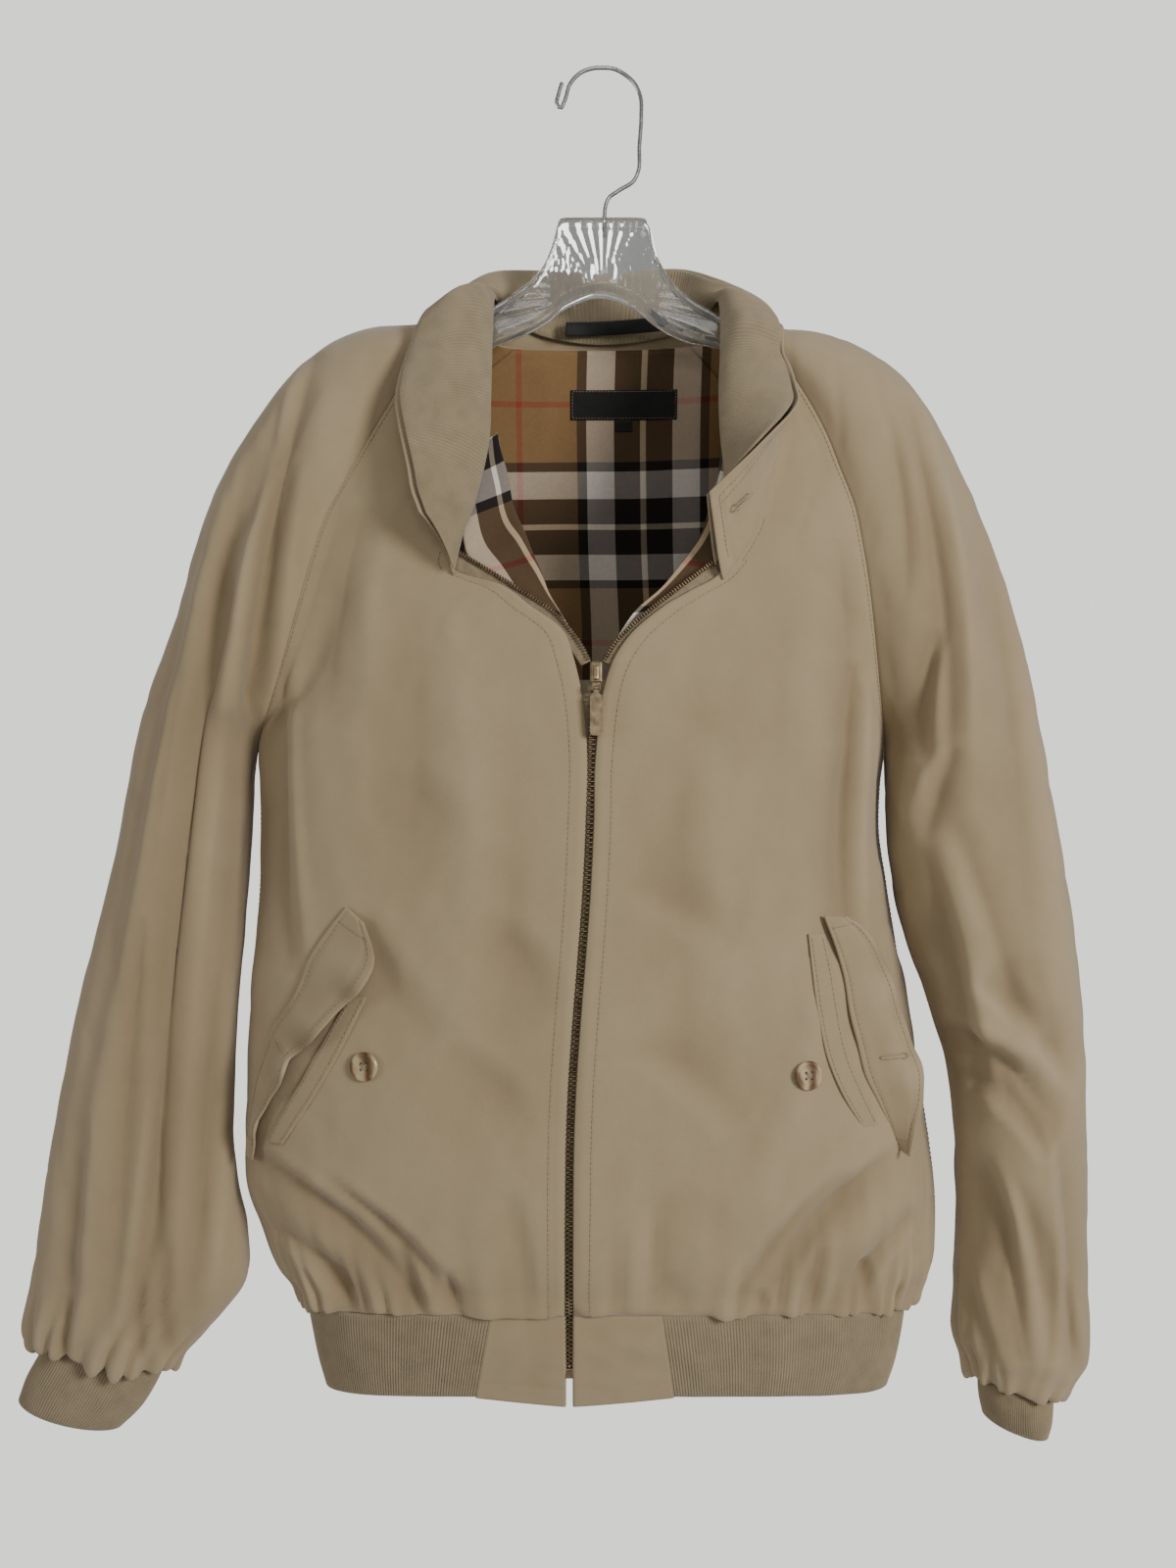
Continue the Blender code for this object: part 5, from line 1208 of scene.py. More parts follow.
@dataclass(frozen=True)
class Cotton:
    """Close-woven cotton: twill on cloth coordinates, soft mottling, paler worn ridges, painted shade in
    creases.
    """

    name: str
    shade: Shade
    base: Shade
    lit: Shade
    pitch: float = 0.0007
    sheen: float = 0.25

    def make(self) -> Material:
        """The material: its tone is a half, plus painted wear and shade, plus two noises about their mean."""
        n = Nodes(self.name)
        coarse, fine = n.noise(n.place, 14.0), n.noise(n.place, 160.0)
        patch = n.maths("ADD", n.maths("MULTIPLY", coarse, 0.6), n.maths("MULTIPLY", fine, 0.4))
        mottle = n.maths("MULTIPLY", n.maths("SUBTRACT", patch, 0.5), 0.45)
        n.paint(n.maths("ADD", mottle, n.maths("ADD", n.worn_and_shaded, 0.5)),
                (0.0, self.shade), (0.5, self.base), (1.0, self.lit))
        twill = n.add("TexWave", wave_type="BANDS", bands_direction="DIAGONAL", Scale=0.314 / self.pitch,
                      Distortion=0.4)
        n.join(n.cloth, twill.inputs["Vector"])
        n.roughen(60.0, 0.16, 0.74)
        weave = n.maths("ADD", n.maths("MULTIPLY", twill.outputs[1], 0.35), n.noise(n.cloth, 700.0))
        n.bump(weave, 0.35, 0.00025)
        n.set(Sheen_Weight=self.sheen, Sheen_Roughness=0.6, Specular_IOR_Level=0.25)
        return n.material


@dataclass(frozen=True)
class RibKnit:
    """Knitted cotton: small loops along the ribs, soft uneven tone, and painted shade between the ribs."""

    name: str
    shade: Shade
    base: Shade

    def make(self) -> Material:
        """The material."""
        n = Nodes(self.name)
        mottle = n.maths("MULTIPLY", n.noise(n.place, 90.0), 0.5)
        mixed = n.maths("ADD", mottle, n.maths("ADD", n.worn_and_shaded, 0.25))
        n.paint(mixed, (0.0, self.shade), (0.55, self.base), (1.0, self.base))
        loops = n.add("TexVoronoi", Scale=1100.0)
        n.join(n.cloth, loops.inputs["Vector"])
        n.bump(loops.outputs[0], 0.4, 0.0003)
        n.set(Roughness=0.92, Sheen_Weight=0.3, Sheen_Roughness=0.7, Specular_IOR_Level=0.15)
        return n.material


class CheckOn(Enum):
    """Which coordinates a check follows."""

    PLACE = "place"
    CLOTH = "cloth"


@dataclass(frozen=True)
class Check:
    """Woven check: bands of one sett both ways, each point the mean of its warp and weft yarns.

    The sett is bands of (width, yarn) that repeat; the share of the repeat at a point picks the yarn.
    """

    name: str
    on: CheckOn
    across: float
    down: float
    repeat: float = 0.170

    SETT = ((9, "dark"), (28, "pale"), (26, "dark"), (6, "cream"), (26, "dark"), (27, "pale"), (9, "dark"),
            (55, "camel"), (6, "rust"), (55, "camel"))
    YARNS = {"dark": (34, 27, 23), "pale": (236, 228, 218), "cream": (226, 212, 186), "camel": (140, 110, 74),
             "rust": (150, 66, 50)}

    def _yarn(self, n: Nodes, along: Socket, start: float, sign: float) -> Socket:
        """Yarn colour along one direction.

        Args:
            n: The material's nodes.
            along: Place along the direction, m.
            start: Where a repeat begins.
            sign: 1, or -1 where the repeat runs backward.
        Returns:
            The colour's socket.
        """
        share = n.maths("FRACT", n.scaled(along, sign / self.repeat, 8 - sign * start / self.repeat))
        total, stops, run = sum(w for w, _ in self.SETT), [], 0.0
        for width, yarn in self.SETT:
            stops.append((run / total, (*(v / 255 for v in self.YARNS[yarn]), 1.0)))
            run += width
        return n.ramp(share, stops, True)

    def make(self) -> Material:
        """The material: screen values of both yarns are averaged, then made linear by a power of 2.2."""
        n = Nodes(self.name)
        placed = self.on is CheckOn.PLACE
        split = n.add("SeparateXYZ")
        n.join(n.place if placed else n.cloth, split.inputs[0])
        sway = n.maths("MULTIPLY", n.maths("SUBTRACT", n.noise(n.place, 7.0, 0.0), 0.5), 0.010)
        second = split.outputs[2 if placed else 1]
        warp = self._yarn(n, n.maths("ADD", split.outputs[0], sway), self.across, 1.0)
        weft = self._yarn(n, n.maths("ADD", second, sway), self.down, -1.0)
        mix = n.add("MixRGB", blend_type="MIX", Fac=0.5)
        n.join(warp, mix.inputs[1])
        n.join(weft, mix.inputs[2])
        deep = n.add("Gamma", Gamma=2.2)
        n.join(mix.outputs[0], deep.inputs[0])
        soft = n.add("MixRGB", blend_type="MULTIPLY", Fac=0.35)
        n.join(deep.outputs[0], soft.inputs[1])
        dulled = n.ramp(n.noise(n.place, 420.0), [(0.3, (0.7, 0.7, 0.7, 1)), (0.7, (1, 1, 1, 1))])
        n.join(dulled, soft.inputs[2])
        n.join(soft.outputs[0], n.shader.inputs["Base Color"])
        n.bump(n.noise(n.cloth, 1400.0), 0.3, 0.0002)
        n.set(Roughness=0.8, Sheen_Weight=0.15, Specular_IOR_Level=0.25)
        return n.material


@dataclass(frozen=True)
class Tape:
    """Woven tape, label or thread: fine cross ribs and a little mottling."""

    name: str
    base: Shade
    dark: Shade
    rough: float = 0.75

    def make(self) -> Material:
        """The material."""
        n = Nodes(self.name)
        n.paint(n.noise(n.place, 300.0), (0.3, self.dark), (0.7, self.base))
        ribs = n.add("TexWave", wave_type="BANDS", bands_direction="Z", Scale=400.0)
        n.join(n.place, ribs.inputs["Vector"])
        n.bump(ribs.outputs[1], 0.4, 0.0002)
        n.set(Roughness=self.rough, Specular_IOR_Level=0.3, Sheen_Weight=0.1)
        return n.material


@dataclass(frozen=True)
class Metal:
    """Plated metal with fine scratches and dulled patches."""

    name: str
    base: Shade
    dark: Shade
    rough: float

    def make(self) -> Material:
        """The material."""
        n = Nodes(self.name)
        n.paint(n.noise(n.place, 220.0), (0.35, self.dark), (0.7, self.base))
        n.roughen(500.0, 0.25, self.rough)
        n.bump(n.noise(n.place, 1500.0), 0.08, 0.0002)
        n.set(Metallic=1.0)
        return n.material


@dataclass(frozen=True)
class Horn:
    """Horn-like button: brown with pale cloudy streaks."""

    name: str

    def make(self) -> Material:
        """The material."""
        n = Nodes(self.name)
        streak = n.add("TexWave", wave_type="BANDS", bands_direction="X", Scale=28.0, Distortion=9.0,
                       Detail=3.0)
        n.join(n.place, streak.inputs["Vector"])
        n.paint(streak.outputs[1], (0.0, (86, 62, 38)), (0.45, (142, 112, 76)), (0.9, (186, 166, 132)))
        n.roughen(200.0, 0.15, 0.28)
        n.bump(n.noise(n.place, 900.0), 0.06, 0.0002)
        n.set(Specular_IOR_Level=0.5, Coat_Weight=0.3)
        return n.material


@dataclass(frozen=True)
class ClearPlastic:
    """Clear moulded plastic, faintly clouded by handling."""

    name: str

    def make(self) -> Material:
        """The material."""
        n = Nodes(self.name)
        n.paint(n.noise(n.place, 40.0), (0.3, (238, 240, 240)), (0.7, (250, 251, 252)))
        n.roughen(80.0, 0.05, 0.02)
        n.bump(n.noise(n.place, 150.0), 0.06, 0.0005)
        n.set(Transmission_Weight=0.92, IOR=1.46, Specular_IOR_Level=0.6)
        return n.material


@dataclass(frozen=True)
class Floor:
    """Plain pale matt floor."""

    name: str

    def make(self) -> Material:
        """The material."""
        n = Nodes(self.name)
        n.paint(n.noise(n.place, 3.0), (0.3, (222, 220, 216)), (0.7, (228, 226, 223)))
        n.set(Roughness=0.9, Specular_IOR_Level=0.1)
        return n.material


# ------------------------------------------------------------------- pieces


def made_of(finish: type, *sizes: object) -> object:
    """Dataclass field that holds a finish's material.

    Args:
        finish: The finish's class.
        sizes: What it is made from.
    Returns:
        The field.
    """
    return field(default_factory=lambda: finish(*sizes).make())


@dataclass
class Finishes:
    """The jacket's materials, made once each."""

    shell: Material = made_of(Cotton, "shell_cotton_cloth", (146, 128, 98), (163, 145, 114), (178, 161, 130))
    sleeve_inside: Material = made_of(
        Cotton, "sleeve_inside_cloth", (128, 108, 76), (150, 128, 92), (164, 142, 106), 0.0005, 0.1)
    knit: Material = made_of(RibKnit, "rib_knit_cotton", (112, 98, 73), (152, 136, 106))
    check: Material = made_of(Check, "lining_check_cotton", CheckOn.PLACE, -0.0128, -0.249)
    band: Material = made_of(Check, "lining_check_band", CheckOn.CLOTH, -0.050, 0.045)
    label: Material = made_of(Tape, "label_black_woven", (24, 23, 23), (14, 13, 13), 0.6)
    tape: Material = made_of(Tape, "zip_tape_woven", (158, 142, 116), (136, 121, 98))
    bronze: Material = made_of(Metal, "zip_bronze_plated", (168, 150, 122), (128, 112, 88), 0.34)
    steel: Material = made_of(Metal, "steel_wire_plated", (196, 196, 198), (168, 168, 172), 0.18)
    horn: Material = made_of(Horn, "button_horn_cloudy")
    plastic: Material = made_of(ClearPlastic, "hanger_clear_plastic")
    thread: Material = made_of(Tape, "sewing_thread", (176, 162, 132), (150, 136, 108))


@dataclass
class Cloth:
    """A fine cloth piece: its outer and inner grids, its normals, and its painted wear and shade."""

    outer: Array
    inner: Array
    normal: Array
    wear_and_shade: Array


@dataclass(frozen=True)
class Relief:
    """How a fine piece is creased: tables, undulation, and puckers at its seams and foot."""

    front: Table = ()
    back: Table = ()
    seed: int = 1
    sway: float = 0.7
    pucker: float = 0.35
    foot: float = 6.0
    foot_reach: float = 32.0
    foot_hold: float = 0.15
    top_calm: float = 26.0
    crumple: float = 0.55
    sag: float = 5.5


def fine_cloth(form: Form, rows: int, cols: int, relief: Relief, closed: bool = False) -> Cloth:
    """Refines a coarse form and creases it.

    Each point moves along its normal by the front table where it faces forward and the back table where it
    faces back, plus a slow sway, ripples, crumples, puckers beside the seams, and gathers above the foot.
    Just above the foot a roll stands out and sags over the rib.

    Args:
        form: The coarse form.
        rows: Fine rows.
        cols: Fine columns.
        relief: Its tables and amounts.
        closed: Whether the piece is a tube below the underarm.
    Returns:
        The fine piece.
    """
    outer, inner = refine(form.outer, rows, cols), refine(form.inner, rows, cols)
    shut = shut_row(rows) if closed else rows
    if closed:
        outer[shut:, -1], inner[shut:, -1] = outer[shut:, 0], inner[shut:, 0]
    n = normals(outer, outer - inner)
    if closed:
        n[shut:, 0] = n[shut:, -1] = unit(n[shut:, 0] + n[shut:, -1])
    ahead, behind = np.clip(-1.6 * n[..., 1] + 0.2, 0, 1), np.clip(1.6 * n[..., 1] + 0.2, 0, 1)
    run = np.linalg.norm(np.diff(outer, axis=1), axis=-1)
    left = np.concatenate([np.zeros((rows, 1)), np.cumsum(run, 1)], 1)
    fall = np.linalg.norm(np.diff(outer, axis=0), axis=-1)
    above = np.concatenate([np.zeros((1, cols)), np.cumsum(fall, 0)], 0)
    below = above[-1:] - above
    edge = np.minimum(left, left[:, -1:] - left)
    if closed:
        edge[shut:] = np.maximum(edge[shut:], (np.arange(rows - shut) * 3.5)[:, None])
    depth = ahead * creases(outer, relief.front) + behind * creases(outer, relief.back)
    seed = relief.seed
    ripple = 0.22 * waves(outer, 26, seed + 7, (1.2, 1, 0.7))
    depth += relief.sway * waves(outer, 75, seed, (1, 1, 0.5)) + ripple
    crumple = 0.5 - np.abs(waves(outer, 62, seed + 13, (1, 1, 0.8)))
    depth -= relief.crumple * np.clip(crumple, 0, 1) * 2
    beat = waves(np.stack([above, 0 * above, 0 * above], -1), 15, seed + 3)
    depth -= relief.pucker * (0.6 + 0.5 * beat) * np.exp(-((edge - 5) / 5) ** 2)
    level = np.broadcast_to(np.linspace(0, 1, cols) * left.max(), outer.shape[:2])
    level = np.stack([level, 0 * left, 0.12 * above], -1)
    gather = np.abs(waves(level, 21, seed + 21)) - 0.75
    depth += relief.foot * gather * np.exp(-below / relief.foot_reach) * np.clip(below / 4, 0, 1)
    inside = np.clip(edge / 9, 0, 1)
    hold = inside * (relief.foot_hold + (1 - relief.foot_hold) * np.clip(below / 10, 0, 1))
    hold = hold * np.clip(above / 12, 0, 1)
    depth = np.where(depth > 0, depth * np.clip(above / relief.top_calm, 0, 1), depth) * hold
    lump = (0.35 + 0.65 * np.clip(0.5 + 0.7 * waves(level, 30, seed + 29), 0, 1)) * inside
    roll = np.exp(-((below - 7) / 5.5) ** 2) * np.clip(below / 1.5, 0, 1) * lump
    # The creases' depth, scaled and clipped, tints the colour: paler on raised ridges, painted shade in the
    # troughs.
    wear_and_shade = depth - depth.mean()
    lift = n * (depth + 2.9 * roll)[..., None] - UP * (relief.sag * roll)[..., None]
    return Cloth(outer + lift, inner + lift, n, np.clip(wear_and_shade * 0.075, -0.45, 0.2))


class Sewing:
    """Stitches laid along lines on the cloth, joined to one mesh for each run of sewing."""

    def __init__(self, finishes: Finishes) -> None:
        """Keeps the thread."""
        self.thread = finishes.thread
        self.runs: list[tuple[Array, Array]] = []

    def line(self, path: Array, toward: Array, lift: float = 0.25, pitch: float = 3.2) -> None:
        """Adds a line of stitches.

        Args:
            path: Points of the line, mm.
            toward: Outward direction at each point, or one for all.
            lift: How far the thread stands out.
            pitch: Stitch spacing, mm.
        """
        spots = resample(path, pitch)
        n = unit(resample(path, pitch, np.broadcast_to(toward, path.shape)))
        if len(spots) < 2:
            return
        t = unit(np.gradient(spots, axis=0))
        n = unit(n - t * np.sum(n * t, -1, keepdims=True))
        self.runs.append((spots + n * lift, np.stack([t, np.cross(n, t), n], 1)))

    def finish(self, name: str, length: float = 2.5, width: float = 0.55) -> Object:
        """Joins the lines so far to one piece.

        Args:
            name: Piece name.
            length: Stitch length, mm.
            width: Stitch width, mm.
        Returns:
            The piece.
        """
        shape, faces = pill(length, width, 0.5)
        places = np.concatenate([p for p, _ in self.runs])
        frames = np.concatenate([f for _, f in self.runs])
        self.runs = []
        return scatter(name, shape, faces, places, frames, self.thread)


class Shell:
    """Sleeves, fronts and back: the jacket's cotton shell, with seam and placket sewing."""

    def __init__(self, block: GarmentBlock, finishes: Finishes) -> None:
        """Refines and creases each piece."""
        self.block, self.finishes = block, finishes
        self.cloth: dict[str, Cloth] = {}
        for i, tag in enumerate(("left", "right")):
            name = f"sleeve_{tag}"
            relief = Relief(CREASES_FRONT[name], CREASES_BACK[name], 11 + i, foot_reach=30.0, foot_hold=0.3)
            self.cloth[name] = fine_cloth(block.sleeves[tag], *SLEEVE_SIZE, relief, True)
        for i, name in enumerate(("front_left", "front_right")):
            relief = Relief(CREASES_FRONT[name], (), 23 + i, 0.6, 0.3, top_calm=70.0, crumple=0.45)
            self.cloth[name] = fine_cloth(block.panels[name], *FRONT_SIZE, relief)
        relief = Relief((), CREASES_BACK["back"], 31)
        self.cloth["back"] = fine_cloth(block.panels["back"], *BACK_SIZE, relief)

    def build(self) -> dict[str, Object]:
        """The five shell pieces."""
        f, made = self.finishes, {}
        for name, cloth in self.cloth.items():
            sleeve = name.startswith("sleeve")
            mats = (f.shell, f.sleeve_inside if sleeve else f.check)
            shut = shut_row(SLEEVE_SIZE[0]) if sleeve else None
            made[name] = wall(name + "_cloth", cloth.outer, cloth.inner, mats, shut, 0.7, cloth.wear_and_shade)
        return made

    def sew(self, sewing: Sewing) -> Object:
        """Topstitching beside the raglan seams, the side seams and the zip."""
        for name in ("front_left", "front_right"):
            cloth = self.cloth[name]
            grid, n = cloth.outer[8:-1], cloth.normal[8:-1]
            opened = int(len(grid) * 7 / 24)
            high = int(opened * 0.85)
            sewing.line(inset(grid[opened:], 9.5, 0), n[opened:, 6])
            sewing.line(inset(grid[:opened + 1], 7.0, 0)[high:], n[high:opened + 1, 5])
            sewing.line(inset(grid, 2.2, -1), n[:, -3])
        for side, col in ((0, 2), (-1, -3)):
            back = self.cloth["back"]
            sewing.line(inset(back.outer[6:-1], 2.2, side), back.normal[6:-1, col])
        return sewing.finish("shell_topstitch")


class HemAndCuffs:
    """Rib-knit hem band and cuffs, and the shell-cotton tabs at the foot of the zip."""

    def __init__(self, block: GarmentBlock, finishes: Finishes) -> None:
        """Keeps the block and materials."""
        self.block, self.finishes = block, finishes

    @staticmethod
    def _ribbed(grid: Array, n: Array, run: float, seed: int, closed: bool) -> tuple[Array, Array, Array]:
        """Ribs down a band: a rounded cosine across the columns, a slow sway, and a scalloped foot.

        Args:
            grid: Band surface.
            n: Its normals.
            run: Length of the band along its columns, mm.
            seed: Which sway.
            closed: Whether the last column is the first.
        Returns:
            Outer grid, inner grid, and painted shade: darker between the ribs, lighter on their tops.
        """
        rows, cols = grid.shape[:2]
        high = rib_wave(run, cols)[None, :]
        fade = np.clip(np.linspace(0, 1, rows) / 0.04, 0, 1)[:, None]
        wide = np.linspace(0, 1, cols)[None, :] * np.ones((rows, 1))
        down = np.linspace(0, 0.12, rows)[:, None] + 0 * wide
        ring = np.stack([np.cos(2 * pi * wide), np.sin(2 * pi * wide), down], -1)
        sway = 0.6 * waves(ring * (run / 40), 6.5, seed)
        sway *= np.sin(pi * np.linspace(0.08, 0.92, rows))[:, None]
        if not closed:
            sway *= np.clip(np.minimum(wide, 1 - wide) / 0.02, 0, 1)
        lift = (0.42 * high * (0.3 + 0.7 * fade) - 0.42 + sway)[..., None]
        inner_lift = (sway - 0.35 * high * 0.8)[..., None]
        # The third grid is painted shade: darker between the ribs, lighter on their tops.
        return grid + n * lift, grid - n * RIB_WALL + n * inner_lift * 0.8, 0.10 * (high - 0.5) + 0 * wide

    def build(self) -> dict[str, Object]:
        """Hem rib, both tabs and both cuffs."""
        made, f = {}, self.finishes
        fr = np.linspace(0, 1, 13)
        start = np.array([hem_angle(TAB_LEFT[0] + (TAB_LEFT[1] - TAB_LEFT[0]) * v - 0.2, v) for v in fr])
        stop = np.array([hem_angle(TAB_RIGHT[0] + (TAB_RIGHT[1] - TAB_RIGHT[0]) * v + 0.2, v) for v in fr])
        t = np.linspace(0, 1, HEM_COLS)[None, :]
        raw = start[:, None] - t * (2 * pi + start - stop)[:, None]
        rib = hem_point(fr[:, None] + 0 * t, np.where(raw < -pi, raw + 2 * pi, raw)) - [0, 0, 0.3]
        run = float(np.linalg.norm(np.diff(rib[6], axis=0), axis=1).sum())
        even = np.interp(t[0], run_along(rib[6]) / run, t[0])
        raw = start[:, None] - even[None] * (2 * pi + start - stop)[:, None]
        rib = hem_point(fr[:, None] + 0 * t, np.where(raw < -pi, raw + 2 * pi, raw)) - [0, 0, 0.3]
        n = normals(rib, rib - (rib * [0, 0, 1.0] + [CENTRE_X, 0, 0]))
        outer, inner, wear_and_shade = self._ribbed(rib, n, run, 41, False)
        made["hem_rib"] = wall("hem_rib_knit", outer, inner, (f.knit,), None, 0.9, wear_and_shade)
        zx = float(zip_line(np.array([-848.0]))[0, 0])
        tabs = (("left", TAB_LEFT, zx - 2.9), ("right", TAB_RIGHT, zx + 2.9))
        for i, (tag, edges, zip_x) in enumerate(tabs):
            cols = []
            for v in np.linspace(0, 1, 4):
                far = hem_angle(edges[0] + (edges[1] - edges[0]) * v, v)
                p = hem_point(np.full(5, v), np.linspace(hem_angle(zip_x, v), far, 5))
                p[:, 2] -= 0.3 + v * (TAB_FALL - HEM_FALL) * np.linspace(1.6, 0.2, 5)
                cols.append(p)
            tab = refine(np.stack(cols), *TAB_SIZE)
            tn = normals(tab, AHEAD)
            v, u = np.meshgrid(*(np.linspace(0, 1, size) for size in TAB_SIZE), indexing="ij")
            depth = (0.35 * waves(tab, 22, 51 + i) - 0.5) * np.sin(pi * u) ** 0.5
            depth = depth * np.sin(pi * np.clip(v, 0.03, 0.97)) ** 0.5
            depth -= 0.5 * np.exp(-((v - 0.80) / 0.03) ** 2) * (0.7 + 0.3 * waves(tab, 30, 61))
            # depth * 0.12 is painted shade: darker in the tab's hollows and along its crease line.
            made[f"hem_tab_{tag}"] = wall(f"hem_tab_{tag}_cloth", tab + tn * depth[..., None], tab - tn * 2.4,
                                          (f.shell,), None, 0.9, depth * 0.12)
        for i, (tag, rows) in enumerate((("left", CUFF_LEFT), ("right", CUFF_RIGHT))):
            get = lambda name: column(rows, CUFF_COLUMNS, name)
            over, foot = (np.stack([get(a), get("cy"), get(b)], -1) for a, b in (("ox", "oz"), ("fx", "fz")))
            centre, lateral = (over + foot) / 2, (over - foot) / 2
            s = np.linspace(-pi, pi, CUFF_COLS)
            arc = np.concatenate([[0], np.cumsum(np.hypot(38 * np.diff(np.cos(s)), 25 * np.diff(np.sin(s))))])
            s = np.interp(np.linspace(0, arc[-1], CUFF_COLS), arc, s)
            grid = (centre[:, None] + lateral[:, None] * np.cos(s)[None, :, None]
                    + np.array([0, 1.0, 0]) * (get("depth")[:, None] * np.sin(s)[None, :])[..., None])
            grid = refine_axis(grid, 14, 0)
            n = normals(grid, grid - refine_axis(centre[:, None], 14, 0))
            n[:, 0] = n[:, -1] = unit(n[:, 0] + n[:, -1])
            outer, inner, wear_and_shade = self._ribbed(grid, n, float(arc[-1]), 71 + i, True)
            outer[:, -1], inner[:, -1] = outer[:, 0], inner[:, 0]
            made[f"cuff_{tag}"] = wall(f"cuff_{tag}_knit", outer, inner, (f.knit,), 0, 0.9, wear_and_shade)
        return made


class Collar:
    """Stand collar folded open: a cotton ply outside and a rib-knit ply inside, each a ruled arched band."""

    def __init__(self, block: GarmentBlock, finishes: Finishes) -> None:
        """Works out both bands from the neckline and the collar's stations."""
        self.finishes = finishes
        fl, fr_, bk = (block.panels[n] for n in ("front_left", "front_right", "back"))
        sl, sr = block.sleeves["left"], block.sleeves["right"]
        line = lambda key: np.concatenate([
            getattr(fl, key)[7:0:-1, 0], getattr(sl, key)[0, 1:-1], getattr(bk, key)[0],
            getattr(sr, key)[0, -2:0:-1], getattr(fr_, key)[1:9, 0]])
        neck, neck_n = line("grid"), line("normal")
        length = run_along(neck)
        stations = np.linspace(0, len(COLLAR) - 1, 53)
        given = np.arange(len(COLLAR), dtype=float)
        take = lambda n: rounded(stations, given, column(COLLAR, COLLAR_COLUMNS, n))
        top = np.stack([take(n) for n in ("tx", "ty", "tz")], -1)
        knee = np.stack([take(n) for n in ("kx", "ky", "kz")], -1)
        arch = take("arch")
        mid = run_along((top + knee) / 2)
        at = mid / mid[-1] * length[-1]
        along = lambda values: np.stack([np.interp(at, length, values[:, i]) for i in range(3)], -1)
        foot = along(neck)
        foot = foot + along(neck_n) * 0.7 + unit(top - foot) * 0.9
        self.way = unit(np.cross(np.gradient((foot + top) / 2, axis=0), top - foot))
        self.way *= np.sign(self.way[26] @ np.array([0, -1.0, 0]))
        for _ in range(12):
            self.way[1:-1] = unit(self.way[:-2] + 2 * self.way[1:-1] + self.way[2:])
        near = [(sl, 8), (sr, 8), (fl, 12), (fr_, 12), (bk, 5)]
        near_p = np.concatenate([self._dense(f.grid[:k]).reshape(-1, 3) for f, k in near])
        near_n = unit(np.concatenate([self._dense(f.normal[:k]).reshape(-1, 3) for f, k in near]))
        long, short = np.linalg.norm(top - knee, axis=1), np.linalg.norm(top - foot, axis=1)
        band = self._band(foot, top, arch * np.minimum(short / long, 1) ** 2)
        self.shell = self._clear(band, 3.2, slice(0, None), near_p, near_n)
        self.shell_n = normals(self.shell, self.way[:, None] + 0 * self.shell)
        knee = knee + self.way * np.clip(2.6 - np.sum((knee - foot) * self.way, -1), 0, None)[:, None]
        knit_top = self.shell[:, -1] - unit(top - knee) * 2.5 + self.way * (COLLAR_WALL + 0.9)
        knit = self._clear(self._band(knee, knit_top, arch), 4.2, slice(2, None), near_p, near_n)
        shell_p = self._dense(self.shell).reshape(-1, 3)
        shell_n = unit(self._dense(self.shell_n)).reshape(-1, 3)
        self.knit = self._clear(knit, COLLAR_WALL + 2.2, slice(1, None), shell_p, shell_n)

    def _band(self, foot: Array, top: Array, arch: Array) -> Array:
        """Ruled band, foot to top edge, arched toward the knit side by a parabola."""
        s = np.linspace(0, 1, 6)
        return (foot[:, None] + (top - foot)[:, None] * s[None, :, None]
                + self.way[:, None] * (4 * arch[:, None] * (s * (1 - s))[None, :])[..., None])

    @staticmethod
    def _dense(grid: Array) -> Array:
        """The grid with five straight steps between neighbours, both ways."""
        for axis in (0, 1):
            size = grid.shape[axis]
            at = np.linspace(0, size - 1, (size - 1) * 5 + 1)
            i = np.minimum(at.astype(int), size - 2)
            f = (at - i).reshape((-1, 1, 1) if axis == 0 else (1, -1, 1))
            grid = np.take(grid, i, axis) * (1 - f) + np.take(grid, i + 1, axis) * f
        return grid

    @staticmethod
    def _clear(points: Array, gap: float, cols: slice, near_p: Array, near_n: Array) -> Array:
        """Points pushed off a surface until they stand `gap` in front of its nearest point.

        Args:
            points: Grid of the points.
            gap: How far they are to stand off, mm.
            cols: Columns that may move.
            near_p: Points of the surface.
            near_n: Its normals there.
        Returns:
            The moved grid.
        """
        points = points.copy()
        for _ in range(2):
            flat = points[:, cols].reshape(-1, 3)
            near = np.argmin(((flat[:, None] - near_p[None]) ** 2).sum(-1), axis=1)
            off = flat - near_p[near]
            push = np.clip(gap - np.sum(off * near_n[near], -1), 0, 14) * (np.linalg.norm(off, axis=1) < 14)
            points[:, cols] = (flat + near_n[near] * push[:, None]).reshape(points[:, cols].shape)
        return points

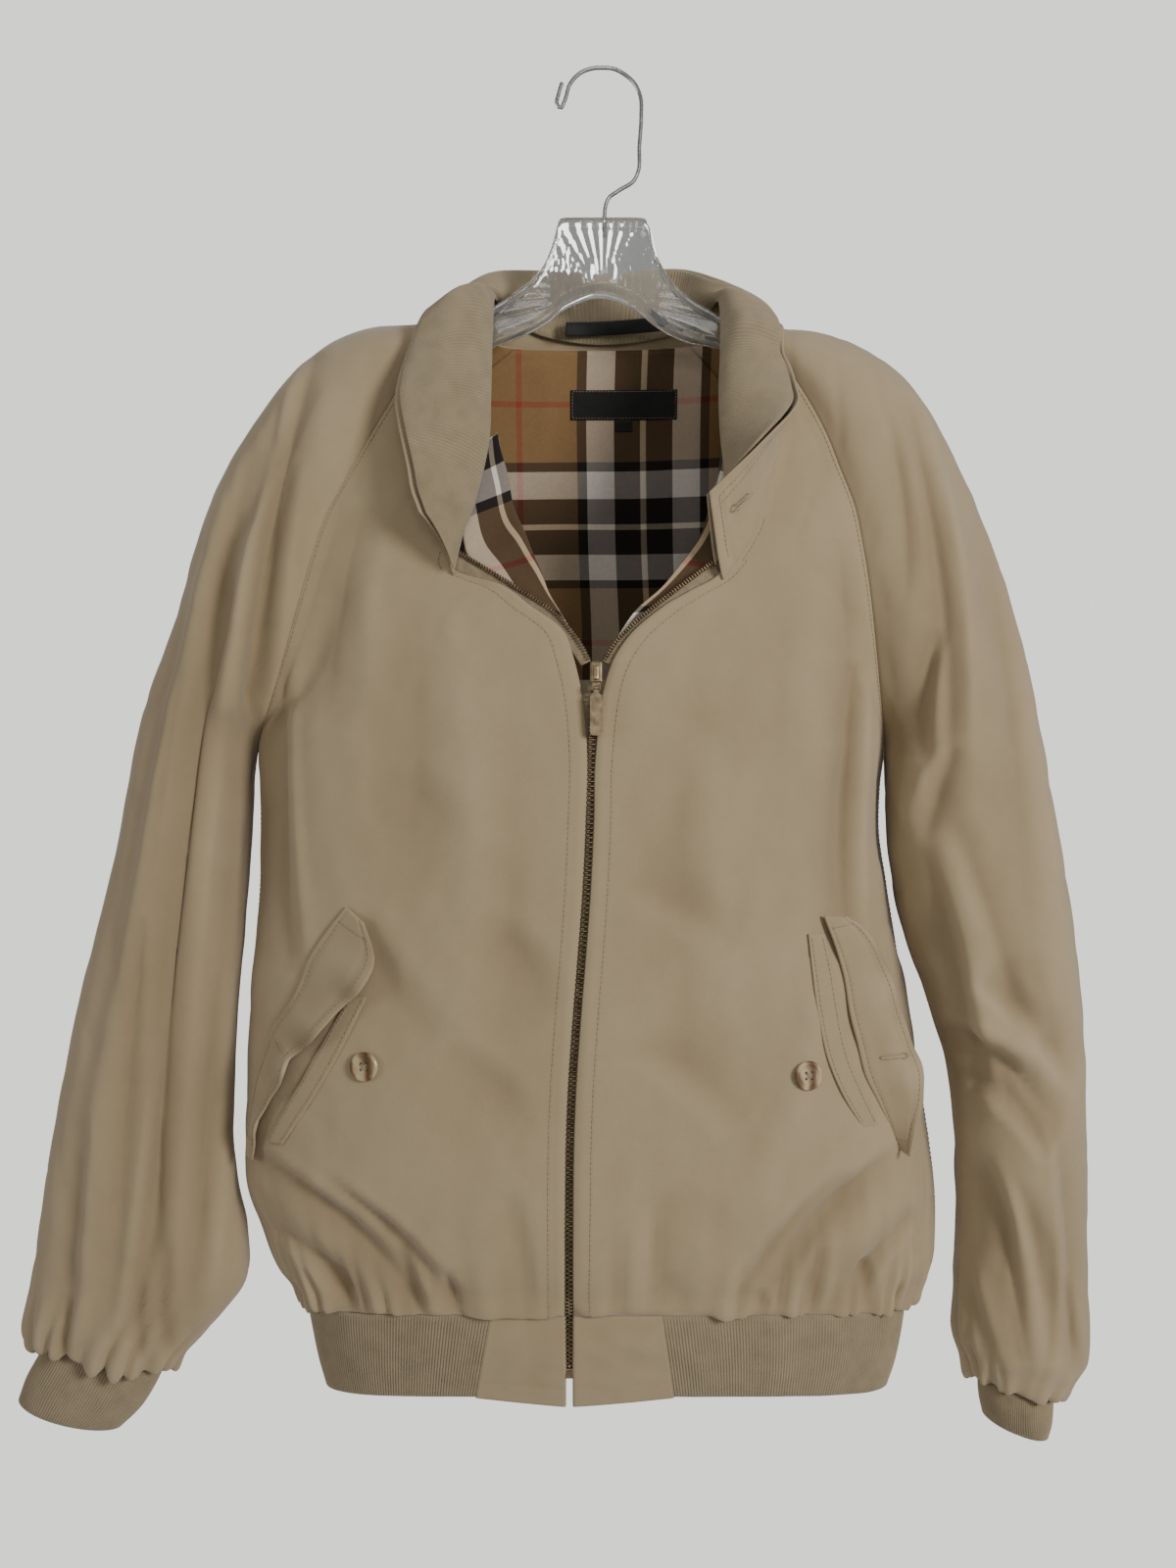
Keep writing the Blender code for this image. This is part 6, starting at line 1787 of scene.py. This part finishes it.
    def build(self) -> dict[str, Object]:
        """Both plies: the knit one with ribs across the band."""
        f, made = self.finishes, {}
        outer = refine(self.shell, *COTTON_PLY_SIZE)
        outer[:, 0] -= unit(outer[:, 1] - outer[:, 0]) * 5.2
        n = unit(refine(self.shell_n, *COTTON_PLY_SIZE))
        u, v = np.linspace(0, 1, COTTON_PLY_SIZE[0])[:, None], np.linspace(0, 1, COTTON_PLY_SIZE[1])[None, :]
        beat = waves(np.stack([u * 540 + 0 * v, 0 * u * v, 14 * v + 0 * u], -1), 9, 81)
        beside = np.exp(-((v - 0.86) / 0.06) ** 2) + np.exp(-((u - 0.975) / 0.02) ** 2)
        pucker = -0.35 * (0.5 + 0.5 * beat) * beside * np.clip((1 - v) / 0.05, 0, 1)
        self.fine_shell, self.fine_n = outer - n * pucker[..., None], n
        made["collar_shell"] = wall("collar_shell_cloth", self.fine_shell, outer + n * COLLAR_WALL,
                                    (f.shell,), None, 1.1, -pucker * 0.3)
        run = float(np.linalg.norm(np.diff(self.knit[:, 3], axis=0), axis=1).sum())
        base = refine(self.knit, *KNIT_PLY_SIZE)
        n = normals(base, refine(np.repeat(self.way[:, None], 6, 1), *KNIT_PLY_SIZE))
        high = rib_wave(run, KNIT_PLY_SIZE[0])[:, None]
        v = np.linspace(0, 1, KNIT_PLY_SIZE[1])[None, :]
        sway = 0.35 * waves(base, 45, 83) * np.sin(pi * v) ** 0.5
        face = base + n * (1.45 + 0.26 * high + sway)[..., None]
        # Its tint is painted shade: darker between the ribs, lighter on their tops.
        made["collar_knit"] = wall("collar_knit_rib", face, base, (f.knit,), None, 0.7,
                                   0.08 * (high - 0.4) + 0 * v)
        return made

    def sew(self, sewing: Sewing) -> Object:
        """Topstitching round the cotton ply: beside its top edge and at both front ends."""
        g, n = self.fine_shell, -self.fine_n
        for col in (-5, -8):
            sewing.line(g[4:-4, col], n[4:-4, col])
        for row in (5, -6):
            sewing.line(g[row, 1:-4], n[row, 1:-4])
        return sewing.finish("collar_topstitch")

    def buttonhole(self) -> Object:
        """Keyhole buttonhole on the right front end of the cotton ply: close stitches round its outline."""
        g, n = self.fine_shell[250:], -self.fine_n[250:]
        far = (g[..., 0] - 87) ** 2 + (g[..., 2] + 302) ** 2
        row, col = np.unravel_index(np.argmin(far), far.shape)
        centre, out = g[row, col], n[row, col] * np.sign(-n[row, col, 1])
        way = unit(np.array([0.9, 0, 0.42]) - out * (np.array([0.9, 0, 0.42]) @ out))
        long, wide = keyhole(8.5, -1, 2.4, 1.2, 5.0)
        path = centre + way * long[:, None] + np.cross(way, out) * wide[:, None] + out * 2.4
        sewing = Sewing(self.finishes)
        sewing.line(path, out, 0.5, 0.9)
        return sewing.finish("collar_buttonhole", 2.2, 0.9)


class Pockets:
    """Slanted pockets: flaps that stand open, narrow lips, and four-hole buttons with their buttonholes."""

    def __init__(self, block: GarmentBlock, finishes: Finishes) -> None:
        """Keeps the block and materials."""
        self.block, self.finishes = block, finishes
        self.flaps: dict[str, tuple[Array, Array]] = {}

    def build(self) -> dict[str, Object]:
        """Both flaps and both lips."""
        made, f = {}, self.finishes
        for i, (tag, rows) in enumerate((("left", FLAP_LEFT), ("right", FLAP_RIGHT))):
            a = np.array(rows, float)
            s = np.linspace(0, 1, 5)[None, :]
            x, z = (a[:, k:k + 1] + (a[:, k + 2:k + 3] - a[:, k:k + 1]) * s for k in (0, 1))
            base = refine(self.block.front_at(x, z, 0.6 + (a[:, 4:5] - 0.6) * s**1.2), *FLAP_SIZE)
            n = normals(base, AHEAD)
            u = np.linspace(0, 1, FLAP_SIZE[1])[None, :]
            ridge = -0.35 * np.exp(-((u - 0.80) / 0.05) ** 2) - 0.3 * np.exp(-((u - 0.10) / 0.05) ** 2)
            depth = waves(base, 34, 91 + i) * u + ridge
            outer, inner = base + n * (1.6 + depth)[..., None], base + n * np.clip(depth, -0.4, 1)[..., None]
            # depth * 0.2 is painted shade: darker in the flap's dips and fold lines, lighter on its bumps.
            made[f"pocket_flap_{tag}"] = wall(f"pocket_flap_{tag}_cloth", outer, inner, (f.shell,), None, 1.0,
                                              depth * 0.2)
            self.flaps[tag] = (outer, n)
        for tag, rows, side in (("left", LIP_LEFT, -1), ("right", LIP_RIGHT, 1)):
            a = np.array(rows, float)
            s = np.linspace(0, 1, 3)[None, :]
            x = a[:, 0:1] + side * a[:, 2:3] * 0.5 * (1 - 2 * s)
            base = refine(self.block.front_at(x, a[:, 1:2] + 0 * s, 0.35), *LIP_SIZE)
            n = normals(base, AHEAD)
            outer = base + n * 1.1
            made[f"pocket_lip_{tag}"] = wall(f"pocket_lip_{tag}_cloth", outer, base, (f.shell,), None, 0.6)
            self.flaps["lip_" + tag] = (outer, n)
        return made

    def sew(self, sewing: Sewing) -> Object:
        """Edge sewing round flaps and lips."""
        for tag in ("left", "right"):
            g, n = self.flaps[tag]
            for col in (4, -5):
                sewing.line(g[4:-4, col], n[4:-4, col])
            for row in (5, -6):
                sewing.line(g[row, 3:-4], n[row, 3:-4])
            g, n = self.flaps["lip_" + tag]
            for col in (2, -3):
                sewing.line(g[1:-1, col], n[1:-1, col])
        return sewing.finish("pocket_topstitch")

    def buttonholes(self) -> Object:
        """Keyhole buttonholes: a dense row of stitches round a slot with a round end, on each flap."""
        sewing = Sewing(self.finishes)
        for tag in ("left", "right"):
            g, n = self.flaps[tag]
            row = 52 if tag == "left" else 50
            mid, out = g[row], n[row, 20]
            run = run_along(mid)
            way = unit(mid[30] - mid[10])
            side = np.cross(way, out)
            centre = mid[int(np.searchsorted(run, run[-1] * 0.55))]
            long, wide = keyhole(9, 1, 2.3, 1.3, 5.5)
            path = centre + way * long[:, None] + side * wide[:, None]
            sewing.line(path, out, 0.35, 0.7)
        return sewing.finish("flap_buttonholes", 1.3, 0.7)

    def button_threads(self) -> Object:
        """Two crossed threads over the holes of each button."""
        places, frames = [], []
        for _, x, z in BUTTONS:
            place = self.block.front_at(np.array([x]), np.array([z]), 0.5)[0]
            step = self.block.front_at(np.array([x - 4, x + 4, x, x]), np.array([z, z, z - 4, z + 4]), 0.0)
            face = unit(np.cross(step[1] - step[0], step[3] - step[2]))
            face = face if face[1] < 0 else -face
            right = unit(np.cross(UP, face))
            up = np.cross(face, right)
            for way, off in ((unit(right + up), 2.1), (unit(right - up), 2.3)):
                for shift in (-0.35, 0.35):
                    places.append(place + face * off + np.cross(face, way) * shift)
                    frames.append(np.stack([way, np.cross(face, way), face]))
        shape, faces = pill(5.6, 0.5, 0.5)
        return scatter("button_threads", shape, faces, np.array(places), np.array(frames),
                       self.finishes.thread)


class Zip:
    """Metal zip: interlocked teeth down the closed front and one row along each open edge, on woven tapes."""

    def __init__(self, block: GarmentBlock, finishes: Finishes) -> None:
        """Keeps the block and materials."""
        self.block, self.finishes = block, finishes

    def _open_path(self, side: int) -> tuple[Array, Array]:
        """Edge of an open tape and the direction of its width."""
        rows = np.array(ZIP_OPEN_LEFT if side < 0 else ZIP_OPEN_RIGHT, float)
        s = np.linspace(0, 1, 90)
        x, z = (smooth(s, np.linspace(0, 1, 6), rows[:, k]) for k in (0, 1))
        path = self.block.front_at(x, z, -3.6)
        down = unit(np.cross(unit(np.gradient(path, axis=0)), [0, 1.0, 0]))
        return path, np.where(down[:, 2:3] > 0, -down, down)

    def build(self) -> dict[str, Object]:
        """Teeth, closed tapes and open tapes."""
        f, made = self.finishes, {}
        z = np.linspace(-418, -845, 400)
        line = resample(zip_line(z), CLOSED_PITCH)
        t = unit(np.gradient(line, axis=0))
        side = np.where(np.arange(len(line)) % 2 == 0, -1.0, 1.0)[:, None]
        out = np.tile([0, -1.0, 0], (len(line), 1))
        out = unit(out - t * np.sum(out * t, -1, keepdims=True))
        wide = np.cross(t, out)
        shape, faces = tooth_shape(TOOTH, TOOTH_EDGE)
        places = [line + wide * side * 0.95 - out * 0.6]
        frames = [np.stack([wide, t, out], 1)]
        for s in (-1, 1):
            path, _ = self._open_path(s)
            spots = resample(path, OPEN_PITCH)
            tt = unit(np.gradient(spots, axis=0))
            fwd = np.tile([0, -1.0, 0], (len(spots), 1))
            fwd = unit(fwd - tt * np.sum(fwd * tt, -1, keepdims=True))
            places.append(spots + fwd * 0.9)
            frames.append(np.stack([np.cross(tt, fwd), tt, fwd], 1))
        made["zip_chain"] = scatter("zip_teeth", shape, faces, np.concatenate(places), np.concatenate(frames),
                                    f.bronze, True)
        thick = np.array([0, 0.8, 0])
        for tag, s in (("left", -1), ("right", 1)):
            tz = np.linspace(-413, -852, 160)
            path = zip_line(tz) + np.array([s * 0.3, 3.6, 0])
            cols = np.linspace(0, 1, 8)[None, :, None]
            near = path[:, None] + np.array([s * 1.0, 0.03, 0]) * 13 * cols
            made[f"zip_tape_{tag}"] = wall(f"zip_tape_{tag}_woven", near, near + thick, (f.tape,), None, 0.2)
            path, down = self._open_path(s)
            near = path[:, None] + down[:, None] * np.linspace(1, 0.5, 90)[:, None, None] * 12 * cols
            near[:, 0] -= down * 0.6
            made[f"zip_tape_open_{tag}"] = wall(f"zip_tape_open_{tag}_woven", near, near + thick, (f.tape,),
                                                None, 0.2)
        return made


class Lining:
    """Check lining inside the back and the open fronts, and the bare black labels."""

    def __init__(self, block: GarmentBlock, finishes: Finishes) -> None:
        """Keeps the block and materials."""
        self.block, self.finishes = block, finishes

    def build(self, back: Cloth) -> dict[str, Object]:
        """Back lining on the back's inner face, front linings, and two labels."""
        f, made = self.finishes, {}
        cut = slice(16, -16)
        face = back.inner[:, cut] - back.normal[:, cut] * 0.4
        calm = refine(self.block.panels["back"].inner, *BACK_SIZE)[:, cut] - back.normal[:, cut] * 1.1
        face = np.where((np.sum((face - calm) * back.normal[:, cut], -1) > 0)[..., None], calm, face)
        face, n = face[::2, ::2], back.normal[:, cut][::2, ::2]
        made["lining_back"] = wall("lining_back_check", face - n * 0.6, face, (f.check,), None, 0.2)
        for i, (tag, rows) in enumerate((("left", LINING_LEFT), ("right", LINING_RIGHT))):
            a = np.array(rows, float).reshape(len(rows), 3, 3)
            a[:, 0] = self.block.front_at(a[:, 0, 0], a[:, 0, 2], -5.2)
            first, middle, last = a[:, 0], a[:, 1], a[:, 2]
            grid = np.stack([first, (first + middle) / 2, middle, (middle + last) / 2, last], axis=1)
            grid = refine(grid, 70, 40)
            n = normals(grid, np.array([0.6 if tag == "left" else -0.6, -0.6, 0.4]))
            u = np.linspace(0, 1, 40)[None, :]
            depth = 0.9 * waves(grid, 40, 101 + i) * np.sin(pi * u) - 1.0 * np.sin(pi * u)
            made[f"lining_front_{tag}"] = wall(f"lining_front_{tag}_check", grid + n * depth[..., None],
                                               grid + n * (depth - 0.9)[..., None], (f.band,), None, 0.3)
        for name, x0, x1, z0, z1 in (("neck_label", -20, 54, -203, -223), ("size_label", 11, 23, -224, -231)):
            x, z = np.meshgrid(np.linspace(x0, x1, 60), np.linspace(z0, z1, 18))
            y = self.block.surface(x, z, "back") - WALL - 1.25 - 0.35
            grid = np.stack([x, y, z], -1)
            lift = 0.25 * waves(grid, 26, 111)
            thick = np.stack([0 * lift, 0.8 + np.abs(lift), 0 * lift], -1)
            made[name] = wall(name + "_woven", grid - thick, grid, (f.label,), None, 0.2)
        return made

    def hanger_loop(self) -> Object:
        """Bare black tape across the back of the neck, its ends tucked under: a strip bowed downward."""
        u, v = np.meshgrid(np.linspace(-1, 1, 60), np.linspace(0, 1, 10))
        x = 11 + 34 * u
        z = -160.5 - 9.5 * v + 2.5 * np.clip(1 - u**2, 0, 1)
        y = 35.5 - 0.012 * (x - 2) ** 2 - 1.2 * np.sin(pi * v) - 1.5 * (1 - u**2)
        grid = np.stack([x, y, z], -1)
        return wall("neck_tape_black", grid, grid + [0, 1.0, 0], (self.finishes.label,), None, 0.3)

    def sew(self, sewing: Sewing) -> Object:
        """Sewing round the neck label."""
        corners = np.array([(-19, -204), (53, -204), (53, -222), (-19, -222), (-19, -204)], float)
        path = np.concatenate([np.linspace(corners[i], corners[i + 1], 20) for i in range(4)])
        y = self.block.surface(path[:, 0], path[:, 1], "back") - WALL - 2.7
        sewing.line(np.stack([path[:, 0], y, path[:, 1]], -1), np.array([0, -1.0, 0]), 0.1, 2.2)
        return sewing.finish("label_stitches", 1.5, 0.4)


class Hanger:
    """Clear moulded hanger: a web between rounded rims, with ribs that spread from under the hook."""

    def __init__(self, finishes: Finishes) -> None:
        """Keeps the materials."""
        self.finishes = finishes

    def build(self) -> Object:
        """Sections along x: a loop of 52 points round two rims and two web faces.

        The web faces carry ribs: a cosine of the angle about a point under the hook, fading outward, and a
        ring and stem in the middle; along the left arm the ribs follow the arm.
        """
        xs = np.unique(np.concatenate([np.linspace(-207, 202, 330), column(HANGER, HANGER_COLUMNS, "x")]))
        take = lambda n: smooth(xs, column(HANGER, HANGER_COLUMNS, "x"), column(HANGER, HANGER_COLUMNS, n))
        top, foot, half = take("top"), take("foot"), take("half")
        a = np.linspace(0, pi, 9)
        web = np.linspace(0, 1, 15)[1:-1]
        rim = 3.2
        y_rim = lambda s: s[None, :] * half[:, None]
        upper = np.stack([-y_rim(np.cos(a)), (top - rim)[:, None] + rim * np.sin(a)[None]], -1)
        lower = np.stack([y_rim(np.cos(a)), (foot + rim)[:, None] - rim * np.sin(a)[None]], -1)
        down = (top - rim - 1.4)[:, None] + ((foot + rim + 1.4) - (top - rim - 1.4))[:, None] * web[None]
        thick = (half * 0.42)[:, None] + 0 * down
        spread = np.arctan2(down + 150, xs[:, None] - 2)
        out = np.hypot(xs[:, None] - 2, down + 150)
        mask = np.clip((95 - out) / 20, 0, 1) * np.clip((out - 12) / 5, 0, 1)
        ribs = 1.25 * np.abs(np.cos(spread * 19)) ** 0.8 * mask
        arm = np.clip((out - 80) / 30, 0, 1) * (xs[:, None] < 60)
        ribs += 0.5 * np.abs(np.cos(pi * 5 * web[None] + 0 * down)) * arm
        ribs += 1.1 * np.exp(-((np.hypot(xs[:, None] - 1.4, down + 135) - 8) / 1.1) ** 2)
        ribs += 0.9 * np.exp(-((xs[:, None] - 2) / 1.1) ** 2) * (down < -143)
        behind = np.stack([thick, down], -1)
        ahead = np.stack([-thick - ribs, down], -1)[:, ::-1]
        loop = np.concatenate([upper, behind, lower, ahead], 1)
        points = np.concatenate([np.broadcast_to(xs[:, None, None], (*loop.shape[:2], 1)), loop], -1)
        count = loop.shape[1]
        c = np.arange(count)
        d = (c + 1) % count
        r = (np.arange(len(xs) - 1) * count)[:, None]
        sides = np.stack([r + c, r + d, r + count + d, r + count + c], -1).reshape(-1, 4)
        last = (len(xs) - 1) * count
        faces = sides[:, ::-1].tolist() + [list(range(count)), list(range(last + count - 1, last - 1, -1))]
        made = make_object("hanger_moulding", points.reshape(-1, 3), faces, [self.finishes.plastic])
        outward_faces(made)
        return made


def outward_faces(piece: Object) -> None:
    """Turns a closed mesh's faces outward, by the sign of its volume."""
    work = bmesh.new()
    work.from_mesh(piece.data)
    bmesh.ops.recalc_face_normals(work, faces=work.faces)
    if work.calc_volume(signed=True) < 0:
        bmesh.ops.reverse_faces(work, faces=work.faces)
    work.to_mesh(piece.data)
    work.free()


@dataclass(frozen=True)
class Lamp:
    """A round soft light: where it stands and aims, m, its width, m, and its power, W."""

    name: str
    place: tuple[float, float, float]
    aim: tuple[float, float, float]
    size: float
    power: float


LAMPS = (
    Lamp("key", (1.45, -1.6, -0.05), (0, 0, -0.5), 0.7, 33),
    Lamp("fill", (-1.7, -1.0, -0.3), (0, 0, -0.5), 0.8, 6),
    Lamp("front", (0.1, -2.3, 0.1), (0, 0, -0.4), 0.6, 5),
    Lamp("top", (0.1, -0.1, 1.2), (0, 0, -0.4), 0.9, 2),
    Lamp("rim", (-0.6, 1.5, 0.5), (0, 0, -0.4), 1.2, 12),
)


class Studio:
    """Plain pale floor, even pale surround, soft lights and the camera."""

    def build(self) -> None:
        """Makes them all."""
        mesh = bpy.data.meshes.new("floor")
        a = np.linspace(0, 2 * pi, 97)[:-1]
        edge = np.stack([1.05 * np.cos(a), 0.05 + np.sin(a), 0 * a - 1.62], -1)
        mesh.from_pydata(edge.tolist(), [], [list(range(len(edge)))])
        mesh.materials.append(Floor("floor_pale").make())
        floor = bpy.data.objects.new("floor", mesh)
        bpy.context.scene.collection.objects.link(floor)
        world = bpy.data.worlds.new("pale_surround")
        world.use_nodes = True
        tree = world.node_tree
        tree.nodes["Background"].inputs["Strength"].default_value = 0.38
        tree.nodes["Background"].inputs["Color"].default_value = linear(214, 213, 210)
        seen = tree.nodes.new("ShaderNodeBackground")
        seen.inputs["Color"].default_value = linear(211, 211, 207)
        seen.inputs["Strength"].default_value = 2.0
        direct = tree.nodes.new("ShaderNodeLightPath")
        pick = tree.nodes.new("ShaderNodeMixShader")
        tree.links.new(direct.outputs["Is Camera Ray"], pick.inputs[0])
        tree.links.new(tree.nodes["Background"].outputs[0], pick.inputs[1])
        tree.links.new(seen.outputs[0], pick.inputs[2])
        tree.links.new(pick.outputs[0], tree.nodes["World Output"].inputs[0])
        bpy.context.scene.world = world
        for lit in LAMPS:
            lamp = bpy.data.lights.new(lit.name, "AREA")
            lamp.shape, lamp.size, lamp.energy = "DISK", lit.size, lit.power
            lamp.color = (1.0, 0.985, 0.96)
            holder = bpy.data.objects.new(lit.name, lamp)
            holder.location = lit.place
            holder.rotation_euler = (Vector(lit.aim) - Vector(lit.place)).to_track_quat("-Z", "Y").to_euler()
            bpy.context.scene.collection.objects.link(holder)
        view = bpy.data.cameras.new("camera")
        view.sensor_fit, view.sensor_width, view.lens = "AUTO", 36.0, 36.0
        holder = bpy.data.objects.new("camera", view)
        holder.location = (-0.008, -1.05, -0.478)
        holder.rotation_euler = (pi / 2, 0, 0)
        bpy.context.scene.collection.objects.link(holder)
        bpy.context.scene.camera = holder


# Material slot of each piece, by the starts of its node names
SLOTS = {"shell_cotton": ("sleeve", "front", "back", "collar_shell", "hem_tab", "pocket_flap", "pocket_lip"),
         "rib_knit": ("hem_rib", "cuff", "collar_knit"), "lining_check": ("lining",),
         "label_black": ("neck_label", "size_label"),
         "zip_tape": ("zip_tape",), "zip_metal": ("zip_chain",), "clear_plastic": ("hanger",)}


def slot_of(node: str) -> str:
    """The material slot of a node's piece."""
    return next(slot for slot, starts in SLOTS.items() if node.startswith(starts))


def main() -> None:
    """Builds every sub-assembly around the frame and reports each piece."""
    logging.basicConfig(level=logging.INFO, format="%(message)s")
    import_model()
    finishes, block = Finishes(), GarmentBlock()
    shell = Shell(block, finishes)
    made = shell.build()
    extras: dict[str, tuple[Object, str]] = {}
    hem = HemAndCuffs(block, finishes)
    made.update(hem.build())
    collar = Collar(block, finishes)
    made.update(collar.build())
    pockets = Pockets(block, finishes)
    made.update(pockets.build())
    made.update(Zip(block, finishes).build())
    lining = Lining(block, finishes)
    made.update(lining.build(shell.cloth["back"]))
    made["hanger"] = Hanger(finishes).build()
    sewing = Sewing(finishes)
    extras["shell"] = (shell.sew(sewing), "shell_cotton")
    extras["collar"] = (collar.sew(sewing), "shell_cotton")
    extras["pockets"] = (pockets.sew(sewing), "shell_cotton")
    extras["holes"] = (pockets.buttonholes(), "shell_cotton")
    extras["collar_hole"] = (collar.buttonhole(), "shell_cotton")
    extras["threads"] = (pockets.button_threads(), "shell_cotton")
    extras["label"] = (lining.sew(sewing), "label_black")
    extras["tape"] = (lining.hanger_loop(), "label_black")
    for node, piece in made.items():
        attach(piece, "jacket")
        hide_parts(node)
        slot_of(node)
        LOG.info("%s: %d faces", piece.name, len(piece.data.polygons))
    for piece, slot in extras.values():
        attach(piece, "jacket")
        LOG.info("%s: %d faces", piece.name, len(piece.data.polygons))
    for node, finish in (
            ("zip_slider", finishes.bronze), ("zip_pull", finishes.bronze), ("zip_stop", finishes.bronze),
            ("pocket_button_left", finishes.horn), ("pocket_button_right", finishes.horn),
            ("hook", finishes.steel)):
        solid = bpy.data.objects[node]
        solid.data.materials.clear()
        solid.data.materials.append(finish)
    Studio().build()


if __name__ == "__main__":
    main()
